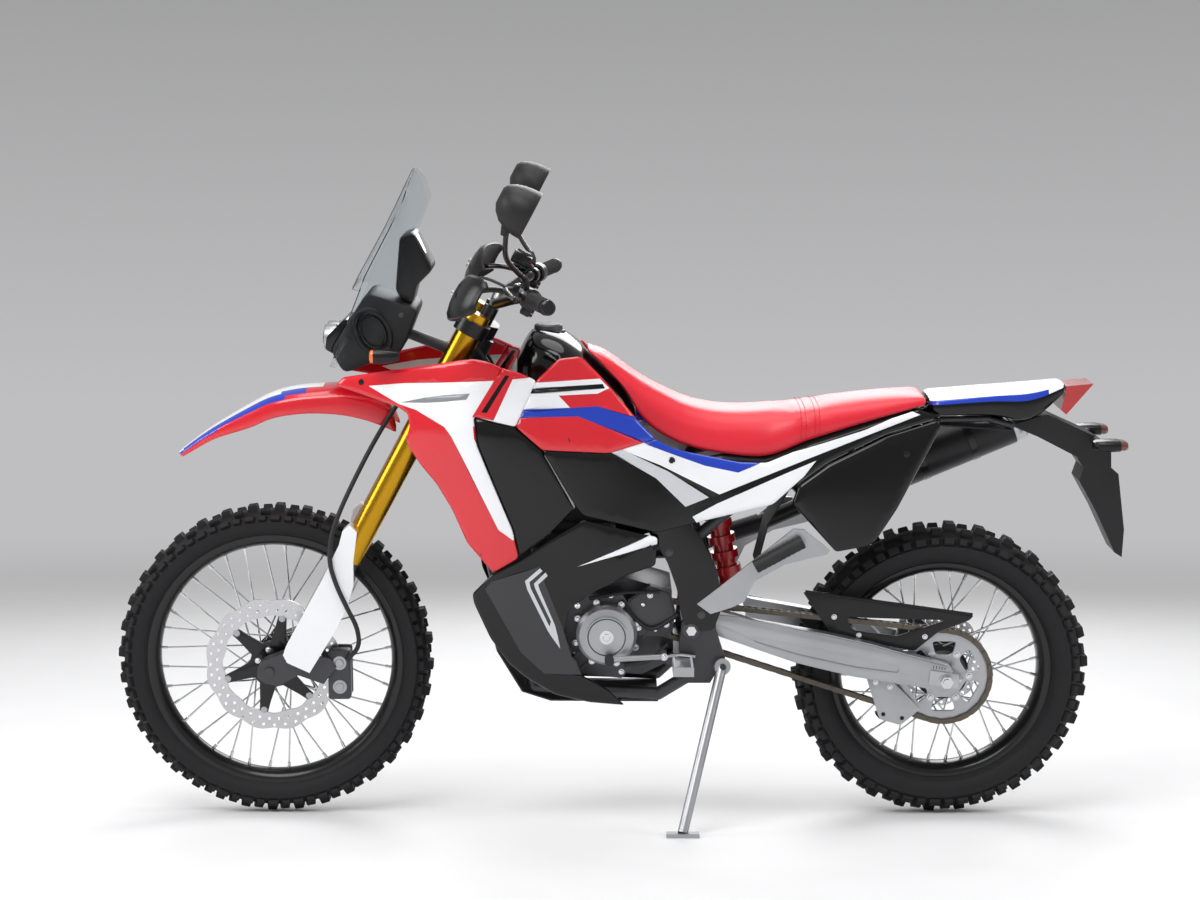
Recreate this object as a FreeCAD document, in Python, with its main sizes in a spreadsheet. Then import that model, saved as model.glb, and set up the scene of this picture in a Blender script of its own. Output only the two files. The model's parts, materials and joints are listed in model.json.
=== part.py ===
import FreeCAD, Part
import math
import os
import Sketcher
from FreeCAD import Placement, Rotation, Vector

# Dual sport motorcycle, leaning to the left on its side stand.
#
# The bike frame that the pieces are drawn in: the front wheel is towards -X, the left
# side is -Y, the ground of the upright bike is Z = 0 and X = 0 lies midway between the
# axles. The steering frame has its origin on the steering axis beside the front axle,
# Z up along the steering axis and X to the rear. Each wheel has its axle as origin.
# All lengths are in millimetres. A table of shares holds parts of the size named with it.

os.makedirs("parts", exist_ok=True)
document = FreeCAD.newDocument("dual_sport_motorcycle")
sheet = document.addObject("Spreadsheet::Sheet", "sizes")


class Size:
    """A number that also knows how it is written in terms of the sheet's cells."""

    def __init__(self, value, text):
        self.value = float(value)
        self.text = text

    def __add__(self, other):
        other = as_size(other)
        return Size(self.value + other.value, f"({self.text} + {other.text})")

    def __sub__(self, other):
        other = as_size(other)
        return Size(self.value - other.value, f"({self.text} - {other.text})")

    def __mul__(self, other):
        other = as_size(other)
        return Size(self.value * other.value, f"{self.text} * {other.text}")

    def __truediv__(self, other):
        other = as_size(other)
        return Size(self.value / other.value, f"{self.text} / {other.text}")

    def __neg__(self):
        return Size(-self.value, f"(0 - {self.text})")

    def __float__(self):
        return self.value

    __radd__ = __add__
    __rmul__ = __mul__


def as_size(number):
    """Wraps a plain number so that it can stand beside sheet sizes."""
    if isinstance(number, Size):
        return number
    return Size(number, f"({float(number)!r})")


class Cells:
    """The sheet's named sizes, filled one row at a time."""

    def __init__(self):
        self.row = 0

    def add(self, name, value, note):
        self.row += 1
        sheet.set(f"A{self.row}", name)
        sheet.set(f"B{self.row}", str(value))
        sheet.set(f"C{self.row}", note)
        sheet.setAlias(f"B{self.row}", name)
        setattr(self, name, Size(value, f"sizes.{name}"))


DRIVING_SIZES = [
    ("wheelbase", 1455, "between the axles, front to rear"),
    ("front_axle_height", 345, "centre of the front wheel above the ground"),
    ("rear_axle_height", 324, "centre of the rear wheel above the ground"),
    ("rake_degrees", 28.1, "steering axis from the vertical"),
    ("fork_offset", 62, "front axle ahead of the steering axis"),
    ("clamp_offset", 24, "fork tubes ahead of the steering axis"),
    ("fork_spread", 102, "fork tube axis from the centre plane"),
    ("fork_tube_radius", 27, "outer fork tube"),
    ("fork_leg_radius", 24, "lower fork leg"),
    ("fork_tube_foot", 296, "lower end of the outer tube above the axle"),
    ("lean_degrees", 9, "lean to the left on the side stand"),
    ("overrun", 5, "what a cutting solid stands past the face it cuts"),
    ("seat_gap", 0.3, "between pieces that rest on each other"),
    ("running_gap", 0.5, "round pins and shafts"),
    ("panel_thickness", 4, "moulded body panels"),
    ("sheet_thickness", 3, "pressed brackets and guards"),
    ("axle_radius", 10, "wheel axles"),
    ("axle_half_length", 128, "wheel axles, each side of the centre plane"),
    ("stem_radius", 20, "steering stem"),
    ("head_tube_radius", 34, "steering head of the frame"),
    ("head_tube_foot", 684, "lower end of the steering head above the axle"),
    ("head_tube_top", 842, "upper end of the steering head above the axle"),
    ("clamp_gap", 6, "between the steering head and each fork clamp"),
    ("clamp_height", 30, "fork clamps, along the steering axis"),
    ("clamp_wall", 9, "fork clamps round the tubes"),
    ("front_tyre_radius", 345, "front tyre over its lugs"),
    ("front_tyre_half_width", 42, "front tyre casing"),
    ("front_rim_radius", 276, "front rim's outer edge, under the bead"),
    ("front_rim_inner_radius", 253, "front rim's inner face"),
    ("front_rim_half_width", 27, "front rim"),
    ("front_lug_height", 11, "front tyre lugs"),
    ("rear_tyre_radius", 324, "rear tyre over its lugs"),
    ("rear_tyre_half_width", 61, "rear tyre casing"),
    ("rear_rim_radius", 237, "rear rim's outer edge, under the bead"),
    ("rear_rim_inner_radius", 215, "rear rim's inner face"),
    ("rear_rim_half_width", 36, "rear rim"),
    ("rear_lug_height", 12, "rear tyre lugs"),
    ("spoke_width", 4.5, "spokes, across"),
    ("front_hub_radius", 30, "front hub barrel"),
    ("front_flange_radius", 47, "front hub spoke flanges"),
    ("front_hub_half_width", 72, "front hub over its ends"),
    ("front_flange_place", 34, "front spoke flanges from the centre plane"),
    ("rear_hub_radius", 38, "rear hub barrel"),
    ("rear_flange_radius", 60, "rear hub spoke flanges"),
    ("rear_hub_half_width", 73, "rear hub over its ends"),
    ("rear_flange_place", 36, "rear spoke flanges from the centre plane"),
    ("flange_thickness", 7, "hub flanges"),
    ("front_disc_radius", 148, "front brake disc"),
    ("front_disc_inner_radius", 110, "inner edge of the front brake disc"),
    ("front_disc_place", 60, "front brake disc from the centre plane"),
    ("rear_disc_radius", 110, "rear brake disc"),
    ("rear_disc_inner_radius", 78, "inner edge of the rear brake disc"),
    ("rear_disc_place", 66, "rear brake disc from the centre plane"),
    ("disc_thickness", 4, "brake discs"),
    ("chain_pitch", 15.875, "drive chain, between pins"),
    ("rear_teeth", 40, "teeth of the rear sprocket"),
    ("front_teeth", 14, "teeth of the front sprocket"),
    ("chain_line", 78, "middle of the chain from the centre plane"),
    ("chain_width", 17, "drive chain over its plates"),
    ("chain_height", 14, "drive chain plates"),
    ("sprocket_thickness", 6, "rear sprocket"),
    ("swingarm_inner", 92, "inner face of the swingarm's legs"),
    ("swingarm_outer", 118, "outer face of the swingarm's legs"),
    ("pivot_plate_inner", 122, "inner face of the frame's pivot plates"),
    ("pivot_plate_outer", 148, "outer face of the frame's pivot plates"),
    ("pivot_pin_radius", 9, "swingarm pivot pin"),
    ("engine_half_width", 115, "crankcase"),
    ("engine_left", 62, "crankcase beside the front sprocket"),
    ("bar_radius", 11, "handlebar tube"),
    ("bar_half_length", 405, "handlebar ends from the centre plane"),
    ("grip_radius", 17, "handlebar grips"),
    ("grip_length", 125, "handlebar grips"),
    ("spar_radius", 16, "frame spars"),
    ("cradle_radius", 14, "frame cradle tubes"),
    ("rail_radius", 12, "subframe rails"),
    ("stay_radius", 7, "frame stays that carry the panels"),
    ("header_radius", 19, "exhaust pipe"),
    ("muffler_radius", 52, "exhaust muffler"),
    ("muffler_place", 168, "muffler axis from the centre plane"),
    ("skid_half_width", 88, "skid plate"),
    ("stand_length", 366, "side stand from its pivot to its foot"),
    ("stand_radius", 11, "side stand tube"),
    ("stand_pivot_place", 160, "side stand pivot from the centre plane"),
    ("stand_foot_length", 68, "side stand foot"),
    ("stand_foot_width", 34, "side stand foot"),
    ("stand_foot_thickness", 8, "side stand foot"),
    ("hose_radius", 5, "front brake hose"),
    ("plate_bolt_radius", 3.25, "holes for the number plate's two bolts"),
    ("plate_bolt_place", 30, "number plate bolts from the centre plane"),
    ("plate_bolt_depth", 20, "holes for the number plate's bolts"),
]

cells = Cells()
for size_name, size_value, size_note in DRIVING_SIZES:
    cells.add(size_name, size_value, size_note)
document.recompute()

base = cells.wheelbase
clamp_foot = cells.head_tube_foot - cells.clamp_gap - cells.clamp_height
clamp_top = cells.head_tube_top + cells.clamp_gap + cells.clamp_height
FORK_TOP_SHARE = 1.019362
fork = clamp_top * FORK_TOP_SHARE
steering = Placement(
    Vector(
        -float(base) / 2 + float(cells.fork_offset) * math.cos(math.radians(float(cells.rake_degrees))),
        0,
        float(cells.front_axle_height)
        - float(cells.fork_offset) * math.sin(math.radians(float(cells.rake_degrees))),
    ),
    Rotation(Vector(0, 1, 0), float(cells.rake_degrees)),
)
front_axle = Placement(Vector(-float(base) / 2, 0, float(cells.front_axle_height)), Rotation())
rear_axle = Placement(Vector(float(base) / 2, 0, float(cells.rear_axle_height)), Rotation())
upright = Placement()
nodes = []


# Ways of making the pieces


def node(feature, name, frame=upright):
    """Marks a feature as one of the part's nodes, drawn in the given frame."""
    feature.Label = name
    nodes.append((feature, name, frame))
    return feature


def shares_of(table, size):
    """Turns pairs of shares into pairs of sizes."""
    return [(size * across, size * up) for across, up in table]


def attach(sketch, body, role, offset):
    """Attaches a sketch to one of its body's origin planes, moved along the plane's normal."""
    plane = [item for item in body.Origin.OriginFeatures if item.Role == role][0]
    sketch.AttachmentSupport = (plane, [""])
    sketch.MapMode = "FlatFace"
    if offset is not None:
        sketch.setExpression("AttachmentOffset.Base.z", offset.text)


def draw_outline(sketch, corners):
    """Draws a closed outline whose corners are bound to the sheet."""
    count = len(corners)
    places = [Vector(float(across), float(up), 0) for across, up in corners]
    for index, place in enumerate(places):
        sketch.addGeometry(Part.LineSegment(place, places[(index + 1) % count]), False)
    for index in range(count):
        sketch.addConstraint(Sketcher.Constraint("Coincident", index, 2, (index + 1) % count, 1))
    for index, (across, up) in enumerate(corners):
        for kind, distance in (("DistanceX", across), ("DistanceY", up)):
            distance = as_size(distance)
            row = sketch.addConstraint(Sketcher.Constraint(kind, -1, 1, index, 1, float(distance)))
            sketch.setExpression(f"Constraints[{row}]", distance.text)


def pad(name, corners, low, high):
    """A plate: an outline in the side view, between two distances along Y."""
    body = document.addObject("PartDesign::Body", name)
    sketch = body.newObject("Sketcher::SketchObject", f"{name}_outline")
    attach(sketch, body, "XZ_Plane", -as_size(high))
    draw_outline(sketch, corners)
    feature = body.newObject("PartDesign::Pad", f"{name}_pad")
    feature.Profile = sketch
    feature.setExpression("Length", (as_size(high) - as_size(low)).text)
    return body


def turned(name, corners):
    """A turned piece: pairs of radius and place along Y, turned about Y."""
    body = document.addObject("PartDesign::Body", name)
    sketch = body.newObject("Sketcher::SketchObject", f"{name}_profile")
    attach(sketch, body, "XY_Plane", None)
    draw_outline(sketch, corners)
    feature = body.newObject("PartDesign::Revolution", f"{name}_turn")
    feature.Profile = sketch
    feature.ReferenceAxis = (sketch, ["V_Axis"])
    feature.Angle = 360
    return body


def rod(name, start, end, radius):
    """A straight round bar between two points."""
    start = Vector(*[float(value) for value in start])
    end = Vector(*[float(value) for value in end])
    bar = document.addObject("Part::Cylinder", name)
    bar.setExpression("Radius", as_size(radius).text)
    bar.Height = (end - start).Length
    bar.Placement = Placement(start, Rotation(Vector(0, 0, 1), end - start))
    return bar


def solid_feature(name, shape):
    """A feature whose shape is worked out in code."""
    feature = document.addObject("Part::Feature", name)
    feature.Shape = shape
    return feature


def joined(name, parts):
    """One solid from pieces that run into each other."""
    feature = document.addObject("Part::MultiFuse", name)
    feature.Shapes = parts
    return feature


def cut(name, solid, tool):
    """A solid less a tool."""
    feature = document.addObject("Part::Cut", name)
    feature.Base = solid
    feature.Tool = tool
    return feature


def common(name, first, second):
    """What two solids share."""
    feature = document.addObject("Part::Common", name)
    feature.Base = first
    feature.Tool = second
    return feature


def mirrored(name, source):
    """The same piece on the other side of the centre plane."""
    feature = document.addObject("Part::Mirroring", name)
    feature.Source = source
    feature.Normal = Vector(0, 1, 0)
    return feature


def group(name, parts):
    """Solids that share a node and don't touch."""
    feature = document.addObject("Part::Compound", name)
    feature.Links = parts
    return feature


def both_sides(name, source):
    """A piece of the left side and its mirror image."""
    return group(name, [source, mirrored(f"{name}_other_side", source)])


def flat_faces(corners):
    """One flat face through four corners, or two triangles where they aren't in a plane."""
    first, second, third, fourth = corners
    normal = (second - first).cross(third - first)
    if normal.Length > 0 and abs(normal.normalize().dot(fourth - first)) < FLAT_LIMIT:
        return [Part.Face(Part.makePolygon(corners + [first]))]
    return [
        Part.Face(Part.makePolygon([first, second, third, first])),
        Part.Face(Part.makePolygon([first, third, fourth, first])),
    ]


FLAT_LIMIT = 1e-6


def skin(rings):
    """A closed solid through a row of rings with the same number of corners."""
    faces = []
    for ring, following in zip(rings, rings[1:]):
        count = len(ring)
        for index in range(count):
            after = (index + 1) % count
            faces += flat_faces([ring[index], ring[after], following[after], following[index]])
    faces.append(Part.Face(Part.makePolygon(rings[0] + [rings[0][0]])))
    faces.append(Part.Face(Part.makePolygon(rings[-1] + [rings[-1][0]])))
    return closed_solid(faces)


def closed_solid(faces):
    """A solid with its faces turned outwards."""
    solid = Part.Solid(Part.makeShell(faces))
    if solid.Volume < 0:
        solid.reverse()
    return solid


def faceted_ring(profile, count):
    """A ring of flat facets about Y from pairs of radius and place along Y."""
    faces = []
    sections = []
    for step in range(count):
        angle = 2 * math.pi * step / count
        sections.append(
            [Vector(radius * math.cos(angle), along, radius * math.sin(angle)) for radius, along in profile]
        )
    for step in range(count):
        ring = sections[step]
        following = sections[(step + 1) % count]
        for index in range(len(profile)):
            after = (index + 1) % len(profile)
            faces += flat_faces([ring[index], ring[after], following[after], following[index]])
    return closed_solid(faces)


def bent_tube(name, points, radius, bend):
    """A tube of straight runs joined by tangent arcs, the bends of the given radius."""
    points = [Vector(*[float(value) for value in point]) for point in points]
    edges = []
    start = points[0]
    for before, corner, after in zip(points, points[1:], points[2:]):
        inward = (before - corner).normalize()
        outward = (after - corner).normalize()
        turn = math.pi - inward.getAngle(outward)
        reach = float(bend) * math.tan(turn / 2)
        arc_start = corner + inward * reach
        arc_end = corner + outward * reach
        middle = (inward + outward).normalize()
        arc_middle = corner + middle * (float(bend) / math.cos(turn / 2) - float(bend))
        edges.append(Part.LineSegment(start, arc_start).toShape())
        edges.append(Part.Arc(arc_start, arc_middle, arc_end).toShape())
        start = arc_end
    edges.append(Part.LineSegment(start, points[-1]).toShape())
    path = Part.Wire(edges)
    direction = points[1] - points[0]
    section = Part.Wire([Part.Circle(points[0], direction, float(radius)).toShape()])
    tube = path.makePipeShell([section], True, True)
    return solid_feature(name, tube)


def strip(points, thickness):
    """A closed outline of even thickness above a line of points in the side view."""
    places = [Vector(float(across), float(up), 0) for across, up in points]
    upper = []
    for index, place in enumerate(places):
        before = places[max(index - 1, 0)]
        after = places[min(index + 1, len(places) - 1)]
        along = (after - before).normalize()
        upper.append(place + Vector(-along.y, along.x, 0) * float(thickness))
    return [(place.x, place.y) for place in places + upper[::-1]]


# The body's half width, as shares of the wheelbase, by height and by place along the bike

width_place_shares = (-0.42, -0.33, -0.25, -0.17, -0.10, 0.00, 0.10, 0.20, 0.30, 0.40, 0.50)
width_height_shares = (0.17, 0.30, 0.40, 0.50, 0.60, 0.65, 0.73)
half_width_shares = (
    (0.070, 0.075, 0.080, 0.095, 0.105, 0.108, 0.104, 0.100, 0.098, 0.095, 0.090),
    (0.075, 0.085, 0.100, 0.120, 0.128, 0.128, 0.118, 0.108, 0.105, 0.100, 0.092),
    (0.080, 0.100, 0.118, 0.140, 0.142, 0.132, 0.114, 0.106, 0.106, 0.100, 0.092),
    (0.080, 0.110, 0.136, 0.156, 0.150, 0.124, 0.108, 0.104, 0.100, 0.092, 0.082),
    (0.078, 0.118, 0.148, 0.160, 0.148, 0.114, 0.092, 0.086, 0.084, 0.078, 0.068),
    (0.074, 0.112, 0.140, 0.148, 0.134, 0.102, 0.084, 0.080, 0.076, 0.068, 0.056),
    (0.066, 0.098, 0.122, 0.128, 0.112, 0.082, 0.072, 0.068, 0.062, 0.052, 0.042),
)


def between(value, marks):
    """The interval of a rising row of marks that holds a value, and the share of the way through."""
    for index in range(len(marks) - 2):
        if value <= marks[index + 1]:
            break
    else:
        index = len(marks) - 2
    return index, (value - marks[index]) / (marks[index + 1] - marks[index])


def half_width(place_share, height_share):
    """Half the body's width at a place in the side view, in millimetres."""
    column, across = between(place_share, width_place_shares)
    row, up = between(height_share, width_height_shares)
    low = half_width_shares[row]
    high = half_width_shares[row + 1]
    lower = low[column] * (1 - across) + low[column + 1] * across
    upper = high[column] * (1 - across) + high[column + 1] * across
    return float(base) * (lower * (1 - up) + upper * up)


def body_block(name, inset):
    """The left half of the body as the width table has it, moved in by an inset."""
    rings = []
    for height_share, row in zip(width_height_shares, half_width_shares):
        height = float(base) * height_share
        outer = [
            Vector(float(base) * place_share, -float(base) * share + float(inset), height)
            for place_share, share in zip(width_place_shares, row)
        ]
        inner = [Vector(outer[end].x, float(cells.overrun), height) for end in (-1, 0)]
        rings.append(outer + inner)
    return solid_feature(name, skin(rings))


def body_panel(name, outline_shares, inset=0):
    """A left side panel: its outline in the side view, cut from the body's wall."""
    outer = body_block(f"{name}_outside", inset)
    inner = body_block(f"{name}_inside", as_size(inset) + cells.panel_thickness)
    outline = pad(f"{name}_blank", shares_of(outline_shares, base), -base * PANEL_REACH_SHARE, 0)
    return cut(f"{name}_left", common(f"{name}_slab", outline, outer), inner)


PANEL_REACH_SHARE = 0.2


# Wheels


def lugs(radius, height, rows, count):
    """Tread lugs round a tyre: each row is where the lugs sit and how long and wide they are."""
    blocks = []
    for step in range(count):
        angle = 360 * (step + 0.5) / count
        for along, drop, length, width, tilt in rows[step % len(rows)]:
            tall = float(height) + float(cells.overrun)
            block = Part.makeBox(length, width, tall, Vector(-length / 2, -width / 2, -float(cells.overrun)))
            block.rotate(Vector(), Vector(1, 0, 0), -tilt)
            block.translate(Vector(0, along, radius - height - drop))
            block.rotate(Vector(), Vector(0, 1, 0), angle)
            blocks.append(block)
    return blocks


def tyre(name, radius, half_width_size, rim_radius, rim_half_width, lug_height, count, crown_share):
    """A tyre: a casing of flat facets that fills down to its rim, with its tread lugs."""
    casing = radius - lug_height
    tall = casing - rim_radius
    wide = half_width_size
    profile = [
        (rim_radius, -rim_half_width + float(cells.flange_thickness) / 2),
        (rim_radius + tall * 0.28, -wide * 0.93),
        (rim_radius + tall * 0.55, -wide),
        (casing - tall * crown_share, -wide * 0.84),
        (casing, -wide * 0.36),
        (casing, wide * 0.36),
        (casing - tall * crown_share, wide * 0.84),
        (rim_radius + tall * 0.55, wide),
        (rim_radius + tall * 0.28, wide * 0.93),
        (rim_radius, rim_half_width - float(cells.flange_thickness) / 2),
    ]
    pitch = 2 * math.pi * casing / count
    slope = math.degrees(math.atan2(tall * crown_share, wide * 0.48))
    centre = [(-wide * 0.19, 0, pitch * 0.62, wide * 0.28, 0), (wide * 0.19, 0, pitch * 0.62, wide * 0.28, 0)]
    outer = [
        (side * wide * 0.66, tall * crown_share * 0.5, pitch * 0.66, wide * 0.36, side * slope)
        for side in (-1, 1)
    ]
    ring = faceted_ring(profile, count)
    blocks = lugs(radius, lug_height, (centre, outer), count)
    return solid_feature(name, ring.multiFuse(blocks).removeSplitter())


def wheel_spokes(hub_radius, flange_place, rim_radius, count):
    """Crossed spokes from both hub flanges to the rim's inner face."""
    width = float(cells.spoke_width)
    spokes = []
    for step in range(count):
        side = -1 if step % 2 else 1
        lead = 1 if (step // 2) % 2 else -1
        rim_angle = 2 * math.pi * (step + 0.5) / count
        hub_angle = rim_angle + lead * SPOKE_LEAD
        foot = Vector(hub_radius * math.cos(hub_angle), side * flange_place, hub_radius * math.sin(hub_angle))
        tip = Vector(
            rim_radius * math.cos(rim_angle), side * flange_place * SPOKE_RIM_SHARE, rim_radius * math.sin(rim_angle)
        )
        spoke = Part.makeBox(width, width, (tip - foot).Length, Vector(-width / 2, -width / 2, 0))
        spoke.Placement = Placement(foot, Rotation(Vector(0, 0, 1), tip - foot)).multiply(spoke.Placement)
        spokes.append(spoke)
    return spokes


SPOKE_LEAD = 0.9
SPOKE_RIM_SHARE = 0.2
SPOKE_COUNT = 36
FACETS_ROUND = 36


def wire_wheel(name, rim, hub_profile, hub_radius, flange_place, frame):
    """Rim, hub and spokes of a wire wheel, as one piece."""
    rim_radius, rim_inner, rim_half = [float(value) for value in rim]
    rim_profile = [
        (rim_inner, -rim_half * 0.55),
        (rim_inner + (rim_radius - rim_inner) * 0.6, -rim_half),
        (rim_radius, -rim_half),
        (rim_radius, rim_half),
        (rim_inner + (rim_radius - rim_inner) * 0.6, rim_half),
        (rim_inner, rim_half * 0.55),
    ]
    ring = faceted_ring(rim_profile, FACETS_ROUND)
    hub = turned(f"{name}_hub", hub_profile)
    document.recompute()
    spokes = wheel_spokes(
        float(hub_radius) - float(cells.spoke_width),
        float(flange_place),
        rim_inner + float(cells.spoke_width),
        SPOKE_COUNT,
    )
    shape = hub.Shape.multiFuse([ring] + spokes)
    return node(solid_feature(name, shape.removeSplitter()), name, frame)


def hub_profile(bore, barrel, flange, flange_place, half_length):
    """A hub's outline from its middle out: pairs of radius and place along Y."""
    thick = cells.flange_thickness
    side = [
        (barrel, flange_place - thick),
        (flange, flange_place - thick * 0.5),
        (flange, flange_place + thick * 0.5),
        (barrel, flange_place + thick),
        (barrel, half_length),
        (bore, half_length),
    ]
    other = [(radius, -as_size(along)) for radius, along in side[::-1]]
    return side + other


def disc_outline(radius, inner, waves, depth, steps):
    """A wavy disc edge as corner points round the axle."""
    points = []
    for step in range(waves * steps):
        angle = 2 * math.pi * step / (waves * steps)
        here = float(radius) - (float(depth) if step % steps == 0 else 0)
        points.append(Vector(here * math.cos(angle), 0, here * math.sin(angle)))
    return points


def plate_ring(outer, inner, low, high):
    """A flat ring between two rows of corners, from low to high along Y."""
    face = Part.Face([Part.makePolygon(outer + [outer[0]]), Part.makePolygon(inner + [inner[0]])])
    face.validate()
    face.translate(Vector(0, low, 0))
    return face.extrude(Vector(0, high - low, 0))


def round_corners(radius, count):
    """Corners of a regular outline round the axle."""
    return [
        Vector(radius * math.cos(2 * math.pi * step / count), 0, radius * math.sin(2 * math.pi * step / count))
        for step in range(count)
    ]


def spider(radius, inner, arms, width, low, high):
    """A carrier's arms from a hub out to a ring."""
    pieces = []
    for step in range(arms):
        arm = Part.makeBox(radius - inner, high - low, width, Vector(inner, low, -width / 2))
        arm.rotate(Vector(), Vector(0, 1, 0), 360 * step / arms)
        pieces.append(arm)
    return pieces


def brake_disc(name, radius, inner, place, hub_radius, bore, frame):
    """A brake disc with its carrier, bolted on the hub's end."""
    radius, inner, place = float(radius), float(inner), float(place)
    low = place - float(cells.disc_thickness) / 2
    high = place + float(cells.disc_thickness) / 2
    thick = high - low
    ring = plate_ring(disc_outline(radius, inner, 12, thick * 1.25, 3), round_corners(inner, 24), low, high)
    middle = plate_ring(round_corners(hub_radius, 12), round_corners(bore, 12), low, high)
    arms = spider(inner + thick * 1.5, hub_radius - thick * 1.5, 6, thick * 4, low, high)
    return node(solid_feature(name, ring.multiFuse([middle] + arms).removeSplitter()), name, frame)


def make_wheels():
    """Both wheels with their tyres, discs and the rear sprocket."""
    bore = cells.axle_radius + cells.running_gap
    node(
        tyre(
            "front_tyre",
            float(cells.front_tyre_radius),
            float(cells.front_tyre_half_width),
            float(cells.front_rim_radius),
            float(cells.front_rim_half_width),
            float(cells.front_lug_height),
            FACETS_ROUND,
            0.32,
        ),
        "front_tyre",
        front_axle,
    )
    node(
        tyre(
            "rear_tyre",
            float(cells.rear_tyre_radius),
            float(cells.rear_tyre_half_width),
            float(cells.rear_rim_radius),
            float(cells.rear_rim_half_width),
            float(cells.rear_lug_height),
            FACETS_ROUND,
            0.34,
        ),
        "rear_tyre",
        rear_axle,
    )
    front_disc_face = cells.front_disc_place - cells.disc_thickness * 0.5
    profile = hub_profile(
        bore, cells.front_hub_radius, cells.front_flange_radius, cells.front_flange_place, front_disc_face
    )
    wire_wheel(
        "front_wheel",
        (cells.front_rim_radius, cells.front_rim_inner_radius, cells.front_rim_half_width),
        profile,
        cells.front_flange_radius,
        cells.front_flange_place,
        front_axle,
    )
    rear_disc_face = cells.rear_disc_place - cells.disc_thickness * 0.5
    profile = hub_profile(
        bore, cells.rear_hub_radius, cells.rear_flange_radius, cells.rear_flange_place, rear_disc_face
    )
    wire_wheel(
        "rear_wheel",
        (cells.rear_rim_radius, cells.rear_rim_inner_radius, cells.rear_rim_half_width),
        profile,
        cells.rear_flange_radius,
        cells.rear_flange_place,
        rear_axle,
    )
    bore = float(bore)
    brake_disc(
        "front_brake_disc",
        cells.front_disc_radius,
        cells.front_disc_inner_radius,
        -cells.front_disc_place,
        float(cells.front_flange_radius) * 1.28,
        bore,
        front_axle,
    )
    brake_disc(
        "rear_brake_disc",
        cells.rear_disc_radius,
        cells.rear_disc_inner_radius,
        cells.rear_disc_place,
        float(cells.rear_flange_radius) * 0.93,
        bore,
        rear_axle,
    )
    pitch_radius = sprocket_radius(cells.rear_teeth)
    tip = pitch_radius - float(cells.chain_height) / 2 - 2 * float(cells.running_gap)
    middle = -float(cells.chain_line)
    half = float(cells.sprocket_thickness) / 2
    ring = plate_ring(round_corners(tip, 40), round_corners(tip * 0.76, 20), middle - half, middle + half)
    hub = float(cells.rear_flange_radius) * 0.92
    centre = plate_ring(round_corners(hub, 12), round_corners(bore, 12), middle - half, -float(rear_disc_face))
    arms = spider(tip * 0.81, hub * 0.9, 6, half * 6, middle - half, middle + half)
    node(
        solid_feature("rear_sprocket", ring.multiFuse([centre] + arms).removeSplitter()),
        "rear_sprocket",
        rear_axle,
    )


def sprocket_radius(teeth):
    """The circle of the chain's pins round a sprocket."""
    return float(cells.chain_pitch) / (2 * math.sin(math.pi / float(teeth)))


# Drive chain


def links_round(distance):
    """The links that fit round both sprockets at a distance between their centres."""
    slope = math.asin((sprocket_radius(cells.rear_teeth) - sprocket_radius(cells.front_teeth)) / distance)
    links = 2 * distance * math.cos(slope) / float(cells.chain_pitch)
    links += float(cells.rear_teeth) * (math.pi + 2 * slope) / (2 * math.pi)
    return links + float(cells.front_teeth) * (math.pi - 2 * slope) / (2 * math.pi)


def chain_distance():
    """The distance between the sprockets' centres that the nearest even number of links just fits."""
    chain_links = 2 * round(links_round(float(base) * CHAIN_DISTANCE_SHARE) / 2)
    low = sprocket_radius(cells.rear_teeth) + sprocket_radius(cells.front_teeth)
    high = float(base)
    for _ in range(60):
        distance = (low + high) / 2
        if links_round(distance) > chain_links:
            high = distance
        else:
            low = distance
    return (low + high) / 2


CHAIN_DISTANCE_SHARE = 0.43
FRONT_SPROCKET_HEIGHT_SHARE = 0.3134


def front_sprocket_centre():
    """Where the engine's output shaft lies in the side view."""
    rise = float(base) * FRONT_SPROCKET_HEIGHT_SHARE - float(cells.rear_axle_height)
    back = math.sqrt(chain_distance() ** 2 - rise ** 2)
    return Vector(float(base) / 2 - back, 0, float(base) * FRONT_SPROCKET_HEIGHT_SHARE)


def chain_loop(offset):
    """Corners of the chain's line round both sprockets, moved outwards by an offset."""
    front = front_sprocket_centre()
    rear = Vector(float(base) / 2, 0, float(cells.rear_axle_height))
    large = sprocket_radius(cells.rear_teeth)
    small = sprocket_radius(cells.front_teeth)
    tilt = math.atan2(rear.z - front.z, rear.x - front.x)
    slope = math.asin((large - small) / chain_distance())
    corners = []
    for centre, radius, start, end, steps in (
        (rear, large, tilt + math.pi / 2 + slope, tilt - math.pi / 2 - slope, 14),
        (front, small, tilt - math.pi / 2 - slope, tilt - 3 * math.pi / 2 + slope, 6),
    ):
        for step in range(steps + 1):
            angle = start + (end - start) * step / steps
            reach = radius + offset
            corners.append(centre + Vector(reach * math.cos(angle), 0, reach * math.sin(angle)))
    return corners


def make_chain():
    """The drive chain as one closed loop."""
    half = float(cells.chain_height) / 2
    middle = -float(cells.chain_line)
    side = float(cells.chain_width) / 2
    loop = plate_ring(chain_loop(half), chain_loop(-half), middle - side, middle + side)
    node(solid_feature("drive_chain", loop), "drive_chain")


# Front fork and what turns with it

fender_station_shares = (
    (-0.512, 0.345, -0.498, 0.338, 0.028),
    (-0.469, 0.437, -0.445, 0.425, 0.055),
    (-0.410, 0.535, -0.382, 0.493, 0.075),
    (-0.374, 0.585, -0.346, 0.539, 0.085),
    (-0.328, 0.626, -0.300, 0.576, 0.088),
    (-0.275, 0.660, -0.249, 0.605, 0.084),
    (-0.225, 0.690, -0.189, 0.629, 0.078),
    (-0.170, 0.708, -0.125, 0.643, 0.072),
    (-0.130, 0.712, -0.060, 0.647, 0.066),
)
fender_section_shares = ((-1.0, 1.0), (-0.96, 0.35), (-0.55, 0.05), (0.0, 0.0))

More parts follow.
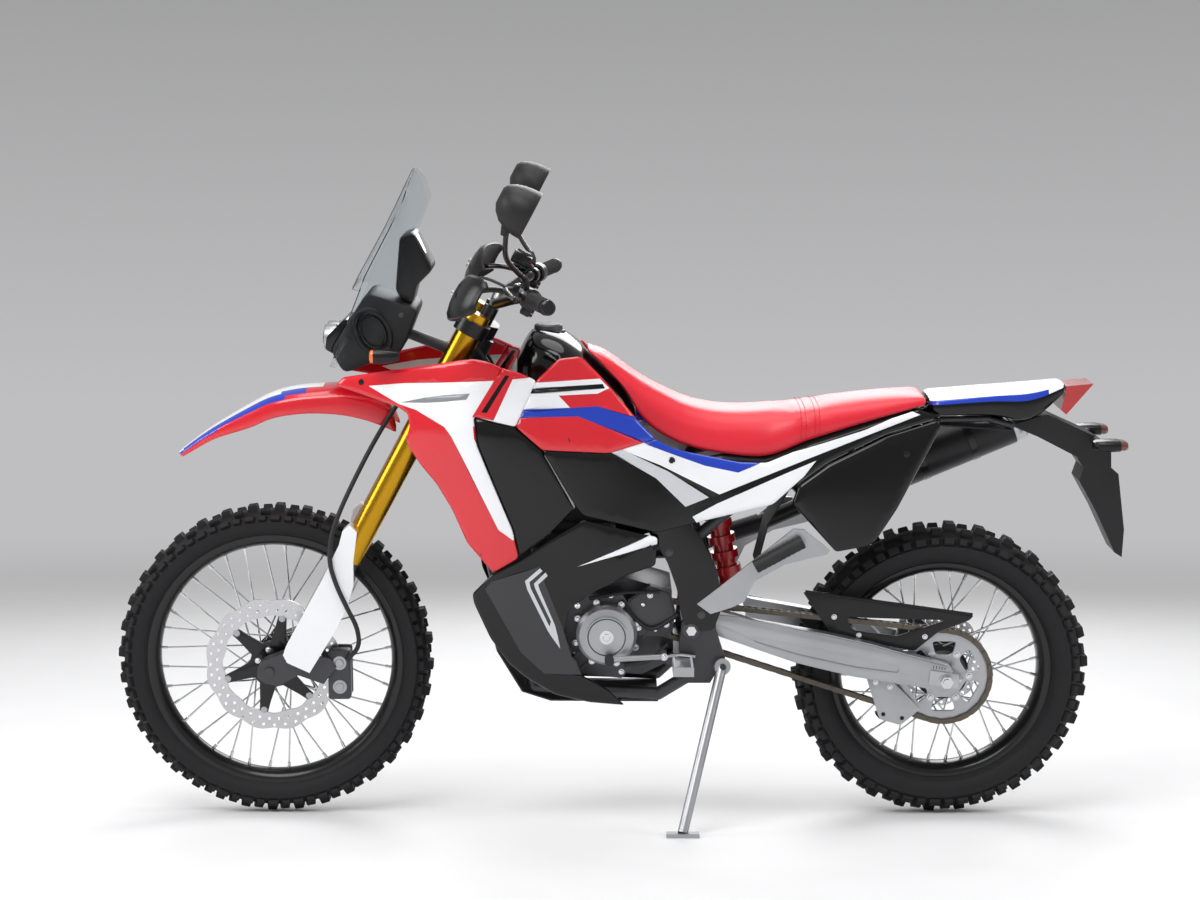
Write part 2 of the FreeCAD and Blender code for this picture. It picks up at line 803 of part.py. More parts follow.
fork_guard_shares = (
    (-0.072, 0.392),
    (-0.064, 0.414),
    (-0.040, 0.405),
    (-0.015, 0.337),
    (0.010, 0.290),
    (0.023, 0.231),
    (0.024, 0.160),
    (0.017, 0.046),
    (-0.042, 0.043),
    (-0.059, 0.055),
    (-0.063, 0.078),
    (-0.061, 0.263),
    (-0.064, 0.358),
)

axle_carrier_shares = (
    (-0.098, -0.007),
    (-0.089, -0.027),
    (-0.065, -0.031),
    (-0.034, -0.022),
    (0.002, 0.034),
    (0.006, 0.060),
    (-0.056, 0.060),
    (-0.096, 0.014),
)

caliper_shares = ((0.031, 0.106), (0.078, 0.131), (0.136, 0.024), (0.088, -0.002))
caliper_bracket_shares = ((-0.010, 0.020), (0.060, 0.030), (0.068, 0.080), (0.045, 0.094), (-0.010, 0.075))


def make_fender():
    """The high front fender, an arched shell under the lower fork clamp."""
    thick = float(cells.panel_thickness)
    length = float(fork)
    rings = []
    for crown_x, crown_z, skirt_x, skirt_z, width_share in fender_station_shares:
        crown = Vector(crown_x * length, 0, float(clamp_foot) + (crown_z - CLAMP_FOOT_SHARE) * length)
        drop = Vector((skirt_x - crown_x) * length, 0, (skirt_z - crown_z) * length)
        wide = width_share * length
        inward = Vector(drop).normalize() * thick
        half = fender_section_shares + tuple((-side, down) for side, down in fender_section_shares[-2::-1])
        outer = [crown + drop * down + Vector(0, side * wide, 0) for side, down in half]
        inner = [
            crown + drop * down + Vector(0, side * (wide - thick), 0) + (inward if abs(side) < 1 else Vector())
            for side, down in half
        ]
        rings.append(outer + inner[::-1])
    shell = solid_feature("front_fender_shell", skin(rings))
    face = -(cells.clamp_offset + cells.fork_tube_radius + cells.seat_gap)
    tongue = pad(
        "front_fender_tongue",
        [
            (fork * -0.168, clamp_foot - fork * 0.018),
            (face, clamp_foot - fork * 0.018),
            (face, clamp_foot + cells.clamp_height * 0.6),
            (face - fork * 0.02, clamp_foot + cells.clamp_height * 0.6),
            (fork * -0.168, clamp_foot - fork * 0.010),
        ],
        -cells.stem_radius * 1.25,
        cells.stem_radius * 1.25,
    )
    node(joined("front_fender", [shell, tongue]), "front_fender", steering)


CLAMP_FOOT_SHARE = 0.72402


def fork_point(side, height):
    """A point on a fork tube's axis, at a height along the steering axis."""
    return (-cells.clamp_offset, cells.fork_spread * side, height)


def clamp_block(name, low, high):
    """A fork clamp: two rings round the fork tubes and the bridge to the stem."""
    reach = cells.fork_tube_radius + cells.clamp_wall
    pieces = []
    for side, word in ((-1, "left"), (1, "right")):
        pieces.append(rod(f"{name}_{word}_ring", fork_point(side, low), fork_point(side, high), reach))
    half = float(cells.fork_spread)
    bridge = [
        Vector(-float(cells.clamp_offset) - float(cells.fork_tube_radius), -half, float(low)),
        Vector(-float(cells.clamp_offset) - float(cells.fork_tube_radius), half, float(low)),
        Vector(-float(cells.clamp_offset) + float(cells.stem_radius), half, float(low)),
        Vector(float(cells.stem_radius) + float(cells.clamp_wall), half * 0.3, float(low)),
        Vector(float(cells.stem_radius) + float(cells.clamp_wall), -half * 0.3, float(low)),
        Vector(-float(cells.clamp_offset) + float(cells.stem_radius), -half, float(low)),
    ]
    tall = float(high) - float(low)
    pieces.append(
        solid_feature(f"{name}_bridge", Part.Face(Part.makePolygon(bridge + [bridge[0]])).extrude(Vector(0, 0, tall)))
    )
    return pieces


def make_fork():
    """Fork tubes, legs with the axle, guards, clamps, caliper and hose."""
    foot = cells.fork_tube_foot
    tubes = []
    for side, word in ((-1, "left"), (1, "right")):
        tubes.append(
            rod(f"fork_tube_{word}", fork_point(side, foot), fork_point(side, fork), cells.fork_tube_radius)
        )
    node(group("fork_tubes", tubes), "fork_tubes", steering)

    leg = rod("fork_leg_left", fork_point(-1, fork * 0.03), fork_point(-1, foot), cells.fork_leg_radius)
    carrier = pad(
        "fork_leg_carrier", shares_of(axle_carrier_shares, fork), -cells.fork_spread * 1.2, -cells.fork_spread * 0.8
    )
    bracket = pad(
        "caliper_bracket",
        shares_of(caliper_bracket_shares, fork),
        -cells.fork_spread * 1.09,
        -cells.fork_spread * 1.0,
    )
    other_leg = rod("fork_leg_right", fork_point(1, fork * 0.03), fork_point(1, foot), cells.fork_leg_radius)
    axle = rod(
        "front_axle_pin",
        (-cells.fork_offset, -cells.axle_half_length, 0),
        (-cells.fork_offset, cells.axle_half_length, 0),
        cells.axle_radius,
    )
    node(
        joined(
            "fork_legs",
            [leg, carrier, bracket, other_leg, mirrored("fork_leg_other_carrier", carrier), axle],
        ),
        "fork_legs",
        steering,
    )

    blank = pad(
        "fork_guard_blank",
        shares_of(fork_guard_shares, fork),
        -(cells.fork_spread + cells.fork_tube_radius + cells.panel_thickness),
        -cells.fork_spread,
    )
    hollow = rod(
        "fork_guard_hollow",
        fork_point(-1, -cells.overrun * 20),
        fork_point(-1, fork),
        cells.fork_tube_radius + cells.seat_gap,
    )
    shell = cut("fork_guard_shell", blank, hollow)
    carrier_space = pad(
        "fork_guard_carrier_space",
        shares_of(axle_carrier_shares, fork),
        -(cells.fork_spread * 1.2 + cells.seat_gap),
        -cells.fork_spread * 0.8,
    )
    bracket_space = pad(
        "fork_guard_bracket_space",
        shares_of(caliper_bracket_shares, fork),
        -(cells.fork_spread * 1.09 + cells.seat_gap),
        -cells.fork_spread * 0.9,
    )
    guard = cut("fork_guard_left", shell, group("fork_guard_spaces", [carrier_space, bracket_space]))
    node(both_sides("fork_guards", guard), "fork_guards", steering)

    lower = clamp_block("lower_clamp", clamp_foot, clamp_foot + cells.clamp_height)
    upper = clamp_block("upper_clamp", clamp_top - cells.clamp_height, clamp_top)
    stem = rod(
        "steering_stem",
        (0, 0, cells.head_tube_foot - cells.clamp_height),
        (0, 0, cells.head_tube_top + cells.clamp_height),
        cells.stem_radius,
    )
    blocks = joined("fork_clamp_blocks", lower + upper + [stem] + bar_clamps())
    holes = group(
        "fork_clamp_holes",
        [
            rod(
                f"fork_clamp_hole_{word}",
                fork_point(side, foot),
                fork_point(side, fork + cells.overrun),
                cells.fork_tube_radius,
            )
            for side, word in ((-1, "left"), (1, "right"))
        ],
    )
    node(cut("fork_clamps", blocks, holes), "fork_clamps", steering)

    body = pad("caliper_body", shares_of(caliper_shares, fork), -cells.fork_spread, -cells.front_disc_place * 0.7)
    slot = rod(
        "caliper_slot",
        (-cells.fork_offset, -(cells.front_disc_place + cells.disc_thickness * 1.4), 0),
        (-cells.fork_offset, -(cells.front_disc_place - cells.disc_thickness * 1.4), 0),
        cells.front_disc_radius + cells.disc_thickness,
    )
    node(cut("front_brake_caliper", body, slot), "front_brake_caliper", steering)
    make_hose()


def bar_clamps():
    """The two risers that hold the handlebar on the upper clamp."""
    pieces = []
    base_height = cells.head_tube_top + cells.clamp_gap + cells.clamp_height * 0.5
    for side, word in ((-1, "left"), (1, "right")):
        start = (-bar_centre_drop, cells.fork_spread * BAR_CLAMP_SHARE * side, base_height)
        end = (-bar_centre_drop, cells.fork_spread * BAR_CLAMP_SHARE * side, bar_height - cells.bar_radius - cells.seat_gap)
        pieces.append(rod(f"bar_riser_{word}", start, end, cells.stem_radius * 0.8))
    return pieces


BAR_CLAMP_SHARE = 0.45
BAR_BEND_SHARE = 4
bar_height = fork * 1.035
bar_centre_drop = fork * 0.006
bar_shares = (
    (0.094, -1.0, 1.128),
    (0.045, -0.50, 1.100),
    (-0.002, -0.25, 1.040),
    (-0.006, -0.15, 1.035),
)


def bar_points():
    """The handlebar's corners from its left end to its right."""
    half = [
        (fork * ahead, cells.bar_half_length * side, fork * up) for ahead, side, up in bar_shares
    ]
    other = [(ahead, -side, up) for ahead, side, up in half[::-1]]
    return half + other


def along_bar(share):
    """A point on the bar's outer run, by its share of the half length."""
    end, inner = bar_shares[0], bar_shares[1]
    part = (share - inner[1]) / (end[1] - inner[1])
    return Vector(
        float(fork) * (inner[0] + (end[0] - inner[0]) * part),
        float(cells.bar_half_length) * share,
        float(fork) * (inner[2] + (end[2] - inner[2]) * part),
    )


def make_bar():
    """Handlebar, grips, switch housings with levers, hand guards and mirrors."""
    bar = bent_tube("handlebar", bar_points(), cells.bar_radius, cells.bar_radius * BAR_BEND_SHARE)
    node(bar, "handlebar", steering)

    grip_share = 1 - float(cells.grip_length) / float(cells.bar_half_length)
    blank = rod("grip_blank", along_bar(-1), along_bar(-grip_share), cells.grip_radius)
    bore = rod("grip_bore", along_bar(-1.01), along_bar(-grip_share + 0.02), cells.bar_radius)
    node(both_sides("handlebar_grips", cut("grip_left", blank, bore)), "handlebar_grips", steering)

    housing = rod("switch_blank", along_bar(-0.685), along_bar(-0.60), cells.grip_radius * 1.35)
    bore = rod("switch_bore", along_bar(-0.70), along_bar(-0.58), cells.bar_radius)
    perch_start = along_bar(-0.63) + Vector(-float(cells.bar_radius) * 1.8, 0, 0)
    lever_end = along_bar(-0.95) + Vector(-float(fork) * 0.06, 0, -float(fork) * 0.02)
    lever_knee = along_bar(-0.64) + Vector(-float(fork) * 0.055, 0, -float(fork) * 0.01)
    perch = rod("lever_perch", perch_start, lever_knee, cells.bar_radius * 0.6)
    lever = rod("hand_lever", lever_knee, lever_end, cells.bar_radius * 0.6)
    controls = joined("control_left", [cut("switch_left", housing, bore), perch, lever])
    node(both_sides("handlebar_controls", controls), "handlebar_controls", steering)

    make_hand_guards()
    make_mirrors()


hand_guard_station_shares = (
    (-0.990, -0.050, 1.075, 0.040),
    (-0.900, -0.085, 1.060, 0.052),
    (-0.780, -0.102, 1.045, 0.056),
    (-0.660, -0.095, 1.030, 0.050),
    (-0.560, -0.070, 1.020, 0.036),
)


def make_hand_guards():
    """The hand guards ahead of the grips, each a curved shell with its stay."""
    thick = float(cells.panel_thickness)
    rings = []
    for side, ahead, up, tall in hand_guard_station_shares:
        middle = Vector(float(fork) * ahead, float(cells.bar_half_length) * side, float(fork) * up)
        half = float(fork) * tall
        rings.append(
            [
                middle + Vector(half * 0.12, 0, half),
                middle + Vector(0, 0, 0),
                middle + Vector(half * 0.2, 0, -half),
                middle + Vector(half * 0.2 + thick, 0, -half),
                middle + Vector(thick, 0, 0),
                middle + Vector(half * 0.12 + thick, 0, half),
            ]
        )
    shell = solid_feature("hand_guard_shell", skin(rings))
    stay = rod(
        "hand_guard_stay",
        Vector(float(fork) * -0.098, float(cells.bar_half_length) * -0.70, float(fork) * 1.035),
        along_bar(-0.55),
        cells.bar_radius * 0.5,
    )
    ring = rod("hand_guard_clamp", along_bar(-0.53), along_bar(-0.57), cells.bar_radius * 1.6)
    bore = rod("hand_guard_bore", along_bar(-0.50), along_bar(-0.595), cells.bar_radius + cells.seat_gap)
    guard = cut("hand_guard_left", joined("hand_guard_solid", [shell, stay, ring]), bore)
    node(both_sides("hand_guards", guard), "hand_guards", steering)


mirror_outline_shares = (
    (-0.115, 1.258),
    (-0.120, 1.311),
    (-0.098, 1.340),
    (-0.060, 1.345),
    (-0.034, 1.307),
    (-0.030, 1.270),
    (-0.049, 1.242),
    (-0.085, 1.232),
)


def make_mirrors():
    """The two mirrors on their stems."""
    reach = float(cells.bar_half_length)
    stem_foot = along_bar(-0.61) + Vector(-float(cells.grip_radius) * 1.1, 0, float(cells.grip_radius) * 1.25)
    stem_top = Vector(float(fork) * -0.065, -reach * 0.96, float(fork) * 1.25)
    knee = Vector(float(fork) * -0.03, -reach * 0.80, float(fork) * 1.17)
    stem = rod("mirror_stem", stem_foot, knee, cells.bar_radius * 0.5)
    upper = rod("mirror_upper_stem", knee, stem_top, cells.bar_radius * 0.5)
    head = pad("mirror_head", shares_of(mirror_outline_shares, fork), -reach * 1.11, -reach * 0.79)
    document.recompute()
    node(both_sides("mirrors", joined("mirror_left", [stem, upper, head])), "mirrors", steering)


hose_points = (
    (74, -108, 98),
    (84, -120, 140),
    (60, -131, 178),
    (24, -141, 206),
    (-20, -143, 240),
    (-58, -142, 278),
    (-82, -130, 330),
    (-90, -116, 390),
    (-93, -99, 455),
    (-94, -86, 520),
    (-92, -76, 585),
    (-86, -69, 645),
)


def cord_tube(name, points, radius):
    """A hose along its route: straight runs joined by arcs as large as the runs allow."""
    points = [Vector(*point) for point in points]
    edges = []
    start = points[0]
    for before, corner, after in zip(points, points[1:], points[2:]):
        inward = (before - corner)
        outward = (after - corner)
        reach = 0.45 * min(inward.Length, outward.Length)
        inward.normalize()
        outward.normalize()
        turn = math.pi - inward.getAngle(outward)
        bend = reach / math.tan(turn / 2)
        print(f"{name} bend radius {bend:.1f}")
        arc_start = corner + inward * reach
        arc_end = corner + outward * reach
        middle = (inward + outward).normalize()
        arc_middle = corner + middle * (bend / math.cos(turn / 2) - bend)
        edges.append(Part.LineSegment(start, arc_start).toShape())
        edges.append(Part.Arc(arc_start, arc_middle, arc_end).toShape())
        start = arc_end
    edges.append(Part.LineSegment(start, points[-1]).toShape())
    path = Part.Wire(edges)
    section = Part.Wire([Part.Circle(points[0], points[1] - points[0], float(radius)).toShape()])
    tube = path.makePipeShell([section], True, True)
    share = tube.Volume / (math.pi * float(radius) ** 2 * path.Length)
    print(f"{name} length {path.Length:.1f} volume share {share:.4f}")
    return solid_feature(name, tube)


def make_hose():
    """The front brake hose, from the caliper up the left leg to the lower clamp."""
    node(cord_tube("front_brake_hose", hose_points, cells.hose_radius), "front_brake_hose", steering)


# Frame, engine and what hangs on them


pivot_plate_shares = (
    (0.025, 0.543),
    (0.024, 0.523),
    (0.036, 0.493),
    (0.077, 0.448),
    (0.101, 0.417),
    (0.114, 0.380),
    (0.116, 0.346),
    (0.108, 0.312),
    (0.104, 0.275),
    (0.112, 0.225),
    (0.150, 0.225),
    (0.172, 0.262),
    (0.158, 0.306),
    (0.159, 0.353),
    (0.159, 0.373),
    (0.141, 0.425),
    (0.122, 0.462),
    (0.093, 0.493),
    (0.064, 0.514),
)
pivot_shares = (0.131, 0.311)
stand_pivot_shares = (0.167, 0.252)
cradle_low_share = (0.075, 0.197)


def bike_point(place_share, side, height_share):
    """A point of the bike frame: place and height as shares of the wheelbase, side in sizes."""
    return (base * place_share, side, base * height_share)


def head_point(up, behind):
    """A point of the steering head: its share of the way up and of the head's radius behind the axis."""
    foot = float(cells.head_tube_foot)
    top = float(cells.head_tube_top)
    return steering.multVec(Vector(float(cells.head_tube_radius) * behind, 0, foot + (top - foot) * up))


# Where the frame's stays end outboard, as shares of the wheelbase: place, distance from the middle, height

shroud_stay_shares = ((-0.197, 0.138, 0.550), (-0.180, 0.128, 0.430))
fairing_stay_shares = (-0.160, 0.116, 0.340)
fairing_tab_shares = ((0.050, 0.425), (0.100, 0.425), (0.100, 0.440), (0.050, 0.440))
fairing_tab_boss_shares = (0.058, 0.4325)
grille_stay_shares = (-0.130, 0.130, 0.588)
knee_stay_shares = (-0.060, 0.103, 0.592)
side_stay_shares = (0.012, 0.1017, 0.548)
tank_post_shares = (-0.037, 0.070, 0.604)
rail_stub_shares = (0.300, 0.0756, 0.566)
cover_stub_shares = (0.370, 0.0825, 0.540)


def cross_stay(name, shares, start, radius):
    """A stay across the bike on both sides, from a distance off the middle out to its end."""
    place, reach, height = shares
    return [
        rod(
            f"{name}_{word}",
            bike_point(place, start * side, height),
            bike_point(place, base * reach * side, height),
            radius,
        )
        for side, word in ((-1, "left"), (1, "right"))
    ]


def panel_boss(name, place, reach, height, inset=0):
    """A panel's boss: from just off its stay's end out into the panel's wall."""
    wall = half_width(place, height) - float(inset) - float(cells.panel_thickness) * 0.6
    return rod(
        name,
        bike_point(place, -(as_size(reach) + cells.seat_gap), height),
        (base * place, -wall, base * height),
        cells.stay_radius * 1.15,
    )


def make_frame():
    """The main frame: steering head, spars, downtube, cradle, pivot plates and panel stays."""
    pieces = []
    head = Part.makeCylinder(
        float(cells.head_tube_radius),
        float(cells.head_tube_top) - float(cells.head_tube_foot),
        Vector(0, 0, float(cells.head_tube_foot)),
    )
    head.Placement = steering.multiply(head.Placement)
    pieces.append(solid_feature("steering_head", head))
    plate = pad("pivot_plate", shares_of(pivot_plate_shares, base), -cells.pivot_plate_outer, -cells.pivot_plate_inner)
    pieces += [plate, mirrored("pivot_plate_other", plate)]
    tab = pad("fairing_tab", shares_of(fairing_tab_shares, base), -cells.pivot_plate_outer, -cells.pivot_plate_inner)
    pieces += [tab, mirrored("fairing_tab_other", tab)]
    inner = cells.pivot_plate_inner
    for side, word in ((-1, "left"), (1, "right")):
        spar_start = head_point(0.117, 0.63)
        spar = [
            (spar_start.x, inner * side * 0.16, spar_start.z),
            bike_point(-0.130, inner * side * 0.62, 0.588),
            bike_point(0.012, inner * side * 0.95, 0.548),
            bike_point(0.062, inner * side * 1.05, 0.500),
        ]
        pieces += tube_run(f"spar_{word}", spar, cells.spar_radius)
        cradle = [
            bike_point(-0.143, 0, 0.265),
            bike_point(-0.108, inner * side * 0.60, 0.206),
            bike_point(cradle_low_share[0], inner * side * 0.70, cradle_low_share[1]),
            bike_point(0.130, inner * side * 1.05, 0.240),
        ]
        pieces += tube_run(f"cradle_{word}", cradle, cells.cradle_radius)
        place, reach, height = tank_post_shares
        pieces.append(
            rod(
                f"tank_post_{word}",
                bike_point(place, base * reach * side, 0.562),
                (base * place, base * reach * side, base * height - cells.seat_gap),
                cells.stay_radius * 1.3,
            )
        )
        place, reach, height = knee_stay_shares
        pieces.append(
            rod(
                f"knee_stay_riser_{word}",
                bike_point(place, inner * side * 0.783, 0.568),
                bike_point(place, inner * side * 0.783, height),
                cells.stay_radius * 1.3,
            )
        )
        pieces.append(
            ball(f"knee_stay_knot_{word}", bike_point(place, inner * side * 0.783, height), cells.stay_radius * 1.3)
        )
    pieces += cross_stay("shroud_stay_upper", shroud_stay_shares[0], base * 0, cells.stay_radius * 1.15)
    pieces += cross_stay("shroud_stay_lower", shroud_stay_shares[1], base * 0, cells.stay_radius * 1.15)
    pieces += cross_stay("fairing_stay", fairing_stay_shares, base * 0, cells.stay_radius * 1.15)
    pieces += cross_stay("grille_stay", grille_stay_shares, inner * 0.62, cells.stay_radius * 1.3)
    pieces += cross_stay("knee_stay", knee_stay_shares, inner * 0.783, cells.stay_radius * 1.3)
    pieces += cross_stay("side_stay", side_stay_shares, inner * 0.95, cells.stay_radius * 1.3)
    pieces.append(nose_stay())
    down = [
        head_point(0.54, 0.6),
        bike_point(-0.203, 0, 0.593),
        bike_point(-0.178, 0, 0.420),
        bike_point(-0.143, 0, 0.265),
    ]
    pieces += tube_run("downtube", down, cells.spar_radius * 1.2)
    pieces.append(ball("downtube_foot", down[-1], cells.spar_radius * 1.2))
    pieces.append(
        rod(
            "pivot_pin",
            bike_point(pivot_shares[0], -inner, pivot_shares[1]),
            bike_point(pivot_shares[0], inner, pivot_shares[1]),
            cells.pivot_pin_radius,
        )
    )
    pivot, rest, folded, axis, angle = stand_geometry(ground_height)
    reach = float(cells.stand_radius)
    pieces.append(rod("stand_pin", pivot - axis * reach * 1.6, pivot + axis * reach * 0.8, cells.stand_radius * 0.6))
    whole = joined("main_frame_solid", pieces)
    bore = Part.makeCylinder(
        float(cells.stem_radius + cells.running_gap),
        float(cells.head_tube_top) - float(cells.head_tube_foot) + 2 * float(cells.overrun),
        Vector(0, 0, float(cells.head_tube_foot) - float(cells.overrun)),
    )
    bore.Placement = steering.multiply(bore.Placement)
    node(cut("main_frame", whole, solid_feature("steering_head_bore", bore)), "main_frame")


def nose_stay():
    """The stay from the steering head to the back of the nose fairing, square to it."""
    upper, lower = [Vector(float(base) * place, 0, float(base) * height) for place, height in nose_shares[1:3]]
    along = (lower - upper).normalize()
    away = Vector(-along.z, 0, along.x)
    head = head_point(NOSE_STAY_UP, 0)
    reach = (head - upper).dot(away)
    return rod("nose_stay", head, head - away * (reach - float(cells.seat_gap)), cells.rail_radius)


NOSE_STAY_UP = 0.67


def ball(name, centre, radius):
    """A ball that fills the corner between two round tubes."""
    sphere = document.addObject("Part::Sphere", name)
    sphere.setExpression("Radius", as_size(radius).text)
    sphere.Placement = Placement(Vector(*[float(value) for value in centre]), Rotation())
    return sphere


# The seat rails: place, height as shares of the wheelbase and side as a share of the pivot plates' distance

rail_shares = (
    (0.085, 0.4780, 0.8992),
    (0.128, 0.5450, 0.80),
    (0.167, 0.5535, 0.80),
    (0.231, 0.5490, 0.77),
    (0.296, 0.5730, 0.69),
    (0.377, 0.5982, 0.60),
    (0.440, 0.6156, 0.52),
)
tail_stay_shares = ((0.440, 0.6156, 0.52), (0.472, 0.60698, 0.45), (0.560, 0.60798, 0.41), (0.595, 0.5972, 0.42))


def rail_point(place, side):
    """A point on a seat rail's axis at a place along the bike."""
    for first, second in zip(rail_shares, rail_shares[1:]):
        if first[0] <= place <= second[0]:
            part = (place - first[0]) / (second[0] - first[0])
            height, wide = [first[index] + (second[index] - first[index]) * part for index in (1, 2)]
            return bike_point(place, cells.pivot_plate_inner * side * wide, height)


def tube_run(name, points, radius):
    """Straight tubes through points, with balls that fill their corners."""
    run = []
    for index in range(len(points) - 1):
        run.append(rod(f"{name}_{index}", points[index], points[index + 1], radius))
        if index:
            run.append(ball(f"{name}_knot_{index}", points[index], radius))
    return run


def make_subframe():
    """The two seat rails with their struts, cross tubes, tail stays and panel stubs."""
    rails = []
    for side, word in ((-1, "left"), (1, "right")):
        inner = cells.pivot_plate_inner * side
        foot_side = (cells.pivot_plate_inner - cells.rail_radius - cells.seat_gap) * side
        line = [bike_point(place, inner * wide, height) for place, height, wide in rail_shares]
        line[0] = bike_point(rail_shares[0][0], foot_side, rail_shares[0][1])
        rails += tube_run(f"rail_{word}", line, cells.rail_radius)
        tail = [bike_point(place, inner * wide, height) for place, height, wide in tail_stay_shares]
        rails += tube_run(f"tail_stay_{word}", tail, cells.stay_radius)
        rails.append(
            rod(f"strut_{word}", bike_point(0.118, foot_side, 0.430), rail_point(0.300, side), cells.rail_radius)
        )
        place, reach, height = rail_stub_shares
        start = rail_point(place, side)
        rails.append(
            rod(
                f"side_stub_{word}",
                (start[0], start[1], base * height),
                bike_point(place, base * reach * side, height),
                cells.stay_radius * 1.15,
            )
        )
        place, reach, height = cover_stub_shares
        start = rail_point(place, side)
        corner = (start[0], start[1], base * height)
        rails += tube_run(
            f"cover_stub_{word}", [start, corner, bike_point(place, base * reach * side, height)], cells.stay_radius * 1.15
        )
    for index, place in enumerate(cross_tube_shares):
        rails.append(rod(f"rail_cross_{index}", rail_point(place, -1), rail_point(place, 1), cells.rail_radius))
    place, height, wide = tail_stay_shares[-1]
    inner = cells.pivot_plate_inner
    rails.append(
        rod("tail_cross", bike_point(place, -inner * wide, height), bike_point(place, inner * wide, height), cells.stay_radius)
    )
    node(joined("subframe", rails), "subframe")


cross_tube_shares = (0.120, 0.440)
mudguard_shares = (
    (0.222, 0.385),
    (0.238, 0.450),
    (0.270, 0.505),
    (0.320, 0.550),
    (0.380, 0.585),
    (0.440, 0.60509),
    (0.472, 0.5990),
    (0.595, 0.5900),
)


def make_mudguard():
    """The rear inner mudguard, a bent sheet under the seat that hangs from the cross tubes."""
    line = [(float(base) * across, float(base) * up) for across, up in mudguard_shares]
    outline = [Vector(x, 0, z) for x, z in strip(line, cells.sheet_thickness)]
    face = Part.Face(Part.makePolygon(outline + [outline[0]]))
    half = float(cells.rear_tyre_half_width)
    face.translate(Vector(0, -half, 0))
    node(solid_feature("rear_mudguard", face.extrude(Vector(0, 2 * half, 0))), "rear_mudguard")


crankcase_shares = (
    (-0.106, 0.236),
    (-0.130, 0.295),
    (-0.128, 0.340),
    (-0.108, 0.362),
    (0.020, 0.372),
    (0.095, 0.350),
    (0.098, 0.245),
    (0.050, 0.222),
)
left_case_shares = (
    (-0.100, 0.240),
    (-0.122, 0.300),
    (-0.100, 0.350),
    (0.020, 0.355),
    (0.042, 0.320),
    (0.042, 0.250),
    (0.020, 0.226),
)
cylinder_shares = ((-0.108, 0.355), (-0.092, 0.470), (-0.002, 0.475), (0.012, 0.360))
head_shares = ((-0.102, 0.468), (-0.096, 0.520), (-0.075, 0.540), (-0.012, 0.540), (0.004, 0.520), (0.006, 0.470))


engine_lug_shares = ((0.085, 0.248), (0.122, 0.248), (0.122, 0.260), (0.085, 0.260))
sprocket_cover_shares = ((0.030, 0.290), (0.030, 0.345), (0.062, 0.366), (0.092, 0.356), (0.100, 0.325), (0.092, 0.290))
FIN_COUNT = 5
fin_foot_share = 0.385
fin_pitch_share = 0.016
fin_reach_share = 0.002
fin_rear_share = 0.011


def exhaust_port():
    """The stub of the cylinder that the exhaust pipe's end rests against."""
    first, second = [Vector(*[float(base) * share for share in point]) for point in exhaust_points[:2]]
    along = (second - first).normalize()
    radius = cells.header_radius * 1.3
    return rod("exhaust_port", first - along * float(radius) * 1.4, first - along * float(cells.seat_gap), radius)


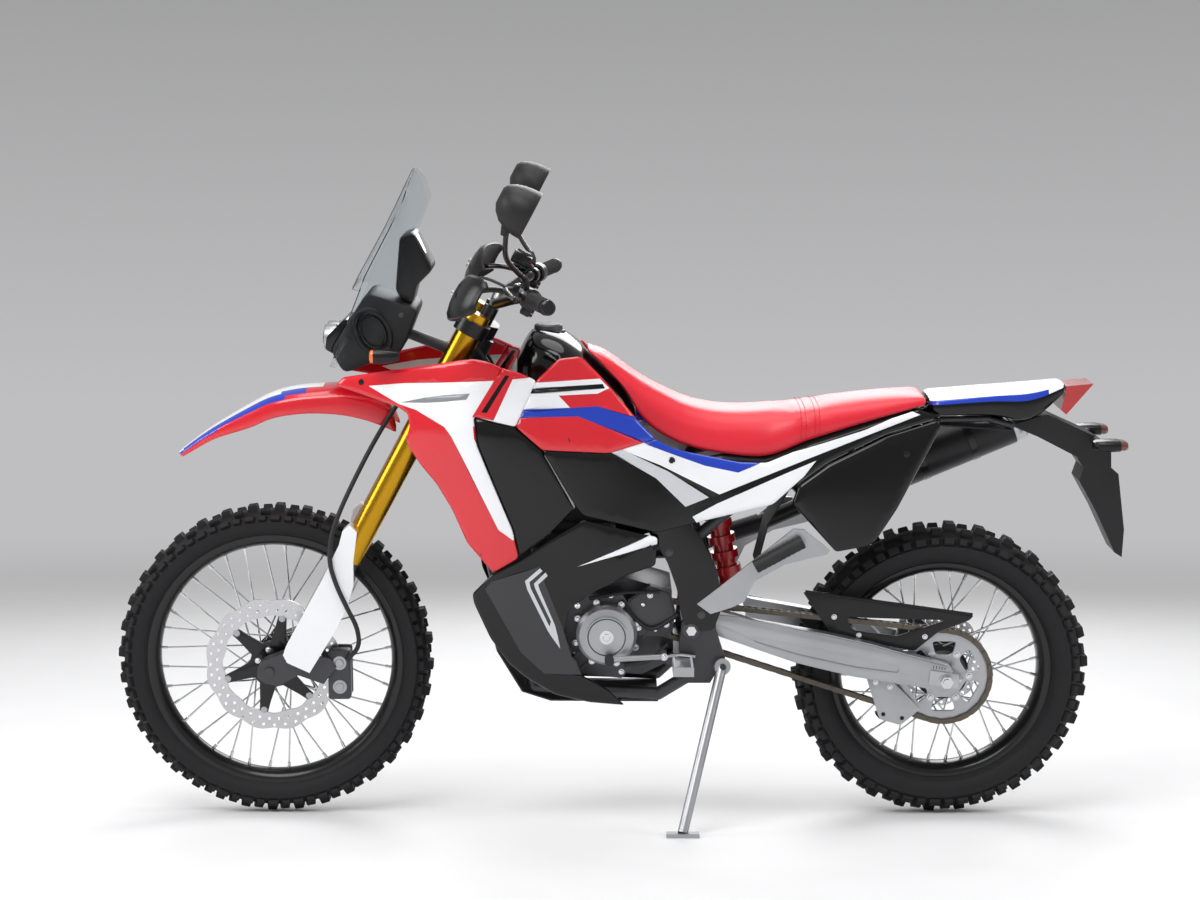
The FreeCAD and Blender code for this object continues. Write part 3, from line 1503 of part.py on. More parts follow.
def make_engine():
    """The engine: crankcase, cylinder and head as one block, and its side covers."""
    case = pad("crankcase", shares_of(crankcase_shares, base), -cells.engine_left, cells.engine_half_width)
    left = pad("left_case", shares_of(left_case_shares, base), -cells.engine_half_width, -cells.engine_left * 0.9)
    cylinder = pad("cylinder", shares_of(cylinder_shares, base), -cells.engine_left, cells.engine_left)
    head = pad("cylinder_head", shares_of(head_shares, base), -cells.engine_left * 1.15, cells.engine_left * 1.15)
    centre = front_sprocket_centre()
    shaft = rod(
        "output_shaft",
        (centre.x, -cells.engine_left * 0.9, centre.z),
        (centre.x, -cells.chain_line - cells.sprocket_thickness, centre.z),
        cells.axle_radius,
    )
    sprocket = rod(
        "front_sprocket",
        (centre.x, -cells.chain_line - cells.sprocket_thickness * 0.5, centre.z),
        (centre.x, -cells.chain_line + cells.sprocket_thickness * 0.5, centre.z),
        cells.chain_pitch,
    )
    sprocket.setExpression("Radius", None)
    sprocket.Radius = sprocket_radius(cells.front_teeth) - float(cells.chain_height) * 0.62
    lug = pad(
        "engine_lug",
        shares_of(engine_lug_shares, base),
        -cells.pivot_plate_inner + cells.seat_gap,
        cells.pivot_plate_inner - cells.seat_gap,
    )
    cover = pad(
        "sprocket_cover",
        shares_of(sprocket_cover_shares, base),
        -cells.engine_half_width,
        -cells.chain_line - cells.chain_width * 0.5 - cells.sheet_thickness,
    )
    pieces = [case, left, cylinder, head, shaft, sprocket, lug, cover, exhaust_port()]
    foot, top = cylinder_shares[:2]
    for index in range(FIN_COUNT):
        height = fin_foot_share + fin_pitch_share * index
        front = foot[0] + (top[0] - foot[0]) * (height - foot[1]) / (top[1] - foot[1]) - fin_reach_share
        reach = cells.engine_left * (1.12 if index % 2 else 1.08)
        pieces.append(
            pad(
                f"cylinder_fin_{index}",
                shares_of(
                    (
                        (front, height),
                        (fin_rear_share, height),
                        (fin_rear_share, height + fin_pitch_share * 0.3),
                        (front, height + fin_pitch_share * 0.3),
                    ),
                    base,
                ),
                -reach,
                reach,
            )
        )
    node(joined("engine", pieces), "engine")

    inside = cells.engine_half_width + cells.seat_gap
    generator = turned(
        "generator_cover",
        [
            (0, -inside),
            (base * 0.0447, -inside),
            (base * 0.0447, -(cells.engine_half_width * 1.22)),
            (base * 0.0400, -(cells.engine_half_width * 1.30)),
            (base * 0.0300, -(cells.engine_half_width * 1.32)),
            (base * 0.0300, -(cells.engine_half_width * 1.40)),
            (base * 0.0090, -(cells.engine_half_width * 1.40)),
            (base * 0.0090, -(cells.engine_half_width * 1.37)),
            (0, -(cells.engine_half_width * 1.37)),
        ],
    )
    generator.Placement = Placement(Vector(-float(base) * 0.002, 0, float(base) * 0.296), Rotation())
    clutch = turned(
        "clutch_cover",
        [
            (0, inside),
            (base * 0.0522, inside),
            (base * 0.0522, cells.engine_half_width * 1.2),
            (base * 0.0412, cells.engine_half_width * 1.3),
            (0, cells.engine_half_width * 1.3),
        ],
    )
    clutch.Placement = Placement(Vector(float(base) * 0.005, 0, float(base) * 0.290), Rotation())
    node(group("engine_covers", [generator, clutch]), "engine_covers")


skid_line_shares = ((-0.182, 0.330), (-0.165, 0.262), (-0.128, 0.200), (-0.085, 0.186))


def make_skid_plate():
    """The skid plate round the front and bottom of the cradle."""
    line = [(float(base) * across, float(base) * up) for across, up in skid_line_shares]
    floor = float(base) * cradle_low_share[1] - float(cells.cradle_radius + cells.seat_gap + cells.sheet_thickness)
    line.append((float(base) * cradle_low_share[0], floor))
    outline = [Vector(x, 0, z) for x, z in strip(line, cells.sheet_thickness)]
    face = Part.Face(Part.makePolygon(outline + [outline[0]]))
    face.translate(Vector(0, -float(cells.skid_half_width), 0))
    plate = face.extrude(Vector(0, 2 * float(cells.skid_half_width), 0))
    node(solid_feature("skid_plate", plate), "skid_plate")


radiator_shares = ((-0.1913, 0.468), (-0.166, 0.468), (-0.166, 0.585), (-0.1913, 0.585))
RADIATOR_SLATS = 9


def make_radiator():
    """The radiator on the left, behind the upper shroud stay: two end tanks with slats between."""
    front, rear = radiator_shares[0][0], radiator_shares[1][0]
    low, high = radiator_shares[0][1], radiator_shares[2][1]
    inner, outer = -cells.engine_left, -base * 0.127
    tank = (high - low) * 0.12
    pieces = [
        pad("radiator_core", shares_of(((front + 0.006, low), (rear - 0.006, low), (rear - 0.006, high), (front + 0.006, high)), base), outer, inner),
    ]
    for index, foot in enumerate((low, high - tank)):
        pieces.append(
            pad(
                f"radiator_tank_{index}",
                shares_of(((front + 0.002, foot), (rear, foot), (rear, foot + tank), (front + 0.002, foot + tank)), base),
                outer,
                inner,
            )
        )
    pitch = (high - low - 2 * tank) / RADIATOR_SLATS
    for index in range(RADIATOR_SLATS):
        foot = low + tank + pitch * (index + 0.3)
        pieces.append(
            pad(
                f"radiator_slat_{index}",
                shares_of(((front, foot), (rear, foot), (rear, foot + pitch * 0.4), (front, foot + pitch * 0.4)), base),
                outer,
                inner,
            )
        )
    node(joined("radiator", pieces), "radiator")


# Body panels

shroud_shares = (
    (-0.396, 0.664),
    (-0.384, 0.677),
    (-0.322, 0.689),
    (-0.218, 0.707),
    (-0.193, 0.710),
    (-0.171, 0.706),
    (-0.149, 0.696),
    (-0.130, 0.691),
    (-0.103, 0.678),
    (-0.132, 0.615),
    (-0.192, 0.630),
    (-0.188, 0.590),
    (-0.138, 0.465),
    (-0.129, 0.422),
    (-0.166, 0.399),
    (-0.203, 0.443),
    (-0.225, 0.494),
    (-0.247, 0.531),
    (-0.269, 0.557),
    (-0.287, 0.584),
    (-0.290, 0.594),
    (-0.284, 0.615),
    (-0.288, 0.631),
    (-0.303, 0.640),
    (-0.358, 0.655),
)
louvre_shares = (
    (-0.192, 0.630),
    (-0.132, 0.615),
    (-0.094, 0.580),
    (-0.046, 0.495),
    (-0.084, 0.455),
    (-0.129, 0.422),
    (-0.138, 0.465),
    (-0.188, 0.590),
)
knee_shares = (
    (-0.103, 0.678),
    (-0.071, 0.707),
    (-0.040, 0.709),
    (-0.013, 0.682),
    (0.015, 0.650),
    (0.045, 0.613),
    (0.069, 0.588),
    (0.000, 0.570),
    (-0.094, 0.580),
    (-0.132, 0.615),
)
side_panel_shares = (
    (-0.094, 0.580),
    (0.000, 0.570),
    (0.069, 0.588),
    (0.092, 0.575),
    (0.117, 0.568),
    (0.167, 0.558),
    (0.193, 0.553),
    (0.231, 0.552),
    (0.296, 0.578),
    (0.377, 0.603),
    (0.453, 0.626),
    (0.488, 0.615),
    (0.406, 0.592),
    (0.319, 0.552),
    (0.277, 0.523),
    (0.239, 0.492),
    (0.071, 0.453),
    (-0.036, 0.482),
    (-0.046, 0.495),
)
side_cover_shares = (
    (0.267, 0.494),
    (0.277, 0.521),
    (0.319, 0.550),
    (0.406, 0.590),
    (0.486, 0.613),
    (0.486, 0.600),
    (0.422, 0.484),
    (0.391, 0.438),
    (0.380, 0.430),
    (0.332, 0.422),
)
lower_fairing_shares = (
    (-0.168, 0.397),
    (-0.197, 0.365),
    (-0.195, 0.350),
    (-0.172, 0.297),
    (-0.145, 0.258),
    (-0.117, 0.234),
    (-0.077, 0.210),
    (-0.028, 0.198),
    (0.025, 0.193),
    (-0.002, 0.220),
    (-0.038, 0.241),
    (-0.063, 0.308),
    (-0.056, 0.345),
    (-0.015, 0.372),
    (0.029, 0.393),
    (0.069, 0.405),
    (0.072, 0.446),
    (-0.036, 0.476),
    (-0.084, 0.449),
    (-0.129, 0.418),
)


def make_panels():
    """The moulded panels of both sides on their bosses, with room round the exhaust on the right."""
    outer = cells.pivot_plate_outer
    grille_inset = cells.panel_thickness * 2
    cover_inset = -cells.panel_thickness * 1.5
    bosses = {
        "front_shroud": [(place, base * reach, height, 0) for place, reach, height in shroud_stay_shares],
        "radiator_grille": [boss_on(grille_stay_shares, grille_inset)],
        "knee_panel": [boss_on(knee_stay_shares)],
        "side_panel": [boss_on(side_stay_shares), boss_on(rail_stub_shares)],
        "rear_side_cover": [boss_on(cover_stub_shares, cover_inset)],
        "lower_fairing": [boss_on(fairing_stay_shares), (fairing_tab_boss_shares[0], outer, fairing_tab_boss_shares[1], 0)],
    }
    for name, piece, shares, inset in (
        ("front_shrouds", "front_shroud", shroud_shares, 0),
        ("radiator_grilles", "radiator_grille", louvre_shares, grille_inset),
        ("knee_panels", "knee_panel", knee_shares, 0),
        ("side_panels", "side_panel", side_panel_shares, 0),
        ("rear_side_covers", "rear_side_cover", side_cover_shares, cover_inset),
        ("lower_fairings", "lower_fairing", lower_fairing_shares, 0),
    ):
        parts = [body_panel(piece, shares, inset)]
        for index, (place, reach, height, boss_inset) in enumerate(bosses[piece]):
            parts.append(panel_boss(f"{piece}_boss_{index}", place, reach, height, boss_inset))
        left = joined(f"{piece}_on_bosses", parts)
        if name in ("side_panels", "rear_side_covers", "lower_fairings"):
            right = cut(f"{piece}_right", mirrored(f"{piece}_mirror", left), exhaust_space(piece))
            node(group(name, [left, right]), name)
        else:
            node(both_sides(name, left), name)


def boss_on(stay, inset=0):
    """Where a panel's boss meets the end of a stay."""
    place, reach, height = stay
    return (place, base * reach, height, inset)


tank_station_shares = (
    (-0.135, 0.640, 0.700, 0.045, 0.035),
    (-0.110, 0.612, 0.738, 0.075, 0.045),
    (-0.070, 0.606, 0.736, 0.095, 0.060),
    (-0.042, 0.604, 0.718, 0.090, 0.050),
    (-0.032, 0.604, 0.706, 0.085, 0.048),
    (-0.010, 0.603, 0.686, 0.078, 0.042),
    (0.010, 0.602, 0.667, 0.070, 0.038),
    (0.024, 0.601, 0.651, 0.064, 0.036),
    (0.042, 0.600, 0.618, 0.055, 0.030),
)
seat_station_shares = (
    (-0.030, 0.708, 0.714, 0.034, 0.026),
    (-0.010, 0.690, 0.704, 0.048, 0.034),
    (0.024, 0.655, 0.680, 0.060, 0.040),
    (0.048, 0.615, 0.664, 0.068, 0.045),
    (0.077, 0.590, 0.648, 0.073, 0.050),
    (0.117, 0.572, 0.630, 0.078, 0.055),
    (0.167, 0.562, 0.620, 0.082, 0.058),
    (0.231, 0.558, 0.621, 0.082, 0.060),
    (0.296, 0.582, 0.630, 0.080, 0.060),
    (0.377, 0.607, 0.638, 0.072, 0.054),
    (0.453, 0.628, 0.645, 0.062, 0.046),
    (0.466, 0.632, 0.641, 0.056, 0.042),
)


def crowned_ring(place, low, top, wide, flat):
    """A section across the bike: a flat floor, sides that lean in and a crowned top."""
    shoulder = low + (top - low) * 0.62
    points = [
        (-wide * 0.92, low),
        (-wide, low + (top - low) * 0.25),
        (-wide * 0.97, shoulder),
        (-flat, top - (top - shoulder) * 0.12),
        (0, top),
        (flat, top - (top - shoulder) * 0.12),
        (wide * 0.97, shoulder),
        (wide, low + (top - low) * 0.25),
        (wide * 0.92, low),
    ]
    return [Vector(place, side, up) for side, up in points]


def crowned_solid(name, stations):
    """A crowned solid along the bike through its stations."""
    rings = []
    for station in stations:
        place, low, top, wide, flat = [float(base) * share for share in station]
        rings.append(crowned_ring(place, low, top, wide, flat))
    return solid_feature(name, skin(rings))


tail_station_shares = (
    (0.469, 0.6133, 0.6435, 0.062, 0.040),
    (0.560, 0.613, 0.652, 0.055, 0.036),
    (0.621, 0.605, 0.658, 0.046, 0.030),
    (0.674, 0.646, 0.662, 0.034, 0.022),
)
tail_light_shares = ((0.6742, 0.6450), (0.6742, 0.6555), (0.715, 0.659), (0.676, 0.613), (0.668, 0.620))
plate_holder_shares = (
    (0.600, 0.5945),
    (0.600, 0.5985),
    (0.649, 0.613),
    (0.719, 0.581),
    (0.744, 0.564),
    (0.745, 0.533),
    (0.756, 0.524),
    (0.767, 0.440),
    (0.765, 0.398),
    (0.754, 0.405),
    (0.724, 0.468),
    (0.698, 0.514),
    (0.704, 0.533),
    (0.693, 0.550),
    (0.635, 0.580),
)


PLATE_FACE_CORNERS = (6, 7)


def plate_face():
    """The middle of the plate holder's flat rear face and the way that it looks."""
    upper, lower = [
        Vector(float(base) * place, 0, float(base) * height)
        for place, height in plate_holder_shares[PLATE_FACE_CORNERS[0]:PLATE_FACE_CORNERS[1] + 1]
    ]
    along = (lower - upper).normalize()
    return (upper + lower) * 0.5, Vector(-along.z, 0, along.x)


def make_rear():
    """Seat, tank with its cap, tail, lamps and the plate holder with its bolt holes."""
    tank = crowned_solid("fuel_tank_body", tank_station_shares)
    cap = rod("filler_cap", bike_point(-0.088, 0, 0.728), bike_point(-0.088, 0, 0.7445), base * 0.024)
    rim = rod("filler_rim", bike_point(-0.088, 0, 0.728), bike_point(-0.088, 0, 0.7400), base * 0.029)
    node(joined("fuel_tank", [tank, cap, rim]), "fuel_tank")
    node(crowned_solid("seat", seat_station_shares), "seat")
    node(crowned_solid("tail_cowl", tail_station_shares), "tail_cowl")
    wide = base * 0.030
    node(pad("tail_light", shares_of(tail_light_shares, base), -wide, wide), "tail_light")
    centre, out = plate_face()
    holes = []
    for side, word in ((-1, "left"), (1, "right")):
        middle = centre + Vector(0, float(cells.plate_bolt_place) * side, 0)
        holes.append(
            rod(
                f"plate_bolt_{word}",
                middle - out * float(cells.plate_bolt_depth),
                middle + out * float(cells.overrun),
                cells.plate_bolt_radius,
            )
        )
    blank = pad("plate_holder_blank", shares_of(plate_holder_shares, base), -wide, wide)
    node(cut("plate_holder", blank, group("plate_bolt_holes", holes)), "plate_holder")


nose_shares = (
    (-0.350, 0.798),
    (-0.275, 0.774),
    (-0.300, 0.711),
    (-0.385, 0.679),
    (-0.404, 0.712),
    (-0.375, 0.759),
)
wing_station_shares = (
    (0.690, -0.408, -0.395, 0.078),
    (0.720, -0.398, -0.372, 0.080),
    (0.760, -0.388, -0.335, 0.081),
    (0.800, -0.377, -0.303, 0.080),
)
wing_section_shares = ((-1.0, 1.0), (-0.95, 0.55), (-0.87, 0.22))
screen_station_shares = (
    (0.800, -0.377, -0.303, 0.080),
    (0.820, -0.367, -0.306, 0.079),
    (0.850, -0.350, -0.296, 0.074),
    (0.890, -0.328, -0.278, 0.066),
    (0.930, -0.308, -0.262, 0.054),
    (0.960, -0.293, -0.270, 0.040),
    (0.974, -0.286, -0.280, 0.022),
)
screen_section_shares = (
    (-1.0, 1.0),
    (-0.95, 0.55),
    (-0.87, 0.22),
    (-0.50, 0.05),
    (0.0, 0.0),
    (0.50, 0.05),
    (0.87, 0.22),
    (0.95, 0.55),
    (1.0, 1.0),
)


def screen_ring(station, section):
    """A level section of the screen: its outer line and the inner one a sheet thick behind it."""
    height, front, rear, wide = [float(base) * share for share in station]
    thick = float(cells.sheet_thickness)
    outer = [Vector(front + (rear - front) * back, side * wide, height) for side, back in section]
    inner = [
        Vector(point.x + thick * (1 - back), point.y * (1 - thick / wide), height)
        for point, (side, back) in zip(outer, section)
    ]
    return outer + inner[::-1]


def make_front():
    """Nose fairing with its lamp, the windscreen, the meter and the indicators."""
    wide = base * 0.066
    node(pad("nose_fairing", shares_of(nose_shares, base), -wide, wide), "nose_fairing")
    lamp = ((-0.3775, 0.755), (-0.404, 0.712), (-0.401, 0.706), (-0.418, 0.713), (-0.416, 0.731), (-0.385, 0.757))
    node(pad("headlamp", shares_of(lamp, base), -base * 0.05, base * 0.05), "headlamp")

    wing = solid_feature("screen_wing", skin([screen_ring(row, wing_section_shares) for row in wing_station_shares]))
    arch = solid_feature("screen_arch", skin([screen_ring(row, screen_section_shares) for row in screen_station_shares]))
    boss = rod(
        "screen_boss",
        bike_point(-0.374, -(wide + cells.seat_gap), 0.735),
        bike_point(-0.374, -base * 0.0755, 0.735),
        cells.stay_radius,
    )
    screen = [arch, wing, mirrored("screen_wing_other", wing), boss, mirrored("screen_boss_other", boss)]
    node(joined("windscreen", screen), "windscreen")

    meter = shares_of(((-0.303, 0.877), (-0.283, 0.884), (-0.255, 0.829), (-0.279, 0.805)), base)
    meter += [(base * place, base * height + cells.seat_gap) for place, height in ((-0.286, 0.77752), (-0.300, 0.782))]
    meter += shares_of(((-0.310, 0.800),), base)
    node(pad("instrument_panel", meter, -base * 0.045, base * 0.045), "instrument_panel")

    indicator = ((-0.341, 0.724), (-0.299, 0.724), (-0.299, 0.702), (-0.341, 0.702))
    lamp_body = pad("front_indicator_lamp", shares_of(indicator, base), -base * 0.138, -base * 0.115)
    stalk = rod(
        "front_indicator_stalk",
        bike_point(-0.320, -base * 0.118, 0.713),
        bike_point(-0.320, -(wide + cells.seat_gap), 0.713),
        cells.stay_radius,
    )
    front = joined("front_indicator", [lamp_body, stalk])
    rear_outline = ((0.707, 0.584), (0.749, 0.584), (0.757, 0.574), (0.749, 0.565), (0.712, 0.567))
    rear = pad("rear_indicator", shares_of(rear_outline, base), -base * 0.092, -(base * 0.030 + cells.seat_gap))
    node(
        group(
            "indicators",
            [front, mirrored("front_indicator_other", front), rear, mirrored("rear_indicator_other", rear)],
        ),
        "indicators",
    )


# Rear suspension, exhaust, controls and stand

swingarm_shares = (
    (0.106, 0.330),
    (0.158, 0.330),
    (0.220, 0.312),
    (0.320, 0.294),
    (0.390, 0.278),
    (0.477, 0.253),
    (0.505, 0.246),
    (0.517, 0.227),
    (0.502, 0.206),
    (0.465, 0.212),
    (0.362, 0.229),
    (0.277, 0.250),
    (0.158, 0.292),
    (0.112, 0.292),
)
chain_guard_shares = (
    (0.288, 0.353),
    (0.542, 0.317),
    (0.536, 0.310),
    (0.491, 0.293),
    (0.455, 0.263),
    (0.366, 0.280),
    (0.329, 0.292),
)
chain_guide_shares = ((0.383, 0.226), (0.424, 0.216), (0.466, 0.174), (0.437, 0.149), (0.405, 0.158))


chain_window_shares = ((0.3528, 0.3144), (0.4999, 0.3099), (0.4293, 0.2859), (0.3618, 0.2949))
swingarm_cross_shares = ((0.172, 0.300), (0.172, 0.322), (0.205, 0.314), (0.205, 0.290))
rear_caliper_shares = ((0.440, 0.246), (0.450, 0.288), (0.484, 0.302), (0.482, 0.262))
REAR_AXLE_SHARE = 0.22268


def trailing(table):
    """An outline in the side view whose rear end follows the rear axle's height."""
    corners = []
    for place, height in table:
        part = min(max((place - pivot_shares[0]) / (0.5 - pivot_shares[0]), 0), 1)
        corners.append((base * place, base * height + (cells.rear_axle_height - base * REAR_AXLE_SHARE) * part))
    return corners


def make_swingarm():
    """Swingarm with the rear axle, chain guard, chain guide, caliper and shock absorber."""
    leg = pad("swingarm_left", trailing(swingarm_shares), -cells.swingarm_outer, -cells.swingarm_inner)
    cross = pad(
        "swingarm_cross",
        shares_of(swingarm_cross_shares, base),
        -cells.swingarm_inner - cells.overrun,
        cells.swingarm_inner + cells.overrun,
    )
    axle = rod(
        "rear_axle_pin",
        (base * 0.5, -cells.axle_half_length, cells.rear_axle_height),
        (base * 0.5, cells.axle_half_length, cells.rear_axle_height),
        cells.axle_radius,
    )
    boss = rod(
        "swingarm_boss",
        bike_point(pivot_shares[0], -cells.swingarm_outer, pivot_shares[1]),
        bike_point(pivot_shares[0], cells.swingarm_outer, pivot_shares[1]),
        cells.pivot_pin_radius * 2.2,
    )
    whole = joined("swingarm_solid", [leg, mirrored("swingarm_right", leg), cross, axle, boss])
    hole = rod(
        "swingarm_hole",
        bike_point(pivot_shares[0], -cells.pivot_plate_inner, pivot_shares[1]),
        bike_point(pivot_shares[0], cells.pivot_plate_inner, pivot_shares[1]),
        cells.pivot_pin_radius + cells.seat_gap,
    )
    node(cut("swingarm", whole, hole), "swingarm")

    chain_room = cells.running_gap * 2
    chain_side = cells.chain_line + cells.chain_width * 0.5 + chain_room
    guard_blank = pad("chain_guard_plate", trailing(chain_guard_shares), -cells.swingarm_inner + cells.seat_gap, -chain_side)
    window = pad("chain_guard_window", trailing(chain_window_shares), -cells.swingarm_outer, 0)
    guard = cut("chain_guard", guard_blank, window)
    block = pad(
        "chain_guide_block",
        trailing(chain_guide_shares),
        -cells.swingarm_inner + cells.seat_gap,
        -cells.chain_line + cells.chain_width * 0.5 + cells.sheet_thickness,
    )
    room = float(chain_room)
    loop = plate_ring(
        chain_loop(float(cells.chain_height) / 2 + room * 2),
        chain_loop(-float(cells.chain_height) / 2 - room * 2),
        -float(chain_side),
        -float(cells.chain_line) + float(cells.chain_width) / 2 + room,
    )
    sprocket_space = Part.makeCylinder(
        sprocket_radius(cells.rear_teeth) + room * 2,
        float(cells.chain_width) * 3,
        Vector(float(base) / 2, -float(chain_side), float(cells.rear_axle_height)),
        Vector(0, 1, 0),
    )
    guide = cut("chain_guide", block, solid_feature("chain_path", loop.fuse(sprocket_space)))
    node(group("chain_guards", [guard, guide]), "chain_guards")

    caliper = pad(
        "rear_caliper_body",
        trailing(rear_caliper_shares),
        cells.rear_disc_place - cells.disc_thickness * 3,
        cells.swingarm_inner - cells.seat_gap,
    )
    slot = rod(
        "rear_caliper_slot",
        (base * 0.5, cells.rear_disc_place - cells.disc_thickness * 1.4, cells.rear_axle_height),
        (base * 0.5, cells.rear_disc_place + cells.disc_thickness * 1.4, cells.rear_axle_height),
        cells.rear_disc_radius + cells.disc_thickness,
    )
    node(cut("rear_brake_caliper", caliper, slot), "rear_brake_caliper")
    make_shock()


SPRING_TURNS = 7


def make_shock():
    """The shock absorber: its rod on the swingarm, its spring and the eye round the frame's cross tube."""
    upper, lower = [Vector(float(base) * place, 0, float(base) * height) for place, height in swingarm_cross_shares[1:3]]
    along = (lower - upper).normalize()
    up = Vector(-along.z, 0, along.x)
    if up.z < 0:
        up = up * -1
    foot = upper + (lower - upper) * 0.24 + up * float(cells.seat_gap)
    low = foot + up * float(base) * 0.025
    top = Vector(float(base) * 0.150, 0, float(base) * 0.520)
    coil = float(cells.rail_radius) * 2.5
    pieces = [
        rod("shock_rod", foot, low, cells.axle_radius),
        rod("shock_body", low, top, coil * 0.74),
    ]
    pitch = (top - low) / (SPRING_TURNS * 2 + 1)
    for index in range(SPRING_TURNS + 1):
        start = low + pitch * (2 * index)
        pieces.append(rod(f"shock_turn_{index}", start, start + pitch, coil))
    middle = Vector(*[float(value) for value in rail_point(cross_tube_shares[0], 1)])
    middle.y = 0
    across = Vector(0, coil * 0.5, 0)
    pieces.append(rod("shock_eye", middle - across, middle + across, cells.rail_radius * 1.7))
    pieces.append(rod("shock_neck", top, middle, cells.axle_radius))
    bore = rod("shock_eye_bore", middle - across * 2, middle + across * 2, cells.rail_radius + cells.seat_gap)
    node(cut("shock_absorber", joined("shock_solid", pieces), bore), "shock_absorber")


exhaust_points = (
    (-0.105, 0.005, 0.450),
    (-0.150, 0.030, 0.440),
    (-0.155, 0.080, 0.395),
    (-0.100, 0.112, 0.372),
    (0.100, 0.121, 0.376),
    (0.240, 0.122, 0.420),
    (0.420, 0.117, 0.500),
)


def make_exhaust():
    """The header pipe and the muffler on the right side."""
    points = [(float(base) * x, float(base) * y, float(base) * z) for x, y, z in exhaust_points]
    header = bent_tube("exhaust_header", points, cells.header_radius, cells.header_radius * 2)
    start = Vector(float(base) * 0.405, float(cells.muffler_place), float(base) * 0.492)
    end = Vector(float(base) * 0.625, float(cells.muffler_place), float(base) * 0.584)
    along = (end - start).normalize()
    muffler = rod("muffler_body", start, end, cells.muffler_radius)
    front_cap = rod("muffler_front_cap", start - along * float(cells.muffler_radius) * 0.35, start, cells.muffler_radius * 0.72)
    end_cap = rod("muffler_end_cap", end, end + along * float(cells.muffler_radius) * 0.25, cells.muffler_radius * 0.84)
    outlet = rod("muffler_outlet", end, end + along * float(cells.muffler_radius) * 0.45, cells.header_radius)
    node(joined("exhaust", [header, muffler, front_cap, end_cap, outlet]), "exhaust")


def exhaust_space(name):
    """The room that the right side's panels leave round the exhaust."""
    start = Vector(float(base) * 0.385, float(cells.muffler_place), float(base) * 0.484)
    end = Vector(float(base) * 0.640, float(cells.muffler_place), float(base) * 0.590)
    room = rod(f"{name}_muffler_room", start, end, cells.muffler_radius + cells.clamp_gap)
    points = [(float(base) * x, float(base) * y, float(base) * z) for x, y, z in exhaust_points]
    pipe = bent_tube(f"{name}_pipe_room", points, cells.header_radius + cells.clamp_gap, cells.header_radius * 2)
    return joined(f"{name}_room", [room, pipe])


pillion_boss_shares = ((0.147, 0.342), (0.150, 0.356))


def make_foot_controls():
    """Rider and pillion footrests, gear lever and brake pedal."""
    outer = cells.pivot_plate_outer
    peg = pad(
        "rider_footrest",
        shares_of(((0.094, 0.252), (0.094, 0.266), (0.124, 0.266), (0.124, 0.252)), base),
        -outer - base * 0.065,
        -outer - cells.seat_gap,
    )
    bracket = pad(
        "pillion_bracket",
        shares_of(
            (
                (0.162, 0.370),
                (0.270, 0.457),
                (0.285, 0.456),
                (0.323, 0.425),
                (0.319, 0.419),
                (0.258, 0.404),
                (0.214, 0.379),
                (0.199, 0.348),
                (0.179, 0.339),
                (0.150, 0.330),
                (0.130, 0.345),
            ),
            base,
        ),
        -outer - cells.sheet_thickness * 2,
        -outer - cells.seat_gap,
    )
    step = rod(
        "pillion_peg",
        (base * 0.214, -outer - base * 0.012, base * 0.402),
        (base * 0.283, -outer - base * 0.012, base * 0.440),
        base * 0.009,
    )
    rest = joined("pillion_footrest", [bracket, step])
    outside = mirrored("pillion_footrest_other", rest)
    reach = cells.header_radius * 2 + cells.sheet_thickness * 4
    outside.Placement = Placement(Vector(0, float(reach), 0), Rotation())
    bosses = [
        rod(
            f"pillion_boss_{index}",
            bike_point(place, outer + cells.seat_gap, height),
            bike_point(place, outer + reach + cells.sheet_thickness, height),
            cells.bar_radius,
        )
        for index, (place, height) in enumerate(pillion_boss_shares)
    ]
    other = joined("pillion_footrest_right", [outside] + bosses)
    node(
        group("footrests", [peg, mirrored("rider_footrest_other", peg), rest, other]),
        "footrests",
    )
    shaft = rod(
        "gear_shaft",
        bike_point(0.082, -cells.engine_left - cells.seat_gap, 0.267),
        bike_point(0.082, -outer - base * 0.010, 0.267),
        cells.bar_radius * 0.6,
    )
    arm = rod(
        "gear_arm",
        bike_point(0.082, -outer - base * 0.008, 0.267),
        bike_point(0.002, -outer - base * 0.020, 0.266),
        cells.bar_radius * 0.55,
    )
    toe = rod(
        "gear_toe",
        bike_point(0.002, -outer - base * 0.012, 0.266),
        bike_point(0.002, -outer - base * 0.035, 0.266),
        cells.bar_radius * 0.7,
    )
    lever = joined("gear_lever", [shaft, arm, toe])
    pedal_arm = rod(
        "pedal_arm",
        bike_point(0.118, outer + base * 0.010, 0.240),
        bike_point(-0.020, outer + base * 0.022, 0.262),
        cells.bar_radius * 0.6,
    )
    pedal_pin = rod(
        "pedal_pin",
        bike_point(0.118, outer + cells.seat_gap, 0.240),
        bike_point(0.118, outer + base * 0.012, 0.240),
        cells.bar_radius,
    )
    pedal_toe = rod(
        "pedal_toe",
        bike_point(-0.020, outer + base * 0.006, 0.262),
        bike_point(-0.020, outer + base * 0.030, 0.262),
        cells.bar_radius * 0.7,
    )
    pedal = joined("brake_pedal", [pedal_arm, pedal_pin, pedal_toe])
    node(group("foot_levers", [lever, pedal]), "foot_levers")


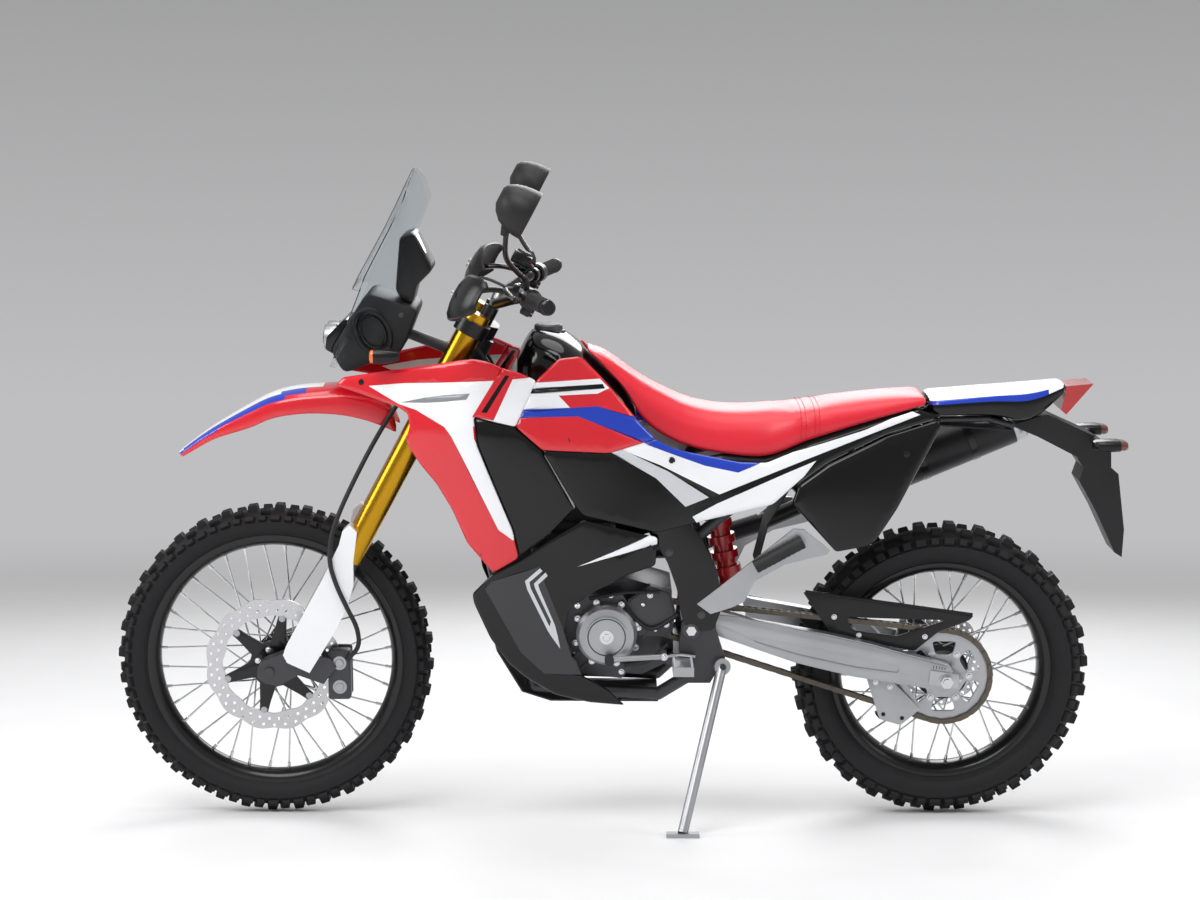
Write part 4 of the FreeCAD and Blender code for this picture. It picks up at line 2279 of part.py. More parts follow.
def stand_geometry(ground):
    """Where the side stand turns and points: pivot, direction at rest, folded direction, axis."""
    lean_angle = math.radians(float(cells.lean_degrees))
    pivot = Vector(
        float(base) * stand_pivot_shares[0], -float(cells.stand_pivot_place), float(base) * stand_pivot_shares[1]
    )
    length = float(cells.stand_length)
    rise = float(cells.stand_foot_thickness)
    swept = length * STAND_SWEEP_SHARE
    down = Vector(0, -math.sin(lean_angle), -math.cos(lean_angle))
    out = Vector(0, -math.cos(lean_angle), math.sin(lean_angle))
    height = pivot.y * math.sin(lean_angle) + pivot.z * math.cos(lean_angle) - ground - rise
    spread = math.sqrt(length ** 2 - height ** 2 - swept ** 2)
    rest = (Vector(-swept, 0, 0) + down * height + out * spread).normalize()
    folded = Vector(*STAND_FOLDED).normalize()
    change = (folded - rest).normalize()
    axis = Vector(0, -1, 0)
    axis = (axis - change * axis.dot(change)).normalize()
    rest_flat = rest - axis * rest.dot(axis)
    folded_flat = folded - axis * folded.dot(axis)
    angle = math.degrees(rest_flat.getAngle(folded_flat))
    return pivot, rest, folded, axis, angle


STAND_SWEEP_SHARE = 0.24
STAND_FOLDED = (0.99, -0.045, 0.135)


def make_stand(ground):
    """The side stand, down on the ground."""
    lean_angle = math.radians(float(cells.lean_degrees))
    pivot, rest, folded, axis, angle = stand_geometry(ground)
    foot = pivot + rest * float(cells.stand_length)
    leg = rod("stand_leg", pivot, foot, cells.stand_radius)
    half = float(cells.stand_radius) * 0.6
    boss = rod("stand_boss", pivot - axis * half, pivot + axis * half, cells.stand_radius * 1.6)
    bore = rod("stand_bore", pivot - axis * half * 3, pivot + axis * half * 3, cells.stand_radius * 0.6 + cells.running_gap)
    pad_box = Part.makeBox(
        float(cells.stand_foot_length),
        float(cells.stand_foot_width),
        float(cells.stand_foot_thickness),
        Vector(-float(cells.stand_foot_length) / 2, -float(cells.stand_foot_width) / 2, -float(cells.stand_foot_thickness)),
    )
    pad_box.rotate(Vector(), Vector(1, 0, 0), -math.degrees(lean_angle))
    pad_box.translate(foot)
    foot_pad = solid_feature("stand_foot", pad_box)
    node(cut("side_stand", joined("side_stand_solid", [leg, boss, foot_pad]), bore), "side_stand")
    return pivot, axis, angle


def lowest(name):
    """The lowest point of a node once the bike leans."""
    for feature, label, frame in nodes:
        if label == name:
            shape = feature.Shape.copy()
            shape.Placement = lean.multiply(frame).multiply(shape.Placement)
            return shape.optimalBoundingBox(False).ZMin


lean = Placement(Vector(), Rotation(Vector(1, 0, 0), float(cells.lean_degrees)))
make_wheels()
document.recompute()
ground_height = (lowest("front_tyre") + lowest("rear_tyre")) / 2
make_chain()
make_fender()
make_fork()
make_bar()
make_frame()
make_subframe()
make_mudguard()
make_engine()
make_radiator()
make_skid_plate()
make_panels()
make_rear()
make_front()
make_swingarm()
make_exhaust()
make_foot_controls()
document.recompute()


def check_pieces():
    """Stops with a plain message where a feature failed or a node's shape isn't sound."""
    problems = []
    for item in document.Objects:
        if "Invalid" in item.State or "Error" in item.State:
            problems.append(f"{item.Label}: {item.State}")
    for feature, label, frame in nodes:
        shape = feature.Shape
        if shape.isNull() or not shape.isValid() or shape.Volume <= 0:
            problems.append(f"{label}: shape null, invalid or empty")
    if problems:
        raise RuntimeError("\n".join(problems))


check_pieces()

# The stand, then the lean and the origin

stand_pivot, stand_axis, stand_angle = make_stand(ground_height)
document.recompute()

whole_box = None
for feature, label, frame in nodes:
    feature.Placement = lean.multiply(frame).multiply(feature.Placement)
document.recompute()
for feature, label, frame in nodes:
    box = feature.Shape.optimalBoundingBox(False)
    if whole_box is None:
        whole_box = box
    else:
        whole_box.add(box)
shift = Vector(-(whole_box.XMin + whole_box.XMax) / 2, -(whole_box.YMin + whole_box.YMax) / 2, -whole_box.ZMin)
stored = Placement(shift, Rotation()).multiply(lean)
for feature, label, frame in nodes:
    feature.Placement = Placement(shift, Rotation()).multiply(feature.Placement)
document.recompute()


def told(name, point, direction):
    """Prints a joint's anchor in metres and its axis, both where the stored part has them."""
    place = stored.multVec(point)
    pointing = stored.Rotation.multVec(direction).normalize()
    print(
        f"{name} pos_m [{place.x / 1000:.6f}, {place.y / 1000:.6f}, {place.z / 1000:.6f}]"
        f" axis [{pointing.x:.7f}, {pointing.y:.7f}, {pointing.z:.7f}]"
    )


told("steering", steering.multVec(Vector(0, 0, float(cells.head_tube_foot))), steering.Rotation.multVec(Vector(0, 0, 1)))
told("front_wheel", front_axle.Base, Vector(0, 1, 0))
told("rear_wheel", rear_axle.Base, Vector(0, 1, 0))
told("side_stand", stand_pivot, stand_axis)
told("plate_face", *plate_face())
print(f"side stand folds {stand_angle:.2f} degrees")
print(f"size {whole_box.XLength:.1f} {whole_box.YLength:.1f} {whole_box.ZLength:.1f} ground {ground_height:.2f}")

# Every feature is checked before anything is written

check_pieces()
for feature, label, frame in nodes:
    feature.Shape.exportStep(f"parts/{label}.step")
    print(f"{label} solids {len(feature.Shape.Solids)} volume {feature.Shape.Volume / 1000:.1f} cm3")
print(f"{len(nodes)} nodes")
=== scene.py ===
import json
import math

import bmesh
import bpy
from mathutils import Matrix, Vector
from mathutils.geometry import delaunay_2d_cdt


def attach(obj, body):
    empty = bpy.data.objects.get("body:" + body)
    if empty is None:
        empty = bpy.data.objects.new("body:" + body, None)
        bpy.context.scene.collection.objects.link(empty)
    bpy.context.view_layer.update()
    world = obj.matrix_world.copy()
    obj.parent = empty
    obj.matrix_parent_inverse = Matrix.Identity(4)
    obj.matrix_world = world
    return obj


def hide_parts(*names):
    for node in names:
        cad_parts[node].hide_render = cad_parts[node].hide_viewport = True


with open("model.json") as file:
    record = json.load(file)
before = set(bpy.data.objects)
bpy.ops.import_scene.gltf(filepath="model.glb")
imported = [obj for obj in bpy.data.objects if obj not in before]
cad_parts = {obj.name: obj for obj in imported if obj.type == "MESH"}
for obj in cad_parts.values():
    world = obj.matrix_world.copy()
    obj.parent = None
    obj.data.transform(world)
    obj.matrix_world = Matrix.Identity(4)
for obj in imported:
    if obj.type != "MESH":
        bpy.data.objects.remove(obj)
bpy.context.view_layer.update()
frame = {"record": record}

# Driving sizes, in millimetres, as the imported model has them

BASE = 1455.0
FRONT_AXLE_HEIGHT = 345.0
REAR_AXLE_HEIGHT = 324.0
RAKE = math.radians(28.1)
FORK_OFFSET = 62.0
FORK_LENGTH = 895.0
CHAIN_LINE = 78.0
CHAIN_PITCH = 15.875
CHAIN_LINKS = 106
REAR_TEETH = 40
FRONT_TEETH = 14
MUFFLER_PLACE = 168.0
MUFFLER_RADIUS = 52.0
PIPE_RADIUS = 19.0
PIPE_ROOM = 6.0
MM = 0.001

# The photograph's scale: millimetres a pixel in the centre plane, and where that plane's origin lies

PIXEL = 2.221
PHOTO_ZERO = (607.85, 809.5)
PHOTO_EYE = (-17.0, 909.0)
PHOTO_DISTANCE = 5400.0

record = frame["record"]
joints = {joint["name"]: joint for joint in record["behaviour"]["joints"]}
spin = joints["rear_wheel_spin"]
LEAN = math.atan2(spin["axis"][2], spin["axis"][1])
lean = Matrix.Rotation(LEAN, 4, "X")
rear_in_bike = Vector((BASE * 0.5, 0, REAR_AXLE_HEIGHT)) * MM
origin = Vector(spin["pos_m"]) - lean @ rear_in_bike
BIKE = Matrix.Translation(origin) @ lean @ Matrix.Scale(MM, 4)
steering_foot = Vector((
    -BASE * 0.5 + FORK_OFFSET * math.cos(RAKE), 0, FRONT_AXLE_HEIGHT - FORK_OFFSET * math.sin(RAKE)
))
STEER = BIKE @ Matrix.Translation(steering_foot) @ Matrix.Rotation(RAKE, 4, "Y")
FRONT_WHEEL = BIKE @ Matrix.Translation(Vector((-BASE * 0.5, 0, FRONT_AXLE_HEIGHT)))
REAR_WHEEL = BIKE @ Matrix.Translation(Vector((BASE * 0.5, 0, REAR_AXLE_HEIGHT)))


# Materials


def rgb(red, green, blue):
    """A colour as it looks on a screen, turned into scene-linear values."""
    linear = []
    for value in (red, green, blue):
        value /= 255
        linear.append(value / 12.92 if value <= 0.04045 else ((value + 0.055) / 1.055) ** 2.4)
    return (*linear, 1.0)


def socket(shader, name, value):
    """Sets one of a shader's own sockets."""
    shader.inputs[name].default_value = value


def material(name, colour, rough=0.4, metal=0.0, coat=0.0, grain=0.0, scale=300.0, mottle=0.08, extra=()):
    """A procedural material: mottled colour and roughness with a fine grain in its surface."""
    made = bpy.data.materials.new(name)
    made.use_nodes = True
    nodes = made.node_tree.nodes
    links = made.node_tree.links
    shader = nodes["Principled BSDF"]
    place = nodes.new("ShaderNodeTexCoord")
    broad = nodes.new("ShaderNodeTexNoise")
    broad.inputs["Scale"].default_value = 6.0
    broad.inputs["Detail"].default_value = 5.0
    links.new(place.outputs["Object"], broad.inputs["Vector"])
    ramp = nodes.new("ShaderNodeValToRGB")
    ramp.color_ramp.elements[0].position = 0.3
    ramp.color_ramp.elements[1].position = 0.7
    ramp.color_ramp.elements[0].color = tuple(value * (1 - mottle) for value in colour[:3]) + (1,)
    ramp.color_ramp.elements[1].color = tuple(min(1, value * (1 + mottle)) for value in colour[:3]) + (1,)
    links.new(broad.outputs["Fac"], ramp.inputs["Fac"])
    links.new(ramp.outputs["Color"], shader.inputs["Base Color"])
    spread = nodes.new("ShaderNodeMapRange")
    spread.inputs["To Min"].default_value = max(0.02, rough * 0.8)
    spread.inputs["To Max"].default_value = min(1.0, rough * 1.2)
    links.new(broad.outputs["Fac"], spread.inputs["Value"])
    links.new(spread.outputs["Result"], shader.inputs["Roughness"])
    socket(shader, "Metallic", metal)
    socket(shader, "Coat Weight", coat)
    socket(shader, "Coat Roughness", 0.05)
    for key, value in extra:
        socket(shader, key, value)
    if grain:
        fine = nodes.new("ShaderNodeTexNoise")
        fine.inputs["Scale"].default_value = scale
        fine.inputs["Detail"].default_value = 3.0
        links.new(place.outputs["Object"], fine.inputs["Vector"])
        bump = nodes.new("ShaderNodeBump")
        bump.inputs["Strength"].default_value = grain
        bump.inputs["Distance"].default_value = 0.0005
        links.new(fine.outputs["Fac"], bump.inputs["Height"])
        links.new(bump.outputs["Normal"], shader.inputs["Normal"])
    return made


def leather(name, colour, rough):
    """Seat vinyl: a pebbled cell grain over a soft colour."""
    made = material(name, colour, rough, mottle=0.05)
    nodes = made.node_tree.nodes
    links = made.node_tree.links
    shader = nodes["Principled BSDF"]
    place = nodes["Texture Coordinate"]
    cells = nodes.new("ShaderNodeTexVoronoi")
    cells.inputs["Scale"].default_value = 420.0
    links.new(place.outputs["Object"], cells.inputs["Vector"])
    bump = nodes.new("ShaderNodeBump")
    bump.inputs["Strength"].default_value = 0.35
    bump.inputs["Distance"].default_value = 0.0006
    links.new(cells.outputs["Distance"], bump.inputs["Height"])
    links.new(bump.outputs["Normal"], shader.inputs["Normal"])
    return made


def brushed(name, colour, rough, scale=(400.0, 12.0, 400.0)):
    """Drawn metal: fine lines along one direction."""
    made = material(name, colour, rough, metal=1.0, mottle=0.06)
    nodes = made.node_tree.nodes
    links = made.node_tree.links
    shader = nodes["Principled BSDF"]
    place = nodes["Texture Coordinate"]
    stretch = nodes.new("ShaderNodeMapping")
    stretch.inputs["Scale"].default_value = scale
    links.new(place.outputs["Object"], stretch.inputs["Vector"])
    lines = nodes.new("ShaderNodeTexNoise")
    lines.inputs["Scale"].default_value = 1.0
    lines.inputs["Detail"].default_value = 2.0
    links.new(stretch.outputs["Vector"], lines.inputs["Vector"])
    bump = nodes.new("ShaderNodeBump")
    bump.inputs["Strength"].default_value = 0.25
    bump.inputs["Distance"].default_value = 0.0003
    links.new(lines.outputs["Fac"], bump.inputs["Height"])
    links.new(bump.outputs["Normal"], shader.inputs["Normal"])
    return made


RED = material("red_gloss", rgb(206, 14, 32), 0.22, coat=0.6, mottle=0.03)
WHITE = material("white_gloss", rgb(232, 233, 236), 0.25, coat=0.5, mottle=0.02)
BLUE = material("blue_gloss", rgb(8, 52, 172), 0.25, coat=0.5, mottle=0.03)
GREY = material("grey_film", rgb(128, 131, 136), 0.3, coat=0.4, mottle=0.03)
PALE_GREY = material("pale_grey_film", rgb(196, 198, 202), 0.3, coat=0.4, mottle=0.02)
BLACK = material(
    "black_gloss", rgb(7, 7, 9), 0.12, coat=0.2, mottle=0.15, extra=(("Specular IOR Level", 0.3),)
)
MATT = material(
    "black_matt", rgb(22, 22, 24), 0.5, grain=0.25, scale=900, mottle=0.15,
    extra=(("Specular IOR Level", 0.35),)
)
DARK = material("dark_grey_matt", rgb(47, 47, 50), 0.5, grain=0.3, scale=900, mottle=0.12)
SMOOTH_BLACK = material(
    "black_satin", rgb(14, 14, 16), 0.3, grain=0.08, scale=600, mottle=0.15,
    extra=(("Specular IOR Level", 0.35),)
)
RUBBER = material(
    "tyre_rubber", rgb(26, 26, 28), 0.7, grain=0.5, scale=500, mottle=0.2,
    extra=(("Specular IOR Level", 0.3),)
)
SOFT_RUBBER = material("grip_rubber", rgb(26, 26, 28), 0.65, grain=0.4, scale=700, mottle=0.2)
GOLD = material("gold_anodised", rgb(186, 140, 34), 0.26, metal=1.0, grain=0.05, scale=400, mottle=0.06)
SILVER = material("silver_cast", rgb(168, 169, 172), 0.38, metal=0.9, grain=0.18, scale=700, mottle=0.08)
CAST_DARK = material("dark_cast", rgb(74, 74, 77), 0.45, metal=0.7, grain=0.3, scale=600, mottle=0.12)
CHROME = material("bright_steel", rgb(205, 206, 208), 0.16, metal=1.0, grain=0.03, scale=300, mottle=0.05)
STEEL = brushed("brushed_steel", rgb(178, 179, 182), 0.3)
DISC = brushed("disc_steel", rgb(190, 190, 192), 0.28, scale=(260.0, 260.0, 260.0))
CHAIN_METAL = material("chain_metal", rgb(92, 86, 78), 0.42, metal=0.9, grain=0.2, scale=900, mottle=0.2)
FRAME_PAINT = material("frame_paint", rgb(38, 38, 41), 0.42, coat=0.15, grain=0.15, scale=700, mottle=0.1)
BLACK_METAL = material("black_metal", rgb(18, 18, 20), 0.3, metal=0.4, coat=0.2, grain=0.05, mottle=0.12)
EXHAUST = material("exhaust_black", rgb(33, 33, 35), 0.4, metal=0.5, grain=0.3, scale=900, mottle=0.12)
LAMP_RED = material("lamp_red", rgb(168, 6, 14), 0.12, coat=0.8, mottle=0.06)
LAMP_AMBER = material("lamp_amber", rgb(235, 105, 12), 0.12, coat=0.8, mottle=0.06)
SPRING_RED = material("spring_red", rgb(176, 16, 24), 0.3, coat=0.4, mottle=0.06)
SEAT_RED = leather("seat_red", rgb(212, 26, 46), 0.36)
THREAD = material("thread", rgb(120, 12, 24), 0.7, grain=0.6, scale=1500, mottle=0.2)
REFLECTOR = material("lamp_reflector", rgb(225, 226, 228), 0.08, metal=1.0, mottle=0.03)
MIRROR_GLASS = material("mirror_glass", rgb(214, 218, 222), 0.03, metal=1.0, mottle=0.02)


def clear(name, colour, rough, ior=1.45):
    """Clear moulded plastic, with faint wear in its gloss."""
    made = material(name, colour, rough, mottle=0.02)
    shader = made.node_tree.nodes["Principled BSDF"]
    socket(shader, "Transmission Weight", 1.0)
    socket(shader, "IOR", ior)
    return made


SCREEN = clear("screen_clear", rgb(240, 244, 246), 0.03, ior=1.1)
LENS = clear("lens_clear", rgb(236, 240, 244), 0.02, ior=1.25)


# Ways of making meshes. Outlines are pairs of X and Z in a frame, in millimetres.


def smooth_shading(mesh, angle=35):
    """Smooth shading with sharp edges past an angle."""
    mesh.shade_smooth()
    mesh.set_sharp_from_angle(angle=math.radians(angle))


def piece(name, verts, faces, mats, where=BIKE, face_mats=None, angle=35):
    """A new object from points in a frame, its place kept in its mesh."""
    mesh = bpy.data.meshes.new(name)
    mesh.from_pydata([tuple(where @ Vector(point)) for point in verts], [], faces)
    if not isinstance(mats, (list, tuple)):
        mats = [mats]
    for one in mats:
        mesh.materials.append(one)
    if face_mats:
        for polygon, index in zip(mesh.polygons, face_mats):
            polygon.material_index = index
    work = bmesh.new()
    work.from_mesh(mesh)
    bmesh.ops.remove_doubles(work, verts=work.verts, dist=1e-6)
    bmesh.ops.recalc_face_normals(work, faces=work.faces)
    work.to_mesh(mesh)
    work.free()
    smooth_shading(mesh, angle)
    made = bpy.data.objects.new(name, mesh)
    bpy.context.scene.collection.objects.link(made)
    return made


def rides(made, body, slot, *nodes):
    """Puts a piece on its body, in place of the nodes that it stands for; the slot is not used."""
    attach(made, body)
    if nodes:
        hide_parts(*nodes)
    return made


def bevelled(made, width=1.5, segments=2, angle=40):
    """Rounds the sharp edges of a piece."""
    change = made.modifiers.new("edges", "BEVEL")
    change.width = width * MM
    change.segments = segments
    change.limit_method = "ANGLE"
    change.angle_limit = math.radians(angle)
    change.harden_normals = False
    return made


def subdivided(made, levels=2):
    """Rounds a coarse mesh."""
    change = made.modifiers.new("form", "SUBSURF")
    change.levels = levels
    change.render_levels = levels
    return made


def joined(name, made, body, slot, *nodes):
    """Joins several pieces into one object."""
    verts, faces, face_mats, mats = [], [], [], []
    graph = bpy.context.evaluated_depsgraph_get()
    for one in made:
        graph.update()
        shape = one.evaluated_get(graph)
        mesh = shape.to_mesh()
        start = len(verts)
        verts += [tuple(vertex.co) for vertex in mesh.vertices]
        own = []
        for item in one.data.materials:
            if item not in mats:
                mats.append(item)
            own.append(mats.index(item))
        for polygon in mesh.polygons:
            faces.append([start + index for index in polygon.vertices])
            face_mats.append(own[polygon.material_index] if own else 0)
        shape.to_mesh_clear()
    for one in made:
        mesh = one.data
        bpy.data.objects.remove(one)
        bpy.data.meshes.remove(mesh)
    mesh = bpy.data.meshes.new(name)
    mesh.from_pydata(verts, [], faces)
    for item in mats:
        mesh.materials.append(item)
    for polygon, index in zip(mesh.polygons, face_mats):
        polygon.material_index = index
    smooth_shading(mesh, 35)
    whole = bpy.data.objects.new(name, mesh)
    bpy.context.scene.collection.objects.link(whole)
    return rides(whole, body, slot, *nodes)


def turned_left(loop):
    """A loop of points in the order that has its inside on the left."""
    area = sum(a[0] * b[1] - b[0] * a[1] for a, b in zip(loop, list(loop[1:]) + [loop[0]]))
    return list(loop) if area > 0 else list(loop)[::-1]


def flat_triangles(outline, holes=(), extra=()):
    """Triangles inside an outline and outside its holes: points, triangles and their regions."""
    points = [Vector(point[:2]) for point in turned_left(outline)]
    loops = [list(range(len(points)))]
    for hole in holes:
        start = len(points)
        points += [Vector(point[:2]) for point in turned_left(hole)]
        loops.append(list(range(start, len(points))))
    points += [Vector(point[:2]) for point in extra]
    found, _, faces, _, _, origins = delaunay_2d_cdt(points, [], loops, 0, 1e-4)
    kept = []
    tags = []
    for face, origin_loops in zip(faces, origins):
        if 0 in origin_loops:
            kept.append(list(face))
            tags.append(max(origin_loops))
    return found, kept, tags


def plate(name, outline, low, high, mats, where=BIKE, holes=(), bevel=1.2):
    """A plate between two distances along Y, with holes and rounded edges."""
    found, faces, tags = flat_triangles(outline, holes)
    faces = [face for face, tag in zip(faces, tags) if tag == 0]
    count = len(found)
    verts = [(point.x, low, point.y) for point in found] + [(point.x, high, point.y) for point in found]
    solid = [face for face in faces] + [[index + count for index in face[::-1]] for face in faces]
    rims = {}
    for face in faces:
        for first, second in zip(face, face[1:] + face[:1]):
            rims[(first, second)] = rims.get((first, second), 0) + 1
    for first, second in rims:
        if (second, first) not in rims:
            solid.append([second, first, first + count, second + count])
    made = piece(name, verts, solid, mats, where)
    work = bmesh.new()
    work.from_mesh(made.data)
    bmesh.ops.dissolve_limit(work, angle_limit=0.01, verts=work.verts, edges=work.edges)
    work.to_mesh(made.data)
    work.free()
    smooth_shading(made.data, 35)
    if bevel:
        bevelled(made, bevel)
    return made


def ring_points(radius, count, centre=(0, 0), start=0.0):
    """Points of a circle in a side view."""
    return [
        (
            centre[0] + radius * math.cos(start + 2 * math.pi * step / count),
            centre[1] + radius * math.sin(start + 2 * math.pi * step / count),
        )
        for step in range(count)
    ]


def lathe(name, profile, mats, where, centre=(0, 0, 0), count=64, closed=False, axis="Y", angle=35):
    """A turned shape about Y through a centre: pairs of radius and place along Y."""
    verts, faces = [], []
    rows = len(profile)
    for step in range(count):
        turn = 2 * math.pi * step / count
        for radius, along in profile:
            if axis == "Y":
                point = (radius * math.cos(turn), along, radius * math.sin(turn))
            elif axis == "Z":
                point = (radius * math.cos(turn), radius * math.sin(turn), along)
            else:
                point = (along, radius * math.cos(turn), radius * math.sin(turn))
            verts.append(tuple(Vector(point) + Vector(centre)))
    for step in range(count):
        after = (step + 1) % count
        for row in range(rows if closed else rows - 1):
            following = (row + 1) % rows
            faces.append(
                [step * rows + row, after * rows + row, after * rows + following, step * rows + following]
            )
    return piece(name, verts, faces, mats, where, angle=angle)


def tube(name, points, radius, mats, where=BIKE, sides=12, smooth=True, radii=None, caps=True):
    """A round bar along a line of points, smoothed where asked."""
    line = [Vector(point) for point in points]
    if smooth and len(line) > 2:
        line = curve_through(line, 6)
    steps = len(line)
    verts, faces = [], []
    side = None
    for index, point in enumerate(line):
        before = line[max(index - 1, 0)]
        after = line[min(index + 1, steps - 1)]
        along = (after - before).normalized()
        if side is None:
            helper = Vector((0, 0, 1)) if abs(along.z) < 0.9 else Vector((1, 0, 0))
            side = along.cross(helper).normalized()
        else:
            side = (side - along * side.dot(along)).normalized()
        other = along.cross(side)
        here = radius
        if radii:
            share = index / (steps - 1) * (len(radii) - 1)
            low = min(int(share), len(radii) - 2)
            here = radii[low] + (radii[low + 1] - radii[low]) * (share - low)
        for turn in range(sides):
            angle = 2 * math.pi * turn / sides
            verts.append(point + side * here * math.cos(angle) + other * here * math.sin(angle))
    for index in range(steps - 1):
        for turn in range(sides):
            nxt = (turn + 1) % sides
            faces.append([
                index * sides + turn, index * sides + nxt, (index + 1) * sides + nxt,
                (index + 1) * sides + turn
            ])
    if caps:
        faces.append(list(range(sides))[::-1])
        faces.append([(steps - 1) * sides + turn for turn in range(sides)])
    return piece(name, verts, faces, mats, where, angle=50)


def curve_through(points, steps):
    """Points along a smooth line through the given ones."""
    line = []
    padded = [points[0] * 2 - points[1]] + list(points) + [points[-1] * 2 - points[-2]]
    for index in range(1, len(padded) - 2):
        a, b, c, d = padded[index - 1:index + 3]
        for step in range(steps):
            t = step / steps
            line.append(
                0.5 * (
                    2 * b + (c - a) * t + (
                        2 * a - 5 * b + 4 * c - d
                    ) * t ** 2 + (3 * b - a - 3 * c + d) * t ** 3
                )
            )
    line.append(points[-1])
    return line


def loft(name, rings, mats, where=BIKE, closed=True, caps=True, face_mats=None, angle=40):
    """A skin through rings with the same number of points."""
    count = len(rings[0])
    verts = [point for ring in rings for point in ring]
    faces = []
    for row in range(len(rings) - 1):
        for index in range(count if closed else count - 1):
            after = (index + 1) % count
            faces.append(
                [
                    row * count + index, row * count + after, (row + 1) * count + after,
                    (row + 1) * count + index
                ]
            )
    if caps:
        faces.append(list(range(count))[::-1])
        faces.append([(len(rings) - 1) * count + index for index in range(count)])
        if face_mats:
            face_mats = face_mats + [face_mats[0], face_mats[-1]]
    return piece(name, verts, faces, mats, where, face_mats=face_mats, angle=angle)


def mirrored_piece(name, source, where=BIKE):
    """The same piece on the other side of the centre plane, in the frame it was made in."""
    back = where.inverted()
    mesh = source.data.copy()
    for vertex in mesh.vertices:
        local = back @ vertex.co
        local.y = -local.y
        vertex.co = where @ local
    mesh.flip_normals()
    made = bpy.data.objects.new(name, mesh)
    bpy.context.scene.collection.objects.link(made)
    for change in source.modifiers:
        copy = made.modifiers.new(change.name, change.type)
        for key in (
            "width", "segments", "limit_method", "angle_limit", "levels", "render_levels", "thickness",
            "offset"
        ):
            if hasattr(change, key):
                setattr(copy, key, getattr(change, key))
    return made


def hex_bolt(where, place, radius=5.0, tall=4.0, out=(0, -1, 0), mat=None):
    """A hexagon bolt head with its washer."""
    out = Vector(out).normalized()
    helper = Vector((0, 0, 1)) if abs(out.z) < 0.9 else Vector((1, 0, 0))
    side = out.cross(helper).normalized()
    other = out.cross(side)
    verts, faces = [], []
    layers = ((1.35, 0.0, 12), (1.35, 0.25, 12), (1.0, 0.25, 6), (1.0, 0.85, 6), (0.8, 1.0, 6))
    count = 12
    for share, height, corners in layers:
        for step in range(count):
            angle = 2 * math.pi * (step if corners == 12 else 2 * (step // 2)) / count
            verts.append(
                Vector(place) + out * tall * height + (
                    side * math.cos(angle) + other * math.sin(angle)
                ) * radius * share
            )
    for layer in range(len(layers) - 1):
        for step in range(count):
            after = (step + 1) % count
            faces.append([
                layer * count + step, layer * count + after, (layer + 1) * count + after,
                (layer + 1) * count + step
            ])
    faces.append([(len(layers) - 1) * count + step for step in range(count)])
    return piece("bolt", verts, faces, mat or CHROME, where)


def from_photo(pixels, depth):
    """Points of the photograph as X and Z in the bike's frame, at a depth on the near side."""
    near = 1 - depth / PHOTO_DISTANCE
    points = []
    for across, down in pixels:
        x = (across - PHOTO_ZERO[0]) * PIXEL
        z = (PHOTO_ZERO[1] - down) * PIXEL
        points.append((PHOTO_EYE[0] + (x - PHOTO_EYE[0]) * near, PHOTO_EYE[1] + (z - PHOTO_EYE[1]) * near))
    return points


def shares(table, size=BASE):
    """Pairs of shares as pairs of sizes."""
    return [(across * size, up * size) for across, up in table]


# The body's half width, by place along the bike and by height, as shares of the wheelbase

WIDTH_PLACES = (-0.42, -0.33, -0.25, -0.17, -0.10, 0.00, 0.10, 0.20, 0.30, 0.40, 0.50)
WIDTH_HEIGHTS = (0.17, 0.30, 0.40, 0.50, 0.60, 0.65, 0.73)
HALF_WIDTHS = (
    (0.070, 0.075, 0.080, 0.095, 0.105, 0.108, 0.104, 0.100, 0.098, 0.095, 0.090),
    (0.075, 0.085, 0.100, 0.120, 0.128, 0.128, 0.118, 0.108, 0.105, 0.100, 0.092),
    (0.080, 0.100, 0.118, 0.140, 0.142, 0.132, 0.114, 0.106, 0.106, 0.100, 0.092),
    (0.080, 0.110, 0.136, 0.156, 0.150, 0.124, 0.108, 0.104, 0.100, 0.092, 0.082),
    (0.078, 0.118, 0.148, 0.160, 0.148, 0.114, 0.092, 0.086, 0.084, 0.078, 0.068),
    (0.074, 0.112, 0.140, 0.148, 0.134, 0.102, 0.084, 0.080, 0.076, 0.068, 0.056),
    (0.066, 0.098, 0.122, 0.128, 0.112, 0.082, 0.072, 0.068, 0.062, 0.052, 0.042),
)


def eased(marks, values, at):
    """A smooth line through values at uneven marks."""
    last = len(marks) - 1
    index = 0
    while index < last - 1 and at > marks[index + 1]:
        index += 1
    span = marks[index + 1] - marks[index]
    t = min(max((at - marks[index]) / span, -0.5), 1.5)

    def slope(place):
        if place == 0:
            return (values[1] - values[0]) / (marks[1] - marks[0])
        if place == last:
            return (values[last] - values[last - 1]) / (marks[last] - marks[last - 1])
        return (values[place + 1] - values[place - 1]) / (marks[place + 1] - marks[place - 1])

    start, end = values[index], values[index + 1]
    first, second = slope(index) * span, slope(index + 1) * span
    return (
        (2 * t ** 3 - 3 * t ** 2 + 1) * start
        + (t ** 3 - 2 * t ** 2 + t) * first
        + (3 * t ** 2 - 2 * t ** 3) * end
        + (t ** 3 - t ** 2) * second
    )


def half_width(x, z):
    """The body's half width at a place in the side view."""
    rows = [eased(WIDTH_PLACES, row, x / BASE) for row in HALF_WIDTHS]
    return eased(WIDTH_HEIGHTS, rows, z / BASE) * BASE


EXHAUST_SHARES = (
    (-0.105, 0.005, 0.450),
    (-0.150, 0.030, 0.440),
    (-0.155, 0.080, 0.395),
    (-0.100, 0.112, 0.372),
    (0.100, 0.121, 0.376),
    (0.240, 0.122, 0.420),
    (0.420, 0.117, 0.500),
)
MUFFLER_SHARES = ((0.385, 0.484), (0.640, 0.590))


